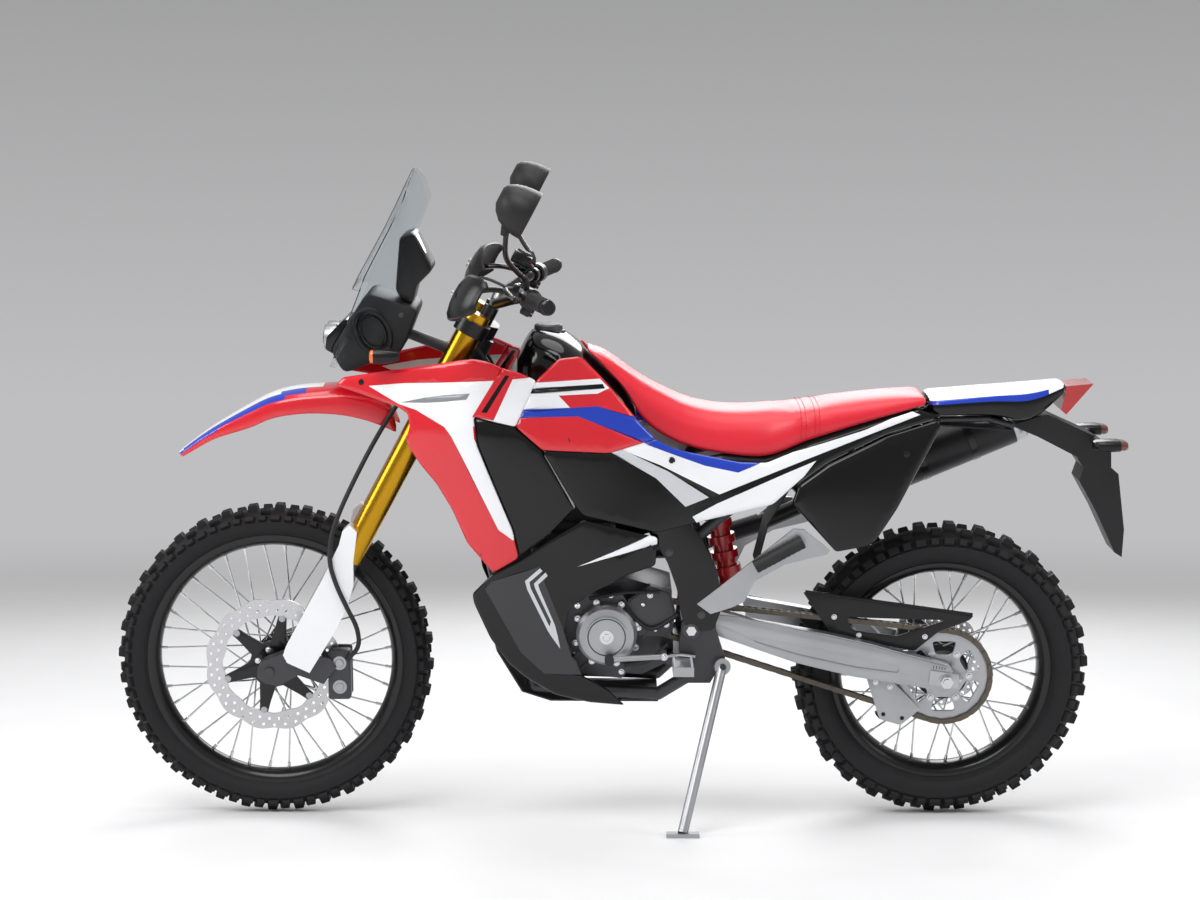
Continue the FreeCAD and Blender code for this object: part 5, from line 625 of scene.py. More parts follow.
def room_round_exhaust(x, z, width):
    """How far out the right side's panels may stand at a place beside the exhaust."""
    best = width
    runs = [
        (
            Vector((a[0], a[2])) * BASE, Vector((b[0], b[2])) * BASE, a[1] * BASE, b[1] * BASE,
            PIPE_RADIUS + PIPE_ROOM
        )
        for a, b in zip(EXHAUST_SHARES[2:], EXHAUST_SHARES[3:])
    ]
    low, high = [Vector(pair) * BASE for pair in MUFFLER_SHARES]
    runs.append((low, high, MUFFLER_PLACE, MUFFLER_PLACE, MUFFLER_RADIUS + PIPE_ROOM))
    here = Vector((x, z))
    for start, end, first, second, reach in runs:
        along = end - start
        t = (here - start).dot(along) / along.length_squared
        if t < -0.02 or t > 1.02:
            continue
        t = min(max(t, 0), 1)
        away = (here - (start + along * t)).length
        if away < reach:
            best = min(best, first + (second - first) * t - math.sqrt(reach ** 2 - away ** 2))
    return best


def rounded(outline, radius=7.0):
    """An outline with its corners cut by short arcs."""
    points = [Vector(point) for point in outline]
    result = []
    count = len(points)
    for index in range(count):
        before, here, after = points[index - 1], points[index], points[(index + 1) % count]
        back, ahead = before - here, after - here
        reach = min(radius, back.length * 0.4, ahead.length * 0.4)
        start = here + back.normalized() * reach
        end = here + ahead.normalized() * reach
        for step in range(4):
            t = step / 3
            result.append(start * (1 - t) ** 2 + here * 2 * t * (1 - t) + end * t ** 2)
    return result


def split_long(outline, longest):
    """An outline with its long runs divided."""
    result = []
    count = len(outline)
    for index in range(count):
        here, after = Vector(outline[index]), Vector(outline[(index + 1) % count])
        parts = max(1, math.ceil((after - here).length / longest))
        for step in range(parts):
            result.append(here + (after - here) * step / parts)
    return result


def inside(point, outline):
    """Whether a point lies inside an outline."""
    hit = False
    count = len(outline)
    for index in range(count):
        a, b = outline[index], outline[(index + 1) % count]
        if (a[1] > point[1]) != (b[1] > point[1]):
            if point[0] < (b[0] - a[0]) * (point[1] - a[1]) / (b[1] - a[1]) + a[0]:
                hit = not hit
    return hit


def edge_distance(point, outline):
    """How far a point lies from the nearest edge of an outline."""
    best = 1e9
    here = Vector(point)
    count = len(outline)
    for index in range(count):
        a, b = Vector(outline[index]), Vector(outline[(index + 1) % count])
        run = b - a
        if run.length_squared < 1e-9:
            continue
        t = min(max((here - a).dot(run) / run.length_squared, 0), 1)
        best = min(best, (here - (a + run * t)).length)
    return best


ROLL = 9.0
ROLL_DEPTH = 5.0


def panel_side(name, outline, regions, mats, inset, thickness, grid, width_of, sign, roll=ROLL_DEPTH):
    """One side's moulded panel: its outline, coloured regions, rolled edge and wall."""
    edge = split_long(rounded(turned_left(outline)), grid)
    loops = [[tuple(point) for point in edge]] + [turned_left(region) for region, _ in regions]
    points = [Vector(point) for loop in loops for point in loop]
    faces, start = [], 0
    for loop in loops:
        faces.append(list(range(start, start + len(loop))))
        start += len(loop)
    flat = [tuple(point) for point in edge]
    xs = [point[0] for point in flat]
    zs = [point[1] for point in flat]
    x = min(xs) + grid * 0.5
    row = 0
    while x < max(xs):
        z = min(zs) + grid * (0.5 if row % 2 else 1.0)
        while z < max(zs):
            if inside((x, z), flat) and edge_distance((x, z), flat) > ROLL * 1.3:
                points.append(Vector((x, z)))
            z += grid
        x += grid * 0.87
        row += 1
    count = len(flat)
    for index in range(count):
        before, here, after = Vector(flat[index - 1]), Vector(flat[index]), Vector(flat[(index + 1) % count])
        run = after - before
        if run.length < 1e-6:
            continue
        normal = Vector((-run.y, run.x)).normalized()
        for depth in (1.5, 4.5, ROLL):
            for way in (1, -1):
                spot = here + normal * depth * way
                if inside(spot, flat) and edge_distance(spot, flat) > depth * 0.93:
                    points.append(spot)
    found, _, triangles, _, _, origins = delaunay_2d_cdt(points, [], faces, 0, 1e-3)
    kept, tags = [], []
    for triangle, origin_loops in zip(triangles, origins):
        if 0 in origin_loops:
            kept.append(list(triangle))
            tag = max(origin_loops)
            tags.append(mats.index(regions[tag - 1][1]) if tag else 0)
    verts = []
    for point in found:
        width = width_of(point.x, point.y) - inset
        away = min(edge_distance(point, flat), ROLL)
        drop = roll * (1 - math.sqrt(max(0.0, 1 - (1 - away / ROLL) ** 2)))
        verts.append((point.x, sign * (width - drop), point.y))
    made = piece(name, verts, kept, mats, BIKE, face_mats=tags, angle=60)
    wall = made.modifiers.new("wall", "SOLIDIFY")
    wall.thickness = thickness * MM
    wall.offset = -1
    return made


def point_outwards(made, sign):
    """Turns a side panel's faces away from the centre plane."""
    out = (BIKE.to_3x3() @ Vector((0, sign, 0))).normalized()
    total = sum((polygon.normal.dot(out) * polygon.area for polygon in made.data.polygons))
    if total < 0:
        made.data.flip_normals()


def side_panels(
    name, outline, regions, base_mat, slot, node, inset=0.0, thickness=3.5, grid=13.0, bits=(), bosses=(),
    **more
):
    """A panel on both sides, coloured by region, on the bosses that meet the frame's stays."""
    mats = [base_mat]
    for _, one in regions:
        if one not in mats:
            mats.append(one)
    made = []
    for sign in (-1, 1):
        if sign < 0:
            width_of = half_width
        else:
            def width_of(x, z):
                return room_round_exhaust(x, z, half_width(x, z))
        one = panel_side(
            f"{name}_{sign}", outline, regions, mats, inset, thickness, grid, width_of, sign, **more
        )
        point_outwards(one, sign)
        made.append(one)
        for place, reach, height in bosses:
            spot = (place * BASE, height * BASE)
            wall = width_of(*spot) - inset - 2.0
            ends = [(spot[0], sign * (reach * BASE + 0.4), spot[1]), (spot[0], sign * wall, spot[1])]
            made.append(tube("boss", ends, 8.0, MATT, BIKE, smooth=False))
    for place, radius in bits:
        for sign in (-1, 1):
            width = half_width(*place) - inset
            made.append(hex_bolt(
                BIKE, (place[0], sign * (width - 1), place[1]), radius, 3, (0, sign, 0), SMOOTH_BLACK
            ))
    return joined(name, made, "root", slot, node)


# Body panels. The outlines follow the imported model; the coloured regions follow the photograph.

SHROUD_SHARES = (
    (-0.396, 0.664), (-0.384, 0.677), (-0.322, 0.689), (-0.218, 0.707), (-0.193, 0.710), (-0.171, 0.706),
    (-0.149, 0.696), (-0.130, 0.691), (-0.103, 0.678), (-0.132, 0.615), (-0.192, 0.630), (-0.188, 0.590),
    (-0.138, 0.465), (-0.129, 0.422), (-0.166, 0.399), (-0.203, 0.443), (-0.225, 0.494), (-0.247, 0.531),
    (-0.269, 0.557), (-0.287, 0.584), (-0.290, 0.594), (-0.284, 0.615), (-0.288, 0.631), (-0.303, 0.640),
    (-0.358, 0.655),
)
KNEE_SHARES = (
    (-0.103, 0.678), (-0.071, 0.707), (-0.040, 0.709), (-0.013, 0.682), (0.015, 0.650), (0.045, 0.613),
    (0.069, 0.588), (0.000, 0.570), (-0.094, 0.580), (-0.132, 0.615),
)
SIDE_SHARES = (
    (-0.094, 0.580), (0.000, 0.570), (0.069, 0.588), (0.092, 0.575), (0.117, 0.568), (0.167, 0.558),
    (0.193, 0.553), (0.231, 0.552), (0.296, 0.578), (0.377, 0.603), (0.453, 0.626), (0.488, 0.615),
    (0.406, 0.592), (0.319, 0.552), (0.277, 0.523), (0.239, 0.492), (0.071, 0.453), (-0.036, 0.482),
    (-0.046, 0.495),
)
COVER_SHARES = (
    (0.267, 0.494), (0.277, 0.521), (0.319, 0.550), (0.406, 0.590), (0.486, 0.613), (0.486, 0.600),
    (0.422, 0.484), (0.391, 0.438), (0.380, 0.430), (0.332, 0.422),
)
LOWER_SHARES = (
    (-0.168, 0.397), (-0.197, 0.365), (-0.195, 0.350), (-0.172, 0.297), (-0.145, 0.258), (-0.117, 0.234),
    (-0.077, 0.210), (-0.028, 0.198), (0.025, 0.193), (-0.002, 0.220), (-0.038, 0.241), (-0.063, 0.308),
    (-0.056, 0.345), (-0.015, 0.372), (0.029, 0.393), (0.069, 0.405), (0.072, 0.446), (-0.036, 0.476),
    (-0.084, 0.449), (-0.129, 0.418),
)
GRILLE_SHARES = (
    (-0.192, 0.630), (-0.132, 0.615), (-0.094, 0.580), (-0.046, 0.495), (-0.084, 0.455), (-0.129, 0.422),
    (-0.138, 0.465), (-0.188, 0.590),
)

SHROUD_DEPTH = 205
WHITE_BAND_PX = (
    (373, 371.4), (410, 366.6), (451, 364.5), (505, 362.3), (545, 360), (545, 420), (477, 405.7),
    (478, 417.6),
    (488, 441.5), (520, 515), (515, 519.6), (501, 508.7), (455.5, 415.4), (449, 406.8), (420.8, 391.6),
    (403.5, 387),
)
SHROUD_GREY_PX = ((405.6, 385.5), (430, 379.5), (474, 374.5), (470.5, 380.5), (430, 384.5))
VENT_RED_PX = ((505, 350), (518, 356), (497, 400), (476, 397))
VENT_SLOT_PX = ((508.2, 357.5), (512.2, 358.2), (490.3, 393), (485, 392.3))

KNEE_DEPTH = 170
KNEE_WHITE_PX = (
    (500, 372), (539, 366), (600, 365), (609, 374.4), (598, 379), (560, 379), (572, 392), (500, 392),
)
KNEE_DARK_PX = ((528, 372), (603, 370), (605, 374.5), (526, 376.5))
BLUE_DEPTH = 150
BLUE_PX = (
    (480, 399), (495, 391), (598, 391), (640, 405), (672, 430), (690, 437.2), (735.5, 445.2), (766, 445.8),
    (735.5, 458), (703, 451.3), (659.7, 435.3), (579, 399.7), (545, 398.5),
)
WHITE_V_PX = (
    (543.8, 398.5), (579, 399.7), (659.7, 435.3), (703, 451.3), (735.5, 458), (766, 445.5), (800, 436),
    (860, 418),
    (905, 400), (915, 404), (860, 424), (800, 446.7), (717, 479), (659.7, 450.2), (579.4, 415.8),
)
PALE_ARM_PX = ((579, 417.2), (618.4, 431.8), (666.6, 456), (706.8, 481.9), (683.8, 490.8), (655, 462.5))
WHITE_ARM_PX = (
    (690.7, 500.7), (714.8, 488), (781.4, 459.4), (812, 447), (800, 462), (769, 490), (698.7, 513.3)
)
GREY_WEDGE_PX = ((584, 497), (622, 517), (551, 536))
WHITE_WEDGE_PX = ((578, 547), (656, 516), (664, 526))
LOWER_GREY_PX = (
    (494, 562), (541, 546), (545, 560), (563, 608), (572, 640), (588, 660), (545, 658), (522, 636),
    (487.5, 570),
)
LOWER_STRIPE_PX = (
    (
        (541.5, 547.8), (526.8, 560.8), (529, 569.6), (549, 613), (552, 611.5), (532.5, 568.5), (531, 562),
        (544, 550.5)
    ),
    (
        (547, 552), (535.5, 563.5), (537, 569), (552, 603), (549, 613), (552, 618), (561, 631.5),
        (558.5, 618),
        (556, 607), (541, 569.5), (539.7, 564.5), (549, 555.5)
    ),
)
VENT_STRIPE_PX = (
    ((551, 433), (581, 489), (581, 493), (541, 538), (545, 538), (585, 494.5), (585, 489), (553.5, 431)),
    (
        (546, 436), (574.5, 489), (574.5, 492), (536, 536), (538.5, 537.5), (578, 493.5), (578, 489),
        (548.5, 434)
    ),
)


def make_panels():
    """Shrouds, knee panels, side panels, covers and the lower fairings."""
    shroud_depth = SHROUD_DEPTH
    side_panels(
        "front_shroud_panels",
        shares(SHROUD_SHARES),
        [
            (from_photo(WHITE_BAND_PX, shroud_depth), WHITE),
            (from_photo(SHROUD_GREY_PX, shroud_depth), GREY),
            (from_photo(VENT_RED_PX, shroud_depth), RED),
            (from_photo(VENT_SLOT_PX, shroud_depth), BLACK),
        ],
        RED, "body_plastic", "front_shrouds",
        bosses=((-0.197, 0.138, 0.550), (-0.180, 0.128, 0.430)),
        bits=[(from_photo([(368.7, 368.7)], 150)[0], 5.5)],
    )
    side_panels(
        "knee_side_panels",
        shares(KNEE_SHARES),
        [
            (from_photo(KNEE_WHITE_PX, KNEE_DEPTH), WHITE),
            (from_photo(KNEE_DARK_PX, KNEE_DEPTH), BLACK),
            (from_photo(BLUE_PX, KNEE_DEPTH), BLUE),
        ],
        RED, "body_plastic", "knee_panels",
        bosses=((-0.060, 0.103, 0.592),),
    )
    side_panels(
        "long_side_panels",
        shares(SIDE_SHARES),
        [
            (from_photo(WHITE_V_PX, BLUE_DEPTH), WHITE),
            (from_photo(BLUE_PX, BLUE_DEPTH), BLUE),
            (from_photo(PALE_ARM_PX, BLUE_DEPTH), PALE_GREY),
            (from_photo(WHITE_ARM_PX, BLUE_DEPTH), WHITE),
            (from_photo(GREY_WEDGE_PX, 190), GREY),
            (from_photo(WHITE_WEDGE_PX, 175), WHITE),
        ],
        BLACK, "body_plastic", "side_panels",
        bosses=((0.012, 0.1017, 0.548), (0.300, 0.0756, 0.566)),
        bits=[(from_photo([(670, 446)], 150)[0], 6)],
    )
    side_panels(
        "rear_side_cover_panels",
        shares(COVER_SHARES),
        [],
        BLACK, "gloss_black", "rear_side_covers",
        bosses=((0.370, 0.0825, 0.540),),
        inset=-6.0,
        bits=[(from_photo([(900, 442)], 140)[0], 6)],
        roll=9.0,
    )
    side_panels(
        "lower_fairing_panels",
        shares(LOWER_SHARES),
        [(from_photo(LOWER_GREY_PX, 175), DARK)]
        + [(from_photo(stripe, 175), PALE_GREY) for stripe in LOWER_STRIPE_PX]
        + [(from_photo(WHITE_WEDGE_PX, 175), WHITE)],
        BLACK, "black_plastic", "lower_fairings",
        bosses=((-0.160, 0.116, 0.340), (0.058, 0.1017, 0.4325)),
    )
    side_panels(
        "vent_grille_panels",
        shares(GRILLE_SHARES),
        [(from_photo(stripe, 195), PALE_GREY) for stripe in VENT_STRIPE_PX],
        BLACK, "black_plastic", "radiator_grilles",
        inset=8.0,
        bosses=((-0.130, 0.130, 0.588),),
    )


def steer(points):
    """Pairs of shares of the fork's length in the steering frame."""
    return [(across * FORK_LENGTH, up * FORK_LENGTH) for across, up in points]


FENDER_STATIONS = (
    (-0.512, 0.345, -0.498, 0.338, 0.028),
    (-0.469, 0.437, -0.445, 0.425, 0.055),
    (-0.410, 0.535, -0.382, 0.493, 0.075),
    (-0.374, 0.585, -0.346, 0.539, 0.085),
    (-0.328, 0.626, -0.300, 0.576, 0.088),
    (-0.275, 0.660, -0.249, 0.605, 0.084),
    (-0.225, 0.690, -0.189, 0.629, 0.078),
    (-0.170, 0.708, -0.125, 0.643, 0.072),
    (-0.130, 0.712, -0.060, 0.647, 0.066),
)
FENDER_SECTION = (
    (-1.0, 1.0), (-0.99, 0.72), (-0.97, 0.42), (-0.93, 0.30), (-0.80, 0.16), (-0.62, 0.07), (-0.40, 0.03),
    (-0.15, 0.0), (0.15, 0.0), (0.40, 0.03), (0.62, 0.07), (0.80, 0.16), (0.93, 0.30), (0.97, 0.42),
    (0.99, 0.72),
    (1.0, 1.0),
)
FENDER_WALL = 4.0
FENDER_WHITE_END = 0.62
FENDER_BLUE_END = 0.55


def stations_between(stations, steps):
    """Stations along a smooth line through the given ones."""
    rows = [Vector(row) for row in stations]
    return [tuple(row) for row in curve_through(rows, steps)]


def make_fender():
    """The front fender: an arched shell with white, blue and red bands."""
    rows = stations_between(FENDER_STATIONS, 5)
    rings, mats = [], []
    last = len(rows) - 1
    for crown_x, crown_z, skirt_x, skirt_z, width in rows:
        crown = Vector((crown_x, 0, crown_z)) * FORK_LENGTH
        drop = Vector((skirt_x, 0, skirt_z)) * FORK_LENGTH - crown
        wide = width * FORK_LENGTH
        inward = drop.normalized() * FENDER_WALL
        outer = [crown + drop * down + Vector((0, side * wide, 0)) for side, down in FENDER_SECTION]
        inner = [
            crown + drop * down + Vector((0, side * (wide - FENDER_WALL), 0)) + (
                inward if abs(side) < 0.98 else Vector()
            )
            for side, down in FENDER_SECTION
        ]
        rings.append(outer + inner[::-1])
    count = len(rings[0])
    half = len(FENDER_SECTION)
    for row in range(last):
        share = row / last
        for index in range(count):
            side = index if index < half else count - 1 - index
            strip_side = min(side, half - 2 - side) if index < half - 1 else 0
            if index >= half - 1:
                mats.append(0)
            elif share < FENDER_WHITE_END and strip_side >= 4 + share * 2.5:
                mats.append(1)
            elif share < FENDER_BLUE_END and strip_side >= 2 and strip_side >= 1.6 + share * 3.2:
                mats.append(2)
            else:
                mats.append(0)
    made = loft("fender_skin", rings, [RED, WHITE, BLUE], STEER, face_mats=mats, angle=50)
    subdivided(made, 1)
    tongue = plate(
        "fender_tongue",
        steer(((-0.165, 0.706), (-0.0575, 0.706), (-0.0575, 0.744), (-0.078, 0.744), (-0.165, 0.714))),
        -25, 25, RED, STEER, bevel=3,
    )
    joined("front_fender_shell", [made, tongue], "front_end", "body_plastic", "front_fender")


SEAT_STATIONS = (
    (-0.030, 0.708, 0.714, 0.034, 0.026),
    (-0.010, 0.690, 0.704, 0.048, 0.034),
    (0.024, 0.655, 0.680, 0.060, 0.040),
    (0.048, 0.615, 0.664, 0.068, 0.045),
    (0.077, 0.590, 0.648, 0.073, 0.050),
    (0.117, 0.572, 0.630, 0.078, 0.055),
    (0.167, 0.562, 0.620, 0.082, 0.058),
    (0.231, 0.558, 0.621, 0.082, 0.060),
    (0.296, 0.582, 0.630, 0.080, 0.060),
    (0.377, 0.607, 0.638, 0.072, 0.054),
    (0.453, 0.628, 0.645, 0.062, 0.046),
    (0.466, 0.632, 0.641, 0.056, 0.042),
)
SEAT_SECTION = (
    (-0.90, 0.0), (-0.96, 0.04), (-0.985, 0.14), (-1.0, 0.32), (-0.985, 0.50), (-0.95, 0.66), (-0.88, 0.80),
    (-0.76, 0.905), (-0.58, 0.965), (-0.34, 0.992), (0.0, 1.0), (0.34, 0.992), (0.58, 0.965), (0.76, 0.905),
    (0.88, 0.80), (0.95, 0.66), (0.985, 0.50), (1.0, 0.32), (0.985, 0.14), (0.96, 0.04), (0.90, 0.0),
)
SEAT_SEAM_SHARES = (0.285, 0.305)
SEAM_DEPTH = 2.6
SWELL_CAP = 5.0 * MM
SWELL_FRAMES = 20
SWELL_PRESSURE = 4.0
HELD_HEIGHT_SHARE = 0.2
HELD_END = 8.0
HELD_SEAM = 4.0


def seat_ring(row, shrink=0.0):
    """One section across the seat."""
    place, low, top, wide, _ = [value * BASE for value in row]
    return [
        Vector((place, side * (wide - shrink), low + (top - low - shrink) * up)) for side,
        up in SEAT_SECTION
    ]


def swell(made, rows):
    """Presses the cover out by cloth simulation, held at its rim, ends and seams, and caps its movement."""
    rest = [vertex.co.copy() for vertex in made.data.vertices]
    back = BIKE.inverted()
    held = made.vertex_groups.new(name="rim")
    for index, place in enumerate(rest):
        local = back @ place
        near = min(rows, key=lambda row: abs(row[0] * BASE - local.x))
        low, top = near[1] * BASE, near[2] * BASE
        up = (local.z - low) / (top - low)
        edge = min(local.x - rows[0][0] * BASE, rows[-1][0] * BASE - local.x)
        seam = min(abs(local.x / BASE - share) for share in SEAT_SEAM_SHARES) * BASE
        if up < HELD_HEIGHT_SHARE or edge < HELD_END or seam < HELD_SEAM:
            held.add([index], 1.0, "REPLACE")
    change = made.modifiers.new("cloth", "CLOTH")
    change.settings.vertex_group_mass = "rim"
    change.settings.use_pressure = True
    change.settings.uniform_pressure_force = SWELL_PRESSURE
    change.settings.effector_weights.gravity = 0
    scene = bpy.context.scene
    for step in range(1, SWELL_FRAMES + 1):
        scene.frame_set(step)
    graph = bpy.context.evaluated_depsgraph_get()
    shape = made.evaluated_get(graph).to_mesh()
    moved = [vertex.co.copy() for vertex in shape.vertices]
    made.modifiers.remove(change)
    for vertex, before, after in zip(made.data.vertices, rest, moved):
        run = after - before
        if run.length > SWELL_CAP:
            run *= SWELL_CAP / run.length
        vertex.co = before + run
    scene.frame_set(1)


def make_seat():
    """The seat: a crowned foam pad under a red cover with two sewn seams across it."""
    rows = stations_between(SEAT_STATIONS, 7)
    rings = []
    for row in rows:
        dip = 0.0
        for seam in SEAT_SEAM_SHARES:
            dip = max(dip, SEAM_DEPTH * math.exp(-((row[0] - seam) * BASE / 4.5) ** 2))
        rings.append(seat_ring(row, 0.8 + dip))
    made = loft("seat_pad", rings, [SEAT_RED], BIKE, angle=80)
    swell(made, rows)
    subdivided(made, 1)
    stitches = []
    for seam in SEAT_SEAM_SHARES:
        for shift in (-5.0, 5.0):
            place = seam + shift / BASE
            index = min(range(len(rows)), key=lambda item: abs(rows[item][0] - place))
            near = rows[index]
            line = seat_ring((place,) + tuple(near[1:]), 0.6)
            run = curve_through(line[2:-2], 4)
            for step in range(0, len(run) - 1, 2):
                stitches.append(tube(
                    "stitch", [run[step], run[step + 1]], 0.55, THREAD, BIKE, sides=5, smooth=False
                ))
    threads = joined("seat_stitching", stitches, "root", "seat_cover")
    rides(made, "root", "seat_cover", "seat")
    return threads


TANK_STATIONS = (
    (-0.135, 0.640, 0.700, 0.045, 0.035),
    (-0.110, 0.612, 0.738, 0.075, 0.045),
    (-0.070, 0.606, 0.736, 0.095, 0.060),
    (-0.042, 0.604, 0.718, 0.090, 0.050),
    (-0.032, 0.604, 0.706, 0.085, 0.048),
    (-0.010, 0.603, 0.686, 0.078, 0.042),
    (0.010, 0.602, 0.667, 0.070, 0.038),
    (0.024, 0.601, 0.651, 0.064, 0.036),
    (0.042, 0.600, 0.618, 0.055, 0.030),
)
TAIL_STATIONS = (
    (0.469, 0.6133, 0.6435, 0.062, 0.040),
    (0.560, 0.613, 0.652, 0.055, 0.036),
    (0.621, 0.605, 0.658, 0.046, 0.030),
    (0.674, 0.646, 0.662, 0.034, 0.022),
)
TAIL_SECTION = (
    (-0.90, 0.0), (-0.97, 0.10), (-1.0, 0.35), (-0.99, 0.62), (-0.93, 0.80), (-0.72, 0.92), (-0.40, 0.985),
    (0.0, 1.0),
    (0.40, 0.985), (0.72, 0.92), (0.93, 0.80), (0.99, 0.62), (1.0, 0.35), (0.97, 0.10), (0.90, 0.0),
)


def crowned(name, stations, section, mats, pick, steps=6, shrink=0.6):
    """A crowned shell along the bike, coloured by station and by place round it."""
    rows = stations_between(stations, steps)
    rings, tags = [], []
    for row in rows:
        place, low, top, wide, _ = [value * BASE for value in row]
        rings.append(
            [
                Vector((place, side * (wide - shrink), low + (top - low - shrink) * up)) for side,
                up in section
            ]
        )
    count = len(section)
    last = len(rows) - 1
    for row in range(last):
        for index in range(count):
            up = (section[index][1] + section[(index + 1) % count][1]) / 2
            tags.append(pick((row + 0.5) / last, up))
    return subdivided(loft(name, rings, mats, BIKE, face_mats=tags, angle=60), 1)


def make_tank_and_tail():
    """The tank cover and the tail cowl with its bands."""
    tank = crowned("tank_cover", TANK_STATIONS, TAIL_SECTION, [BLACK], lambda along, up: 0)
    cap_place = Vector((-0.088 * BASE, 0, 0.7365 * BASE))
    cap = lathe(
        "filler_cap",
        [(0, 12), (26, 12), (30, 9), (31, 0), (36, -1), (37, -6)],
        CAST_DARK, BIKE, centre=tuple(cap_place), count=40, axis="Z",
    )
    joined("tank_shell", [tank, cap], "root", "gloss_black", "fuel_tank")

    def band(along, up):
        if up > 0.85:
            return 1
        if up > 0.55:
            return 2 if along < 0.85 else 1
        return 0

    tail = crowned("tail_shell", TAIL_STATIONS, TAIL_SECTION, [BLACK, WHITE, BLUE], band)
    rides(tail, "root", "body_plastic", "tail_cowl")


# The front end


def box_of(name, low, high, mats, where=BIKE, bevel=3.0):
    """A box between two corners with rounded edges."""
    outline = [(low[0], low[2]), (high[0], low[2]), (high[0], high[2]), (low[0], high[2])]
    return plate(name, outline, low[1], high[1], mats, where, bevel=bevel)


def oval(place, centre, wide, tall, count=28, power=2.6, drop=0.0):
    """A rounded outline across the bike at a place along it, narrower towards its foot where asked."""
    points = []
    for step in range(count):
        turn = 2 * math.pi * step / count
        side = math.copysign(abs(math.cos(turn)) ** (2 / power), math.cos(turn))
        up = math.copysign(abs(math.sin(turn)) ** (2 / power), math.sin(turn))
        points.append(Vector(
            (place, centre[0] + side * wide * (1 + drop * min(up, 0)), centre[1] + up * tall)
        ))
    return points


BAR_KNEE = Vector((40.3, -202.5, 984.5))
BAR_TIP = Vector((84.1, -405.0, 1009.6))


def bar_at(share):
    """A point of the handlebar's outer run, by its share of the half length."""
    return BAR_KNEE + (BAR_TIP - BAR_KNEE) * ((share - 0.5) / 0.5)


def left_and_right(made):
    """The pieces with their mirror images in the steering frame."""
    return made + [mirrored_piece(one.name + "_right", one, STEER) for one in made]


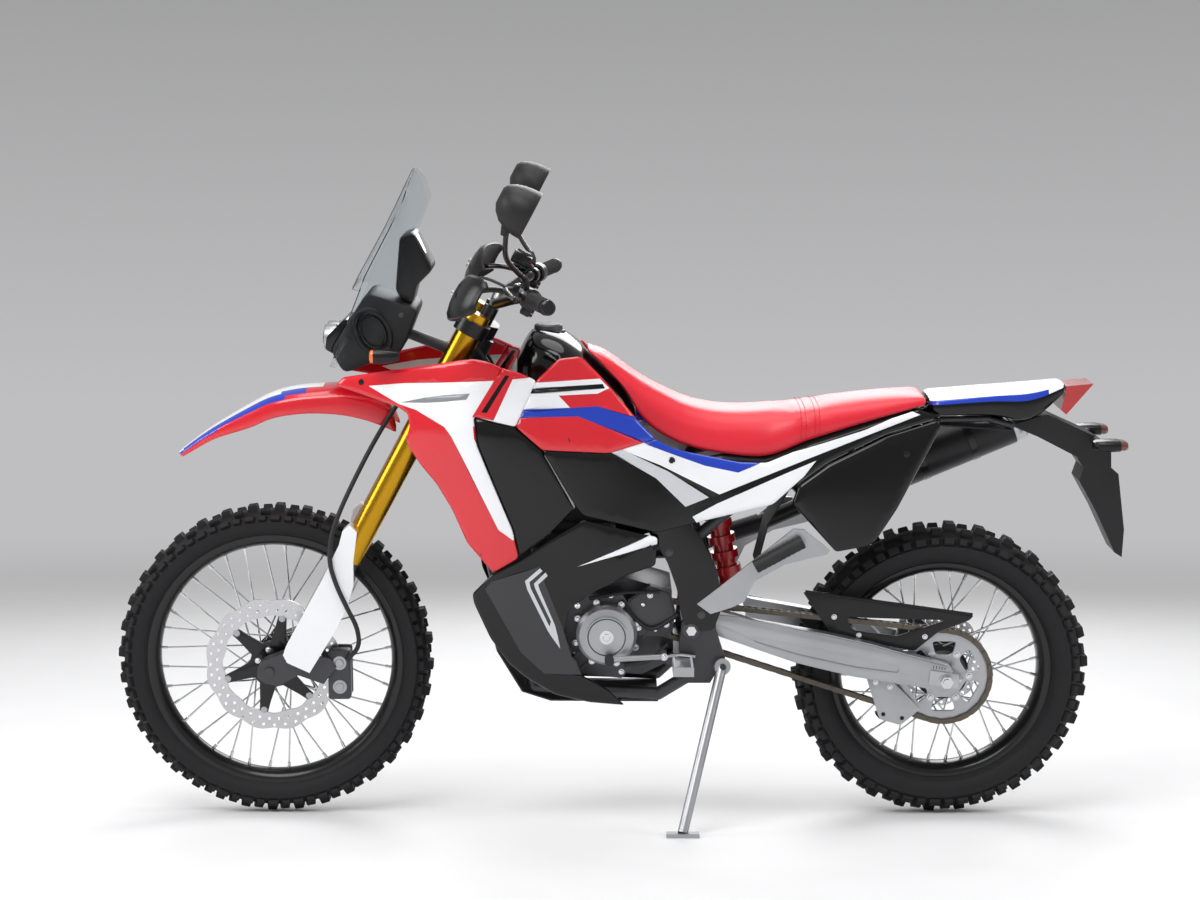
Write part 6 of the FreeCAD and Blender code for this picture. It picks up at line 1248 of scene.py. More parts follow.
def make_bar_ends():
    """Grips, switches, levers, mirrors and hand guards."""
    marks, radii = [], []
    for step in range(61):
        marks.append(bar_at(1.0 - 0.308 * step / 60))
        radii.append(16.8 if step in (0, 1, 59, 60) else (16.2 if step % 2 else 14.9))
    grips = [tube("grip", marks, 16, SOFT_RUBBER, STEER, sides=20, smooth=False, radii=radii)]
    end = [bar_at(1.0), bar_at(1.012), bar_at(1.035), bar_at(1.042)]
    grips.append(tube(
        "bar_end", end, 14, BLACK_METAL, STEER, sides=20, smooth=False, radii=[13, 15.5, 15.5, 12]
    ))
    joined("bar_grips", left_and_right(grips), "front_end", "grip_rubber", "handlebar_grips")

    housing = tube(
        "switch_case", [bar_at(0.685), bar_at(0.675), bar_at(0.61), bar_at(0.60)], 22, SMOOTH_BLACK, STEER,
        sides=14, smooth=False, radii=[17, 22.5, 22.5, 18],
    )
    centre = bar_at(0.642)
    bits = [housing]
    bits.append(box_of(
        "switch_block", centre + Vector((-8, -14, -34)), centre + Vector((14, 14, -12)), SMOOTH_BLACK,
        STEER, 4
    ))
    for rise, radius in ((-20, 4.5), (-29, 3.5)):
        spot = centre + Vector((14, 0, rise))
        bits.append(tube("switch_key", [spot, spot + Vector((5, 0, 0))], radius, DARK, STEER, smooth=False))
    perch = bar_at(0.585) + Vector((-22, 0, 3))
    bits.append(box_of(
        "lever_perch", perch + Vector((-16, -13, -11)), perch + Vector((12, 13, 13)), BLACK_METAL, STEER, 4
    ))
    knee = bar_at(0.62) + Vector((-50, 0, -8))
    tip = bar_at(0.96) + Vector((-54, 0, -16))
    blade = [
        perch + Vector((-8, -4, 0)), knee, knee * 0.62 + tip * 0.38 + Vector((6, 0, -3)),
        tip * 0.94 + knee * 0.06, tip
    ]
    bits.append(tube(
        "lever_blade", blade, 6, BLACK_METAL, STEER, sides=12, radii=[8.5, 7.5, 6.2, 5.2, 5.6, 7.5, 4]
    ))
    bits.append(hex_bolt(STEER, perch + Vector((-6, -4, 13)), 4.5, 4, (0, 0, 1), CHROME))
    both = left_and_right(bits)
    tank = bar_at(0.53)
    tank.y = -tank.y
    both.append(box_of(
        "fluid_tank", tank + Vector((-58, -22, 8)), tank + Vector((-14, 24, 36)), SMOOTH_BLACK, STEER, 5
    ))
    both.append(lathe(
        "tank_lid", [(0, 41), (15, 41), (17, 39), (18, 36), (18, 34)], MATT, STEER,
        centre=tuple(tank + Vector((-36, 1, 0))), count=24, axis="Z",
    ))
    cable = [
        bar_at(0.585) + Vector((-34, 6, 0)), Vector((-52, -170, 975)), Vector((-70, -110, 940)),
        Vector((-52, -64, 880))
    ]
    both.append(tube("clutch_cable", cable, 3.2, SOFT_RUBBER, STEER, sides=8))
    joined("bar_switches_levers", both, "front_end", "black_plastic", "handlebar_controls")

    centre = (-385.0, 1153.0)
    head = []
    for place, size, lift in (
        (-29, 0.93, 0), (-27, 0.985, 0), (-30, 1.0, 0), (-44, 0.99, 0), (-62, 0.93, 1), (-80, 0.80, 3),
        (-94, 0.58, 6),
        (-101, 0.34, 8),
    ):
        head.append(oval(place, (centre[0], centre[1] + lift), 64.5 * size, 50.5 * size, drop=0.22))
    shell = loft("mirror_shell", head, MATT, STEER, angle=60)
    glass = loft(
        "mirror_glass",
        [oval(-28.4, centre, 59, 45.5, drop=0.22), oval(-27.6, centre, 58.4, 45, drop=0.22)], MIRROR_GLASS,
        STEER,
    )
    stem = [
        Vector((31.2, -247, 1006)), Vector((26, -252, 1020)), Vector((-26.9, -324, 1047)),
        Vector((-50, -372, 1088)), Vector((-58, -387, 1119))
    ]
    arms = [tube("mirror_stem", stem, 5.5, BLACK_METAL, STEER, sides=12)]
    arms.append(tube(
        "mirror_boot", [stem[0], stem[0] + Vector((-3, -3, 10)), stem[1] + Vector((-6, -6, 6))], 9,
        SOFT_RUBBER, STEER, radii=[10, 9, 6.5]
    ))
    arms.append(tube(
        "mirror_nut", [stem[0] + Vector((0, 0, -12)), stem[0]], 8.5, CHROME, STEER, sides=6, smooth=False
    ))
    arms.append(tube(
        "mirror_ball", [Vector((-57, -386, 1094)), Vector((-60, -388, 1112))], 9.5, MATT, STEER,
        radii=[7, 11]
    ))
    joined("mirror_heads", left_and_right([shell, glass] + arms), "front_end", "black_plastic", "mirrors")

    rings = []
    for side, ahead, up, tall in stations_between(HAND_GUARD_STATIONS, 4):
        middle = Vector((FORK_LENGTH * ahead, 405 * side, FORK_LENGTH * up))
        half = FORK_LENGTH * tall
        outer = [
            (0.26, 1.0), (0.10, 0.86), (0.02, 0.5), (0.0, 0.12), (0.03, -0.35), (0.13, -0.8), (0.28, -1.0)
        ]
        ring = [middle + Vector((half * back, 0, half * rise)) for back, rise in outer]
        rings.append(ring + [point + Vector((3.6, 0, 0)) for point in ring[::-1]])
    guard = loft("guard_shell", rings, SMOOTH_BLACK, STEER, angle=45)
    stay = [bar_at(0.55), Vector((-20, -232, 972)), Vector((-62, -262, 945)), Vector((-84, -283, 926))]
    arm = tube("guard_stay", stay, 6, BLACK_METAL, STEER, sides=12)
    clamp = tube(
        "guard_clamp", [bar_at(0.53), bar_at(0.57)], 17, BLACK_METAL, STEER, sides=20, smooth=False
    )
    bits = [guard, arm, clamp]
    for place in (Vector((-93, -283, 930)), Vector((-93, -330, 937))):
        bits.append(hex_bolt(STEER, place, 4.5, 3.5, (-1, 0, 0), CHROME))
    joined("hand_guard_shells", left_and_right(bits), "front_end", "black_plastic", "hand_guards")


HAND_GUARD_STATIONS = (
    (-0.990, -0.050, 1.075, 0.030),
    (-0.960, -0.066, 1.070, 0.044),
    (-0.900, -0.085, 1.060, 0.052),
    (-0.780, -0.102, 1.045, 0.056),
    (-0.660, -0.095, 1.030, 0.050),
    (-0.560, -0.070, 1.020, 0.036),
)
NOSE_SHARES = (
    (-0.350, 0.798), (-0.275, 0.774), (-0.300, 0.711), (-0.385, 0.679), (-0.404, 0.712), (-0.375, 0.759),
)
LAMP_SHARES = (
    (-0.3775, 0.755), (-0.404, 0.712), (-0.401, 0.706), (-0.413, 0.713), (-0.411, 0.731), (-0.385, 0.757),
)
METER_SHARES = (
    (-0.303, 0.877), (-0.283, 0.884), (-0.255, 0.829), (-0.279, 0.805), (-0.286, 0.7778), (-0.300, 0.7823),
    (-0.310, 0.800),
)
LAMP_PLACES = ((-584.0, 32.0, 1058.0, 27.0), (-584.0, -32.0, 1058.0, 27.0))


def make_nose():
    """The lamp housing with its two round lamps, the instrument and the indicators."""
    nose = plate("nose_case", rounded(shares(NOSE_SHARES), 16), -95.5, 95.5, MATT, BIKE, bevel=7)
    bits = [nose]
    for sign in (-1, 1):
        for radius, thick, mat in ((1.0, 5.5, SMOOTH_BLACK), (0.72, 3.0, BLACK)):
            loop = []
            for step in range(25):
                turn = step * math.pi / 12
                loop.append(Vector((
                    -497 + 36 * radius * math.cos(turn) - 10 * radius * math.sin(turn), sign * 97,
                    1078 + 46 * radius * math.sin(turn)
                )))
            bits.append(tube("lamp_ring", loop, thick, mat, BIKE, sides=10, smooth=False, caps=False))
        for spot in ((-0.300, 0.765), (-0.318, 0.712), (-0.352, 0.770)):
            bits.append(hex_bolt(
                BIKE, (spot[0] * BASE, sign * 95.5, spot[1] * BASE), 4.5, 3.5, (0, sign, 0), CAST_DARK
            ))
    joined("nose_housing", bits, "root", "black_plastic", "nose_fairing")

    parts = [plate("lamp_case", rounded(shares(LAMP_SHARES), 6), -72, 72, BLACK, BIKE, bevel=5)]
    for x, side, z, radius in LAMP_PLACES:
        parts.append(lathe(
            "lamp_bezel",
            [
                (radius * 0.86, 4), (radius * 1.06, 4), (radius * 1.06, -17), (radius, -21),
                (radius * 0.88, -20), (radius * 0.86, -12)
            ],
            SILVER, BIKE, centre=(x, side, z), count=40, axis="X",
        ))
        parts.append(lathe(
            "lamp_bowl", [(0, -4), (radius * 0.35, -5), (radius * 0.62, -9), (radius * 0.86, -16)],
            REFLECTOR, BIKE,
            centre=(x, side, z), count=40, axis="X",
        ))
        parts.append(lathe(
            "lamp_lens", [(0, -25.5), (radius * 0.5, -24.5), (radius * 0.84, -20), (radius * 0.88, -18)],
            LENS, BIKE,
            centre=(x, side, z), count=40, axis="X",
        ))
    joined("headlamp_pair", parts, "root", "lamp_glass", "headlamp")

    meter = plate("meter_case", rounded(shares(METER_SHARES), 9), -64.5, 64.5, SMOOTH_BLACK, BIKE, bevel=6)
    top, low = Vector((-0.283 * BASE, 0, 0.884 * BASE)), Vector((-0.255 * BASE, 0, 0.829 * BASE))
    down = (low - top).normalized()
    out = Vector((-down.z, 0, down.x))
    face = []
    for inset, lift in ((6, 0.5), (9, 1.6)):
        a, b = top + down * (inset + 4) + out * lift, low - down * (inset + 4) + out * lift
        wide = 60 - inset
        face.append(
            [
                a + Vector((0, -wide, 0)), a + Vector((0, wide, 0)), b + Vector((0, wide, 0)),
                b + Vector((0, -wide, 0))
            ]
        )
    display = loft("meter_display", face, METER_GLASS, BIKE)
    joined("meter", [meter, display], "root", "black_plastic", "instrument_panel")

    pods = []
    for sign in (-1, 1):
        front = [oval(-0.299 * BASE, (sign * 184, 0.7135 * BASE), 9, 9, 16, 2.2)]
        for x, size in ((-0.303, 0.75), (-0.315, 0.95), (-0.332, 1.0), (-0.3355, 0.98)):
            front.append(oval(x * BASE, (sign * 184, 0.713 * BASE), 17 * size, 15.5 * size, 16, 2.8))
        pods.append(loft("pod_front", front, SMOOTH_BLACK, BIKE, angle=50))
        lens = [
            oval(x * BASE, (sign * 184, 0.713 * BASE), 16 * size, 14.6 * size, 16, 2.8) for x,
            size in ((-0.3355, 1.0), (-0.339, 0.96), (-0.341, 0.7))
        ]
        pods.append(loft("pod_lens", lens, LAMP_AMBER, BIKE, angle=50))
        pods.append(tube(
            "pod_stalk",
            [
                (-0.320 * BASE, sign * 172, 1037), (-0.320 * BASE, sign * 130, 1038),
                (-0.320 * BASE, sign * 96.5, 1038)
            ],
            7, SOFT_RUBBER, BIKE, radii=[7, 6, 6.5, 9]
        ))
        rear = []
        for x, size in ((0.709, 0.6), (0.713, 0.86), (0.724, 1.0), (0.742, 1.0), (0.746, 0.97)):
            rear.append(oval(x * BASE, (sign * 104, 0.5745 * BASE), 29 * size, 12.5 * size, 16, 3.0))
        pods.append(loft("pod_rear", rear, SMOOTH_BLACK, BIKE, angle=50))
        lens = [
            oval(x * BASE, (sign * 104, 0.5745 * BASE), 28 * size, 11.6 * size, 16, 3.0) for x,
            size in ((0.746, 1.0), (0.753, 0.96), (0.757, 0.75))
        ]
        pods.append(loft("pod_rear_lens", lens, SMOKED, BIKE, angle=50))
        pods.append(tube(
            "pod_rear_stalk",
            [
                (0.720 * BASE, sign * 44.2, 835), (0.722 * BASE, sign * 60, 835.5),
                (0.724 * BASE, sign * 80, 836)
            ],
            8, SOFT_RUBBER, BIKE, radii=[10, 7, 8]
        ))
    joined("turn_signals", pods, "root", "lamp_amber", "indicators")


def make_brake_and_axle():
    """The front caliper with its inner half and piston caps."""
    bits = [plate("caliper_case", rounded(steer(CALIPER_SHARES), 7), -102, -69, CAST_DARK, STEER, bevel=4)]
    bits.append(plate(
        "caliper_inner", rounded(steer(CALIPER_SHARES), 7), -52, -43, CAST_DARK, STEER, bevel=2.5
    ))
    for place, radius in CALIPER_PISTONS:
        spot = (place[0] * FORK_LENGTH, -102, place[1] * FORK_LENGTH)
        bits.append(lathe(
            "piston_cap",
            [(0, -4.5), (radius * 0.55, -4.5), (radius * 0.62, -2), (radius, -2), (radius * 1.05, 1)],
            SILVER, STEER, centre=spot, count=28
        ))
    joined("caliper_body", bits, "front_end", "cast_alloy", "front_brake_caliper")


CALIPER_SHARES = ((0.031, 0.106), (0.078, 0.131), (0.136, 0.024), (0.088, -0.002))
CALIPER_PISTONS = (((0.070, 0.092), 15.0), ((0.098, 0.040), 15.0))
METER_GLASS = material("meter_glass", rgb(24, 30, 34), 0.08, coat=0.8, mottle=0.2)
SMOKED = material("smoked_lens", rgb(96, 44, 14), 0.14, coat=0.8, mottle=0.08)


# Engine, exhaust, swingarm and foot controls


def inset_outline(outline, depth):
    """An outline moved inwards by a depth."""
    points = [Vector(point) for point in turned_left(outline)]
    moved = []
    count = len(points)
    for index, here in enumerate(points):
        before, after = points[index - 1], points[(index + 1) % count]
        first = Vector((-(here - before).y, (here - before).x)).normalized()
        second = Vector((-(after - here).y, (after - here).x)).normalized()
        way = (first + second).normalized()
        moved.append(here + way * depth / max(way.dot(first), 0.5))
    return moved


def frame_along(start, end):
    """A frame with X along a line of the bike, and its length."""
    along = Vector(end) - Vector(start)
    turn = Vector((1, 0, 0)).rotation_difference(along.normalized()).to_matrix().to_4x4()
    return BIKE @ Matrix.Translation(Vector(start)) @ turn, along.length


GENERATOR = Vector((-2.9, -115.0, 430.7))
CLUTCH = Vector((7.3, 115.0, 422.0))
CASE_BOLTS = (
    (-0.050, 0.262), (0.020, 0.236), (0.060, 0.255), (0.070, 0.300), (0.052, 0.338), (0.004, 0.352),
    (-0.045, 0.336),
)


def make_engine_detail():
    """Bolts, ribs, hoses and lines on the engine, and its side covers' rims."""
    bits = []
    for step in range(8):
        turn = 2 * math.pi * (step + 0.4) / 8
        spot = GENERATOR + Vector((69.5 * math.cos(turn), -8, 69.5 * math.sin(turn)))
        bits.append(tube(
            "bolt_boss", [spot + Vector((0, 9, 0)), spot], 7.5, SILVER, BIKE, sides=16, smooth=False
        ))
        bits.append(hex_bolt(BIKE, spot, 4.4, 4, (0, -1, 0), CHROME))
        spot = CLUTCH + Vector((80 * math.cos(turn), 9, 80 * math.sin(turn)))
        bits.append(tube(
            "bolt_boss", [spot - Vector((0, 10, 0)), spot], 7.5, CAST_DARK, BIKE, sides=16, smooth=False
        ))
        bits.append(hex_bolt(BIKE, spot, 4.4, 4, (0, 1, 0), CHROME))
    for radius, place, mat in ((52, -147.5, SILVER), (40.5, -159.5, CAST_DARK)):
        bits.append(lathe(
            "cover_rib", [(radius - 2.5, 0), (radius - 2, -2.2), (radius, -2.6), (radius + 1.5, 0)], mat,
            BIKE,
            centre=(GENERATOR.x, place, GENERATOR.z), count=56,
        ))
    bits.append(lathe(
        "inspection_cap", [(0, -4), (7, -4), (8, -2.6), (15, -2.2), (16, 1)], CHROME, BIKE,
        centre=(GENERATOR.x, -160, GENERATOR.z), count=32,
    ))
    for place, height in CASE_BOLTS:
        bits.append(hex_bolt(BIKE, (place * BASE, -115, height * BASE), 4.6, 5, (0, -1, 0), CHROME))
    for start, end in (
        ((-60, 348), (-34, 372)), ((38, 352), (62, 380)), ((-78, 372), (-58, 392)), ((74, 418), (92, 446))
    ):
        bits.append(tube(
            "case_rib", [(start[0], -116, start[1]), (end[0], -116, end[1])], 4.0, CAST_DARK, BIKE, sides=8,
            smooth=False
        ))
    lines = (
        ([(-190, -92, 640), (-150, -104, 612), (-120, -104, 560), (-96, -92, 520)], 13, SOFT_RUBBER),
        ([(-214, -96, 700), (-190, -92, 690), (-150, -84, 706), (-118, -74, 724)], 12, SOFT_RUBBER),
        ([(30, -116, 500), (58, -123, 462), (96, -124, 440), (150, -119, 470)], 4.5, SOFT_RUBBER),
        ([(-40, -116, 505), (-8, -124, 512), (40, -124, 520), (110, -118, 520)], 4.0, SOFT_RUBBER),
        ([(20, -117, 376), (46, -124, 362), (92, -123, 372), (128, -119, 404)], 5.0, SOFT_RUBBER),
    )
    for points, radius, mat in lines:
        bits.append(tube("line", [Vector(point) for point in points], radius, mat, BIKE, sides=12))
    for spot, radius in (((-190, -92, 640), 15.5), ((-96, -92, 520), 15.5), ((-118, -74, 724), 14.5)):
        spot = Vector(spot)
        bits.append(tube(
            "clip", [spot + Vector((-3, 0, -5)), spot + Vector((3, 0, 5))], radius, CHROME, BIKE, sides=16,
            smooth=False
        ))
    bits.append(plate(
        "sprocket_guard",
        rounded(
            shares(
                (
                    (0.032, 0.292), (0.032, 0.345), (0.062, 0.364), (0.091, 0.355), (0.098, 0.325),
                    (0.090, 0.292)
                )
            ),
            9
        ),
        -119, -115, CAST_DARK, BIKE, bevel=2,
    ))
    for spot in ((0.045, 0.303), (0.062, 0.352), (0.086, 0.308)):
        bits.append(hex_bolt(BIKE, (spot[0] * BASE, -119, spot[1] * BASE), 4.6, 4.5, (0, -1, 0), CHROME))
    joined("engine_fittings", bits, "root", "engine_alloy")


def make_exhaust_detail():
    """The muffler's bright end, its bands and heat guard, and a guard on the pipe."""
    where, long = frame_along(
        (0.405 * BASE, MUFFLER_PLACE, 0.492 * BASE), (0.625 * BASE, MUFFLER_PLACE, 0.584 * BASE)
    )
    reach = MUFFLER_RADIUS
    bits = [
        lathe(
            "muffler_rim",
            [
                (reach - 2, -16), (reach + 0.8, -15), (reach + 1.2, 0), (reach - 1, 7), (reach - 7, 13),
                (44, 13.2)
            ],
            STEEL, where, centre=(long, 0, 0), axis="X"
        ),
        lathe(
            "muffler_end",
            [(44, 13), (40, 17), (26, 19), (22, 17), (20.5, 24), (18, 24), (17.5, 6), (0, 5)], STEEL, where,
            centre=(long, 0, 0), axis="X"
        ),
    ]
    for place in (14, 118, 236):
        bits.append(lathe(
            "muffler_band", [(reach, -9), (reach + 1.6, -8), (reach + 1.6, 8), (reach, 9)], BLACK_METAL,
            where, centre=(place, 0, 0), axis="X"
        ))
    for step in range(6):
        turn = 2 * math.pi * step / 6
        bits.append(hex_bolt(
            where, (long + 15.5, 33 * math.cos(turn), 33 * math.sin(turn)), 3.6, 3, (1, 0, 0), CHROME
        ))
    guard = []
    for along in range(9):
        ring = []
        for step in range(9):
            turn = math.radians(-62 + 124 * step / 8)
            taper = 1 - 0.25 * abs(along - 4) / 4 * abs(step - 4) / 4
            ring.append(Vector(
                (150 + (along - 4) * 24 * taper, (reach + 7) * math.cos(turn), (reach + 7) * math.sin(turn))
            ))
        guard.append(ring)
    shield = loft("muffler_guard", guard, MATT, where, closed=False, caps=False, angle=60)
    wall = shield.modifiers.new("wall", "SOLIDIFY")
    wall.thickness = 2.5 * MM
    bits.append(shield)
    for along in (74, 226):
        bits.append(hex_bolt(where, (along, reach + 7, 0), 4.5, 4, (0, 1, 0), CHROME))
    pipe = [Vector(row) * BASE for row in EXHAUST_SHARES]
    bits.append(tube(
        "pipe_guard",
        [pipe[4] * 0.95 + pipe[5] * 0.05, pipe[4] * 0.5 + pipe[5] * 0.5, pipe[5] * 0.97 + pipe[4] * 0.03],
        22, MATT, BIKE, sides=20, smooth=False
    ))
    joined("muffler_fittings", bits, "root", "exhaust_steel")


SWINGARM_SHARES = (
    (0.112, 0.330), (0.190, 0.322), (0.320, 0.294), (0.390, 0.278), (0.477, 0.253), (0.505, 0.246),
    (0.517, 0.227),
    (0.502, 0.206), (0.465, 0.212), (0.362, 0.229), (0.277, 0.250), (0.158, 0.292), (0.112, 0.292),
)
RECESS_SHARES = (
    (0.215, 0.290), (0.330, 0.268), (0.430, 0.246), (0.430, 0.235), (0.364, 0.244), (0.280, 0.263),
    (0.215, 0.283)
)


def make_swingarm_detail():
    """Raised faces, axle blocks, adjusters and bolts on the swingarm."""
    bits = []
    for sign in (-1, 1):
        near, far = (-121.5, -117.5) if sign < 0 else (117.5, 121.5)
        recess = [tuple(point) for point in rounded(shares(RECESS_SHARES), 8)]
        outline = inset_outline(shares(SWINGARM_SHARES), 3.0)
        bits.append(plate("arm_face", rounded(outline, 9), near, far, SILVER, BIKE, [recess], bevel=1.4))
        edge = sign * 121.5
        block = rounded(shares(((0.476, 0.2405), (0.519, 0.2335), (0.517, 0.211), (0.474, 0.218))), 5)
        bits.append(plate("axle_block", block, *sorted((edge, edge + sign * 3)), STEEL, BIKE, bevel=0.8))
        axle = Vector((BASE / 2, edge + sign * 3, REAR_AXLE_HEIGHT))
        bits.append(lathe(
            "axle_washer", [(0, sign * 2.4), (16, sign * 2.4), (17, sign * 1.8), (17, 0)], STEEL, BIKE,
            centre=tuple(axle), count=32
        ))
        bits.append(tube(
            "axle_nut", [axle + Vector((0, sign * 2, 0)), axle + Vector((0, sign * 13, 0))], 14, CHROME,
            BIKE, sides=6, smooth=False
        ))
        bits.append(tube(
            "axle_end", [axle, axle + Vector((0, sign * 17, 0))], 8.5, CHROME, BIKE, sides=20, smooth=False
        ))
        tail = Vector((0.517 * BASE, sign * 105, 0.224 * BASE))
        bits.append(tube(
            "adjuster", [tail, tail + Vector((14, 0, -2.5))], 4.2, CHROME, BIKE, sides=10, smooth=False
        ))
        bits.append(tube(
            "adjuster_nut", [tail + Vector((5, 0, -1)), tail + Vector((10, 0, -2))], 7.2, CHROME, BIKE,
            sides=6, smooth=False
        ))
        for step in range(5):
            spot = Vector(((0.481 + 0.0042 * step) * BASE, edge, (0.2445 - 0.0007 * step) * BASE))
            bits.append(tube(
                "mark", [spot + Vector((0, 0, 3)), spot + Vector((0, 0, -4))], 0.7, BLACK_METAL, BIKE,
                sides=6, smooth=False
            ))
        pivot = Vector((0.122 * BASE, sign * 148, 0.305 * BASE))
        bits.append(lathe(
            "pivot_cap", [(0, sign * 7), (9, sign * 7), (12, sign * 5), (19, sign * 3.5), (20, 0)],
            CAST_DARK, BIKE, centre=tuple(pivot), count=32
        ))
        bits.append(tube(
            "pivot_nut", [pivot, pivot + Vector((0, sign * 11, 0))], 11, CHROME, BIKE, sides=6, smooth=False
        ))
    joined("swingarm_fittings", bits, "root", "swingarm_alloy")


GUARD_SHARES = (
    (0.288, 0.353), (0.542, 0.317), (0.536, 0.310), (0.491, 0.293), (0.455, 0.263), (0.366, 0.280),
    (0.329, 0.292)
)
GUARD_WINDOW_SHARES = ((0.3528, 0.3144), (0.4999, 0.3099), (0.4293, 0.2859), (0.3618, 0.2949))
GUIDE_SHARES = ((0.383, 0.226), (0.424, 0.216), (0.466, 0.174), (0.437, 0.149), (0.405, 0.158))


def make_chain_guards():
    """The black guard over the chain and the bright guide plate under the swingarm."""
    window = [tuple(point) for point in rounded(shares(GUARD_WINDOW_SHARES), 8)]
    guard = plate(
        "guard_plate", rounded(shares(GUARD_SHARES), 6), -91.6, -88.2, SMOOTH_BLACK, BIKE, [window],
        bevel=1.2
    )
    lip = tube(
        "guard_lip", [(0.292 * BASE, -89.9, 0.3535 * BASE), (0.540 * BASE, -89.9, 0.3185 * BASE)], 3.2,
        SMOOTH_BLACK, BIKE, smooth=False
    )
    bits = [guard, lip]
    for spot in ((0.372, 0.287), (0.470, 0.285), (0.335, 0.315)):
        bits.append(hex_bolt(BIKE, (spot[0] * BASE, -91.6, spot[1] * BASE), 4.4, 4, (0, -1, 0), CHROME))
    outline = rounded(shares(GUIDE_SHARES), 7)
    holes = [
        ring_points(4.5, 14, (0.4105 * BASE, 0.166 * BASE)),
        ring_points(4.5, 14, (0.4385 * BASE, 0.160 * BASE))
    ]
    bits.append(plate("guide_plate", outline, -91.6, -89.0, SILVER, BIKE, holes, bevel=1.0))
    bits.append(plate(
        "guide_inner", rounded(inset_outline(shares(GUIDE_SHARES), 2.0), 6), -66.5, -64.0, SILVER, BIKE,
        bevel=0.8
    ))
    bits.append(plate(
        "guide_block",
        rounded(
            shares(((0.398, 0.166), (0.405, 0.158), (0.437, 0.150), (0.462, 0.172), (0.455, 0.180))), 4
        ),
        -89, -66.5, MATT, BIKE, bevel=1.5
    ))
    for spot in ((0.398, 0.215), (0.4195, 0.208)):
        bits.append(hex_bolt(BIKE, (spot[0] * BASE, -91.6, spot[1] * BASE), 4.4, 4, (0, -1, 0), CHROME))
    joined("chain_guard_and_guide", bits, "root", "black_plastic", "chain_guards")


COVER_PX = (
    (622, 460), (630, 487), (648, 517), (666, 546), (676, 574), (680, 600), (687, 617), (712, 616),
    (721, 592), (716, 556),
    (701, 524), (681, 497), (656, 472), (641, 456),
)


def make_frame_covers():
    """The curved cover over the near side's pivot plate, with its bolts, and the head's cables."""
    bits = []
    for sign in (-1, 1):
        outline = rounded(from_photo(COVER_PX, 150), 12)
        near, far = sorted((sign * 148.4, sign * 152.5))
        if sign < 0:
            bits.append(plate("pivot_cover", outline, near, far, BLACK, BIKE, bevel=2.0))
        for spot in ((668, 537), (700, 600), (640, 486)):
            x, z = from_photo([spot], 150)[0]
            if sign < 0:
                bits.append(hex_bolt(BIKE, (x, sign * 152.5, z), 6.5, 4, (0, sign, 0), CAST_DARK))
    for side, radius in ((-30, 4.0), (34, 3.5), (-46, 3.0)):
        points = [
            Vector((-330, side, 1010)), Vector((-296, side * 1.3, 1046)), Vector((-262, side * 1.2, 1010)),
            Vector((-236, side, 962))
        ]
        bits.append(tube("loom", points, radius, SOFT_RUBBER, BIKE, sides=8))
    joined("frame_covers", bits, "root", "black_plastic")


def make_foot_detail():
    """Teeth on the rider's pegs, rubbers on the levers and the pillion pegs, and the gear lever's rod."""
    bits = []
    for sign in (-1, 1):
        for row in range(2):
            for step in range(9):
                x = (0.0965 + 0.025 * row) * BASE
                y = sign * (160 + step * 9.5)
                base_z = 0.266 * BASE
                verts = [
                    (x - 3, y - 3.4, base_z - 1), (x + 3, y - 3.4, base_z - 1),
                    (x + 3, y + 3.4, base_z - 1), (x - 3, y + 3.4, base_z - 1), (x, y, base_z + 5)
                ]
                bits.append(piece(
                    "tooth", verts, [(0, 1, 2, 3), (0, 1, 4), (1, 2, 4), (2, 3, 4), (3, 0, 4)], SILVER, BIKE
                ))
        bits.append(box_of(
            "peg_stub", (0.098 * BASE, min(sign * 148, sign * 166), 0.2475 * BASE),
            (0.120 * BASE, max(sign * 148, sign * 166), 0.2525 * BASE), CAST_DARK, BIKE, 2
        ))
    for points, radius in (
        ([(0.002 * BASE, -166, 0.266 * BASE), (0.002 * BASE, -200, 0.266 * BASE)], 10),
        ([(-0.020 * BASE, 157, 0.262 * BASE), (-0.020 * BASE, 192, 0.262 * BASE)], 10),
    ):
        ends = [Vector(points[0]), Vector(points[1])]
        line = [ends[0] + (ends[1] - ends[0]) * step / 12 for step in range(13)]
        bits.append(tube(
            "toe_rubber", line, radius, SOFT_RUBBER, BIKE, sides=16, smooth=False,
            radii=[10 if step % 2 else 8.8 for step in range(13)]
        ))
    line = [
        (0.082 * BASE, -160, 0.267 * BASE), (0.105 * BASE, -161, 0.270 * BASE),
        (0.128 * BASE, -162, 0.268 * BASE)
    ]
    bits.append(tube("gear_rod", [Vector(point) for point in line], 3.5, CHROME, BIKE, sides=8))
    bits.append(hex_bolt(BIKE, (0.082 * BASE, -163, 0.267 * BASE), 6, 5, (0, -1, 0), CHROME))
    for sign, reach in ((-1, 165.5), (1, 215.5)):
        first = Vector((0.214 * BASE, sign * reach, 0.402 * BASE))
        last = Vector((0.283 * BASE, sign * reach, 0.440 * BASE))
        line = [first + (last - first) * step / 20 for step in range(21)]
        bits.append(tube(
            "peg_rubber", line, 14, SOFT_RUBBER, BIKE, sides=18, smooth=False,
            radii=[14.6 if step % 2 else 13.4 for step in range(21)]
        ))
    joined("foot_fittings", bits, "root", "footrest_metal")


# Wheels


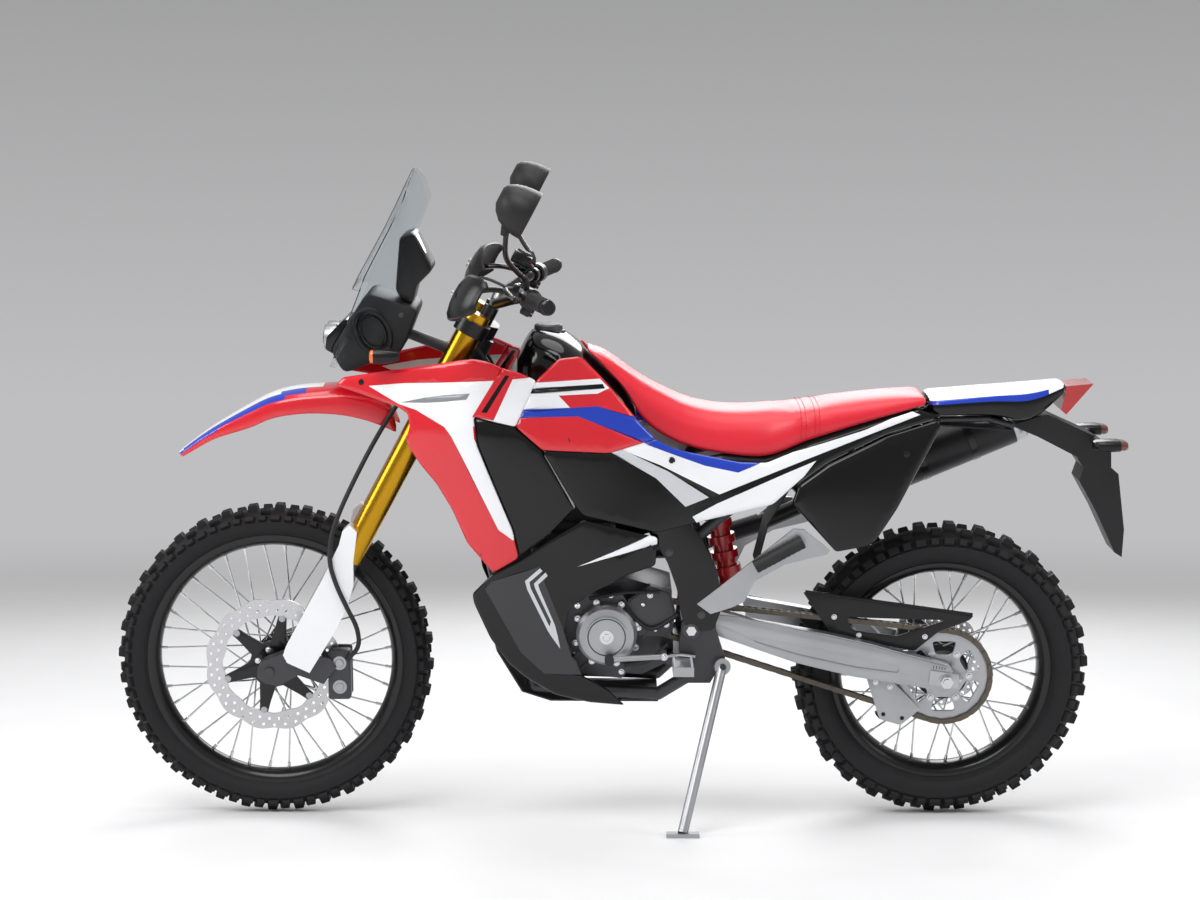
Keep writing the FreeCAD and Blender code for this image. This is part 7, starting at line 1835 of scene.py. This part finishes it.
def lug_mesh(verts, faces, along, place, length, width, tall, tilt, angle, foot_radius, shrink=0.82):
    """Adds one tread block with sloped walls and a chamfered top."""
    start = len(verts)
    turn = Matrix.Rotation(angle, 3, "Y")
    lean_block = Matrix.Rotation(-tilt, 3, "X")
    layers = ((1.0, -3.0), (1.0 - (1 - shrink) * 0.8, tall - 1.4), (shrink - 0.06, tall))
    for share, height in layers:
        for across, side in ((-1, -1), (1, -1), (1, 1), (-1, 1)):
            point = Vector((across * length / 2 * share, side * width / 2 * share, height))
            point = lean_block @ point
            point = point + Vector((0, along, foot_radius + place))
            verts.append(turn @ point)
    for layer in range(2):
        for index in range(4):
            after = (index + 1) % 4
            faces.append([
                start + layer * 4 + index, start + layer * 4 + after,
                start + (layer + 1) * 4 + after, start + (layer + 1) * 4 + index,
            ])
    faces.append([start + 8 + index for index in range(4)])


def make_tyre(name, node, body, where, radius, half, rim_radius, rim_half, lug_height, rows, crown_share):
    """A knobbly tyre: casing, bead line, sidewall ribs and tread blocks."""
    casing = radius - lug_height
    tall = casing - rim_radius
    profile = [
        (rim_radius - 1, -rim_half * 0.86), (rim_radius + tall * 0.05, -rim_half * 0.95),
        (rim_radius + tall * 0.14, -half * 0.80), (rim_radius + tall * 0.17, -half * 0.84),
        (rim_radius + tall * 0.28, -half * 0.93), (rim_radius + tall * 0.42, -half * 0.985),
        (rim_radius + tall * 0.55, -half * 0.995), (rim_radius + tall * 0.57, -half),
        (rim_radius + tall * 0.60, -half * 0.985),
        (casing - tall * crown_share, -half * 0.86), (casing - tall * crown_share * 0.55, -half * 0.66),
        (casing - tall * crown_share * 0.18, -half * 0.38), (casing, 0),
    ]
    profile = profile + [(r, -y) for r, y in profile[-2::-1]]
    body_shape = lathe("casing", profile, RUBBER, where, count=120, angle=60)
    verts, faces = [], []
    pitch = 2 * math.pi * casing / rows
    slope = math.atan2(tall * crown_share, half * 0.48)
    for step in range(rows):
        angle = 2 * math.pi * (step + 0.5) / rows
        if step % 2 == 0:
            for side in (-1, 1):
                lug_mesh(
                    verts, faces, side * half * 0.185, 0, pitch * 0.78, half * 0.30, lug_height, 0, angle,
                    casing
                )
        else:
            for side in (-1, 1):
                lug_mesh(
                    verts, faces, side * half * 0.52, -tall * crown_share * 0.36, pitch * 0.74, half * 0.30,
                    lug_height * 0.98, side * slope * 0.62, angle, casing,
                )
        for side in (-1, 1):
            length = pitch * (0.62 if step % 2 else 0.80)
            lug_mesh(
                verts, faces, side * half * 0.86, -tall * crown_share * 0.86, length, half * 0.26,
                lug_height * 0.86, side * slope * 1.45, angle + side * 0.2 * pitch / casing, casing,
            )
    lugs = piece("lugs", verts, faces, RUBBER, where, angle=30)
    joined(name, [body_shape, lugs], body, "tyre_rubber", node)


def make_rim_and_spokes(
    name, node, body, where, rim_radius, inner, half, hub, flange, flange_place, hub_half, bore
):
    """Rim, spokes with nipples and the hub."""
    depth = rim_radius - inner
    rim = lathe(
        "rim",
        [
            (rim_radius + 3, -half), (rim_radius + 4, -half * 0.93), (rim_radius + 1, -half * 0.84),
            (rim_radius - 3, -half * 0.72), (inner + depth * 0.35, -half * 0.50),
            (inner + depth * 0.30, half * 0.50),
            (rim_radius - 3, half * 0.72), (rim_radius + 1, half * 0.84), (rim_radius + 4, half * 0.93),
            (rim_radius + 3, half), (rim_radius - 5, half * 0.99), (inner + depth * 0.45, half * 0.86),
            (inner + depth * 0.12, half * 0.50), (inner, half * 0.22), (inner, -half * 0.22),
            (inner + depth * 0.12, -half * 0.50), (inner + depth * 0.45, -half * 0.86),
            (rim_radius - 5, -half * 0.99),
        ],
        BLACK_METAL, where, count=144, closed=True,
    )
    hub_shape = lathe(
        "hub",
        [
            (bore, -hub_half), (hub * 0.80, -hub_half), (hub * 0.95, -hub_half + 3),
            (hub, -flange_place - 8),
            (flange * 0.93, -flange_place - 4), (flange, -flange_place - 2), (flange, -flange_place + 2),
            (flange * 0.93, -flange_place + 4), (hub * 0.9, -flange_place + 9), (hub * 0.82, 0),
            (hub * 0.9, flange_place - 9), (flange * 0.93, flange_place - 4), (flange, flange_place - 2),
            (flange, flange_place + 2), (flange * 0.93, flange_place + 4), (hub, flange_place + 8),
            (hub * 0.95, hub_half - 3), (hub * 0.80, hub_half), (bore, hub_half),
        ],
        BLACK_METAL, where, count=64,
    )
    made = [rim, hub_shape]
    for step in range(36):
        side = -1 if step % 2 else 1
        lead = 1 if (step // 2) % 2 else -1
        rim_angle = 2 * math.pi * (step + 0.5) / 36
        hub_angle = rim_angle + lead * 0.9
        foot_radius = flange - 4
        foot = Vector(
            (
                foot_radius * math.cos(hub_angle), side * (flange_place + lead * 3.2),
                foot_radius * math.sin(hub_angle)
            )
        )
        tip = Vector((inner * math.cos(rim_angle), side * half * 0.12, inner * math.sin(rim_angle)))
        along = (tip - foot).normalized()
        made.append(tube("spoke", [foot, tip], 2.0, CHROME, where, sides=8, smooth=False))
        made.append(
            tube("nipple", [tip - along * 14, tip + along * 3], 3.4, CHROME, where, sides=8, smooth=False)
        )
    joined(name, made, body, "wheel_metal", node)


def wave_outline(radius, waves, depth, steps=10, start=0.0, sharp=1.0):
    """A wavy round outline."""
    points = []
    for step in range(waves * steps):
        angle = start + 2 * math.pi * step / (waves * steps)
        wave = (0.5 - 0.5 * math.cos(2 * math.pi * step / steps)) ** sharp
        here = radius - depth * (1 - wave)
        points.append((here * math.cos(angle), here * math.sin(angle)))
    return points


def make_disc(
    name, node, body, where, radius, inner, place, thickness, bobbin_radius, carrier_hub, bore, waves
):
    """A wave disc with drilled holes, its carrier and bobbins."""
    holes = [wave_outline(inner, waves, 4.0, start=math.pi / waves)]
    rows = ((radius - (radius - inner) * 0.30, 0.0), (radius - (radius - inner) * 0.68, 0.5))
    count = waves * 3
    for reach, phase in rows:
        for step in range(count):
            angle = 2 * math.pi * (step + phase) / count
            holes.append(ring_points(3.6, 8, (reach * math.cos(angle), reach * math.sin(angle))))
    outer = wave_outline(radius, waves, 6.0, sharp=0.7)
    low, high = place - thickness / 2, place + thickness / 2
    rotor = plate("rotor", outer, low, high, DISC, where, holes, bevel=0)
    made = [rotor]
    spider_points = []
    arms = 6
    for arm in range(arms):
        base_angle = 2 * math.pi * arm / arms + math.radians(18)
        for reach, turn in (
            (carrier_hub * 0.98, -0.42), (bobbin_radius * 0.80, -0.16), (bobbin_radius + 4, -0.085),
            (bobbin_radius + 4, 0.085), (bobbin_radius * 0.80, 0.13), (carrier_hub * 0.98, 0.30),
        ):
            angle = base_angle + turn
            spider_points.append((reach * math.cos(angle), reach * math.sin(angle)))
    spider_holes = [ring_points(bore, 24)]
    for arm in range(arms):
        angle = 2 * math.pi * arm / arms + math.radians(46)
        spider_holes.append(ring_points(
            carrier_hub * 0.14, 10,
            (carrier_hub * 0.66 * math.cos(angle), carrier_hub * 0.66 * math.sin(angle))
        ))
    made.append(plate(
        "carrier", spider_points, low - 0.4, high + 0.4, BLACK_METAL, where, spider_holes, bevel=0.8
    ))
    for arm in range(arms):
        angle = 2 * math.pi * arm / arms + math.radians(18)
        spot = (bobbin_radius * math.cos(angle), 0, bobbin_radius * math.sin(angle))
        made.append(lathe(
            "bobbin",
            [
                (0, low - 2.0), (4, low - 2.0), (7, low - 1.6), (7.6, low), (7.6, high), (7, high + 1.6),
                (0, high + 2.0)
            ],
            SILVER, where, centre=spot, count=16,
        ))
        angle = 2 * math.pi * arm / arms + math.radians(46)
        out = -1 if place < 0 else 1
        spot = (
            carrier_hub * 0.66 * math.cos(angle), place + out * thickness / 2,
            carrier_hub * 0.66 * math.sin(angle)
        )
        made.append(hex_bolt(where, spot, 4.6, 4.0, (0, out, 0), CHROME))
    joined(name, made, body, "disc_steel", node)


def sprocket_radius(teeth):
    """The circle of the chain's pins round a sprocket."""
    return CHAIN_PITCH / (2 * math.sin(math.pi / teeth))


def toothed(teeth, tip_extra=4.5, root_drop=4.5, steps=6):
    """A sprocket's outline."""
    pitch = sprocket_radius(teeth)
    points = []
    for tooth in range(teeth):
        for step in range(steps):
            share = step / steps
            angle = 2 * math.pi * (tooth + share) / teeth
            wave = 0.5 - 0.5 * math.cos(2 * math.pi * share)
            here = pitch - root_drop + (tip_extra + root_drop) * wave ** 0.8
            points.append((here * math.cos(angle), here * math.sin(angle)))
    return points


FRONT_SPROCKET_HEIGHT_SHARE = 0.3134


def chain_distance():
    """The distance between the sprockets' centres that the links just fit."""
    large, small = sprocket_radius(REAR_TEETH), sprocket_radius(FRONT_TEETH)
    low, high = large + small, BASE
    for _ in range(60):
        distance = (low + high) / 2
        slope = math.asin((large - small) / distance)
        links = 2 * distance * math.cos(slope) / CHAIN_PITCH
        links += REAR_TEETH * (math.pi + 2 * slope) / (2 * math.pi)
        links += FRONT_TEETH * (math.pi - 2 * slope) / (2 * math.pi)
        if links > CHAIN_LINKS:
            high = distance
        else:
            low = distance
    return (low + high) / 2


def chain_centres():
    """The two sprockets' centres in the side view, and the slope between them."""
    rise = BASE * FRONT_SPROCKET_HEIGHT_SHARE - REAR_AXLE_HEIGHT
    back = math.sqrt(chain_distance() ** 2 - rise ** 2)
    return Vector(
        (BASE / 2 - back, BASE * FRONT_SPROCKET_HEIGHT_SHARE)
    ), Vector((BASE / 2, REAR_AXLE_HEIGHT))


def chain_path():
    """A fine closed line of the chain's pins."""
    front, rear = chain_centres()
    large, small = sprocket_radius(REAR_TEETH), sprocket_radius(FRONT_TEETH)
    tilt = math.atan2(rear.y - front.y, rear.x - front.x)
    slope = math.asin((large - small) / chain_distance())
    line = []
    for centre, radius, start, end in (
        (rear, large, tilt + math.pi / 2 + slope, tilt - math.pi / 2 - slope),
        (front, small, tilt - math.pi / 2 - slope, tilt - 3 * math.pi / 2 + slope),
    ):
        for step in range(61):
            angle = start + (end - start) * step / 60
            line.append(centre + Vector((math.cos(angle), math.sin(angle))) * radius)
    return line + [line[0]]


def along_line(line, count):
    """Even points along a line."""
    lengths = [0.0]
    for a, b in zip(line, line[1:]):
        lengths.append(lengths[-1] + (b - a).length)
    spots = []
    index = 0
    for step in range(count):
        want = lengths[-1] * step / count
        while lengths[index + 1] < want:
            index += 1
        share = (want - lengths[index]) / max(lengths[index + 1] - lengths[index], 1e-9)
        spots.append(line[index] + (line[index + 1] - line[index]) * share)
    return spots


PIN_RADIUS = 2.6
PIN_HALF = 8.5
PIN_SIDES = 8
ROLLER_RADIUS = 4.6
ROLLER_HALF = 4.4
ROLLER_SIDES = 10


def add_barrel(verts, faces, pin, radius, half, count, capped):
    """A round bar across the chain at one of its pins."""
    start = len(verts)
    for depth in (-CHAIN_LINE - half, -CHAIN_LINE + half):
        for step in range(count):
            angle = 2 * math.pi * step / count
            verts.append((pin.x + radius * math.cos(angle), depth, pin.y + radius * math.sin(angle)))
    for step in range(count):
        after = (step + 1) % count
        faces.append([start + step, start + after, start + count + after, start + count + step])
    if capped:
        faces.append([start + step for step in range(count)])
        faces.append([start + count + step for step in range(count)][::-1])


def make_chain():
    """The drive chain link by link, with the rear sprocket's teeth."""
    pins = along_line(chain_path(), CHAIN_LINKS)
    verts, faces = [], []
    for index, pin in enumerate(pins):
        after = pins[(index + 1) % CHAIN_LINKS]
        centre = (pin + after) / 2
        run = (after - pin).normalized()
        up = Vector((-run.y, run.x))
        inner = index % 2
        for side in (-1, 1):
            near = CHAIN_LINE * -1 + side * (4.6 if inner else 6.6)
            far = near + side * 1.7
            outline = []
            for step in range(14):
                angle = 2 * math.pi * step / 14
                end = 1 if math.cos(angle) > 0 else -1
                waist = 0.86 if abs(math.cos(angle)) < 0.3 else 1.0
                outline.append(
                    centre + run * (
                        end * CHAIN_PITCH / 2 + 6.2 * math.cos(angle)
                    ) + up * 6.4 * math.sin(angle) * waist
                )
            start = len(verts)
            for depth in (near, far):
                verts += [(point.x, depth, point.y) for point in outline]
            count = len(outline)
            faces += [
                [
                    start + step, start + (step + 1) % count, start + count + (step + 1) % count,
                    start + count + step
                ]
                for step in range(count)
            ]
            faces.append([start + step for step in range(count)])
            faces.append([start + count + step for step in range(count)][::-1])
        add_barrel(verts, faces, pin, PIN_RADIUS, PIN_HALF, PIN_SIDES, capped=True)
        add_barrel(verts, faces, pin, ROLLER_RADIUS, ROLLER_HALF, ROLLER_SIDES, capped=False)
    chain = piece("chain_links", verts, faces, CHAIN_METAL, BIKE, angle=30)
    rides(chain, "root", "chain_steel", "drive_chain")

    half = 3.0
    holes = [ring_points(11, 24)]
    for step in range(6):
        angle = 2 * math.pi * (step + 0.5) / 6
        window = []
        for reach, turn in ((50, -0.36), (82, -0.34), (82, 0.34), (50, 0.36)):
            window.append((reach * math.cos(angle + turn), reach * math.sin(angle + turn)))
        holes.append([tuple(point) for point in rounded(window, 9)])
    ring = plate(
        "teeth", toothed(REAR_TEETH), -CHAIN_LINE - half, -CHAIN_LINE + half, SILVER, REAR_WHEEL, holes,
        bevel=0.6
    )
    made = [ring]
    for step in range(6):
        angle = 2 * math.pi * step / 6
        spot = (55 * math.cos(angle), -CHAIN_LINE - half, 55 * math.sin(angle))
        made.append(hex_bolt(REAR_WHEEL, spot, 5.5, 5, (0, -1, 0), CHROME))
    made.append(lathe(
        "sprocket_hub",
        [(11, -64.5), (52, -64.5), (54, -68), (46, -CHAIN_LINE + half), (46, -CHAIN_LINE - half)],
        CAST_DARK, REAR_WHEEL, count=48,
    ))
    joined("rear_sprocket_teeth", made, "rear_wheel", "sprocket_steel", "rear_sprocket")


def make_wheels():
    """Both wheels with tyres, discs, chain and sprocket."""
    make_tyre("front_tyre_tread", "front_tyre", "front_wheel", FRONT_WHEEL, 345, 42, 276, 27, 11, 72, 0.32)
    make_tyre("rear_tyre_tread", "rear_tyre", "rear_wheel", REAR_WHEEL, 324, 61, 237, 36, 12, 60, 0.34)
    make_rim_and_spokes(
        "front_rim_spokes", "front_wheel", "front_wheel", FRONT_WHEEL, 276, 253, 27, 30, 47, 34, 58, 10.5
    )
    make_rim_and_spokes(
        "rear_rim_spokes", "rear_wheel", "rear_wheel", REAR_WHEEL, 237, 215, 36, 38, 60, 36, 64, 10.5
    )
    make_disc(
        "front_wave_disc", "front_brake_disc", "front_wheel", FRONT_WHEEL, 148, 110, -60, 4, 104, 52, 10.5,
        12
    )
    make_disc(
        "rear_wave_disc", "rear_brake_disc", "rear_wheel", REAR_WHEEL, 110, 80, 66, 4, 74, 46, 10.5, 12
    )
    make_chain()


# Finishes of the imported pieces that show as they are

NODE_FINISHES = {
    "fork_tubes": GOLD,
    "fork_legs": CAST_DARK,
    "fork_guards": WHITE,
    "fork_clamps": SMOOTH_BLACK,
    "front_brake_caliper": CAST_DARK,
    "front_brake_hose": SOFT_RUBBER,
    "handlebar": BLACK_METAL,
    "handlebar_grips": SOFT_RUBBER,
    "handlebar_controls": SMOOTH_BLACK,
    "hand_guards": MATT,
    "mirrors": MATT,
    "main_frame": FRAME_PAINT,
    "subframe": FRAME_PAINT,
    "engine": CAST_DARK,
    "engine_covers": SILVER,
    "skid_plate": DARK,
    "tail_light": LAMP_RED,
    "plate_holder": MATT,
    "nose_fairing": MATT,
    "headlamp": LENS,
    "windscreen": SCREEN,
    "instrument_panel": MATT,
    "indicators": LAMP_AMBER,
    "swingarm": SILVER,
    "shock_absorber": SPRING_RED,
    "exhaust": EXHAUST,
    "radiator": CAST_DARK,
    "rear_mudguard": MATT,
    "rear_brake_caliper": CAST_DARK,
    "footrests": SILVER,
    "foot_levers": SILVER,
    "side_stand": SILVER,
}


def finish_nodes():
    """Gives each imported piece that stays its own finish."""
    for node, finish in NODE_FINISHES.items():
        shape = bpy.data.objects.get(node)
        if shape is None:
            continue
        for slot in shape.material_slots:
            slot.material = finish


# Floor, light and camera

CAMERA_SHIFT = -50 / 1200


# Painted shade: the far floor and the backdrop at the horizon are painted this flat grey where the studio
# light falls off.
FAR_PAINTED_SHADE_GREY = (0.52, 0.52, 0.53, 1)
# Painted shade: the backdrop above the horizon is painted this darker grey.
HIGH_PAINTED_SHADE_GREY = (0.36, 0.36, 0.365, 1)


def floor_material():
    """A pale floor that fades far from the motorcycle into a flat grey glow for the camera: painted shade,
    matching the backdrop's painted grey at the horizon.
    """
    made = material("pale_floor", (0.78, 0.78, 0.79, 1), 0.6, mottle=0.01)
    nodes = made.node_tree.nodes
    links = made.node_tree.links
    place = nodes["Texture Coordinate"]
    reach = nodes.new("ShaderNodeVectorMath")
    reach.operation = "LENGTH"
    links.new(place.outputs["Object"], reach.inputs[0])
    fade = nodes.new("ShaderNodeMapRange")
    fade.interpolation_type = "SMOOTHSTEP"
    fade.inputs["From Min"].default_value = 4.0
    fade.inputs["From Max"].default_value = 12.0
    links.new(reach.outputs["Value"], fade.inputs["Value"])
    path = nodes.new("ShaderNodeLightPath")
    seen = nodes.new("ShaderNodeMath")
    seen.operation = "MULTIPLY"
    links.new(fade.outputs["Result"], seen.inputs[0])
    links.new(path.outputs["Is Camera Ray"], seen.inputs[1])
    # For camera rays the far floor glows a flat grey instead of being lit: painted shade.
    glow = nodes.new("ShaderNodeEmission")
    glow.inputs["Color"].default_value = FAR_PAINTED_SHADE_GREY
    mix = nodes.new("ShaderNodeMixShader")
    links.new(seen.outputs[0], mix.inputs["Fac"])
    links.new(nodes["Principled BSDF"].outputs[0], mix.inputs[1])
    links.new(glow.outputs[0], mix.inputs[2])
    links.new(mix.outputs[0], nodes["Material Output"].inputs["Surface"])
    return made


def make_stage():
    """A pale floor, soft studio lamps and the photograph's camera."""
    floor_mesh = bpy.data.meshes.new("floor")
    reach = 40.0
    floor_mesh.from_pydata(
        [(-reach, -reach, 0), (reach, -reach, 0), (reach, reach, 0), (-reach, reach, 0)], [], [(0, 1, 2, 3)]
    )
    floor = bpy.data.objects.new("floor", floor_mesh)
    bpy.context.scene.collection.objects.link(floor)
    floor_mesh.materials.append(floor_material())

    scene = bpy.context.scene
    world = bpy.data.worlds.new("studio")
    scene.world = world
    world.use_nodes = True
    nodes = world.node_tree.nodes
    links = world.node_tree.links
    ground = nodes["Background"]
    ground.inputs["Color"].default_value = (1, 1, 1, 1)
    ground.inputs["Strength"].default_value = 0.45
    # The backdrop for camera and transmission rays: painted shade, grey at the horizon and darker above it.
    seen = nodes.new("ShaderNodeBackground")
    way = nodes.new("ShaderNodeTexCoord")
    split = nodes.new("ShaderNodeSeparateXYZ")
    links.new(way.outputs["Generated"], split.inputs[0])
    shade = nodes.new("ShaderNodeValToRGB")
    shade.color_ramp.elements[0].color = FAR_PAINTED_SHADE_GREY
    shade.color_ramp.elements[1].color = HIGH_PAINTED_SHADE_GREY
    shade.color_ramp.elements[1].position = 0.16
    links.new(split.outputs["Z"], shade.inputs["Fac"])
    links.new(shade.outputs["Color"], seen.inputs["Color"])
    seen.inputs["Strength"].default_value = 1.0
    path = nodes.new("ShaderNodeLightPath")
    either = nodes.new("ShaderNodeMath")
    either.operation = "MAXIMUM"
    links.new(path.outputs["Is Camera Ray"], either.inputs[0])
    links.new(path.outputs["Is Transmission Ray"], either.inputs[1])
    mix = nodes.new("ShaderNodeMixShader")
    links.new(either.outputs[0], mix.inputs["Fac"])
    links.new(ground.outputs[0], mix.inputs[1])
    links.new(seen.outputs[0], mix.inputs[2])
    links.new(mix.outputs[0], nodes["World Output"].inputs["Surface"])

    centre = BIKE @ Vector((0, 0, 600))
    for name, place, size, power in (
        ("key", (-1.5, -3.4, 4.2), 3.2, 150),
        ("front", (-4.6, -1.0, 2.4), 2.2, 70),
        ("rear", (4.4, -1.4, 2.6), 2.2, 60),
        ("far", (0.6, 4.2, 3.6), 3.0, 110),
        ("over", (0.0, -0.2, 5.2), 3.6, 90),
    ):
        lamp = bpy.data.lights.new(name, "AREA")
        lamp.shape = "DISK"
        lamp.size = size
        lamp.energy = power
        holder = bpy.data.objects.new(name, lamp)
        holder.location = centre + Vector(place) - Vector((0, 0, centre.z))
        aim = (centre - holder.location).to_track_quat("-Z", "Y")
        holder.rotation_euler = aim.to_euler()
        scene.collection.objects.link(holder)

    view = bpy.data.cameras.new("camera")
    view.sensor_width = 36.0
    view.lens = 36.0 * PHOTO_DISTANCE / (1200 * PIXEL)
    view.shift_y = CAMERA_SHIFT
    camera = bpy.data.objects.new("camera", view)
    middle = BIKE @ Vector((PHOTO_EYE[0], 0, 0))
    camera.location = (middle.x, middle.y - PHOTO_DISTANCE * MM, PHOTO_EYE[1] * MM)
    camera.rotation_euler = (math.pi / 2, 0, 0)
    scene.collection.objects.link(camera)
    scene.camera = camera
    scene.view_settings.view_transform = "Standard"


make_stage()
finish_nodes()
make_panels()
make_fender()
make_seat()
make_tank_and_tail()
make_bar_ends()
make_nose()
make_brake_and_axle()
make_engine_detail()
make_exhaust_detail()
make_swingarm_detail()
make_chain_guards()
make_frame_covers()
make_foot_detail()
make_wheels()
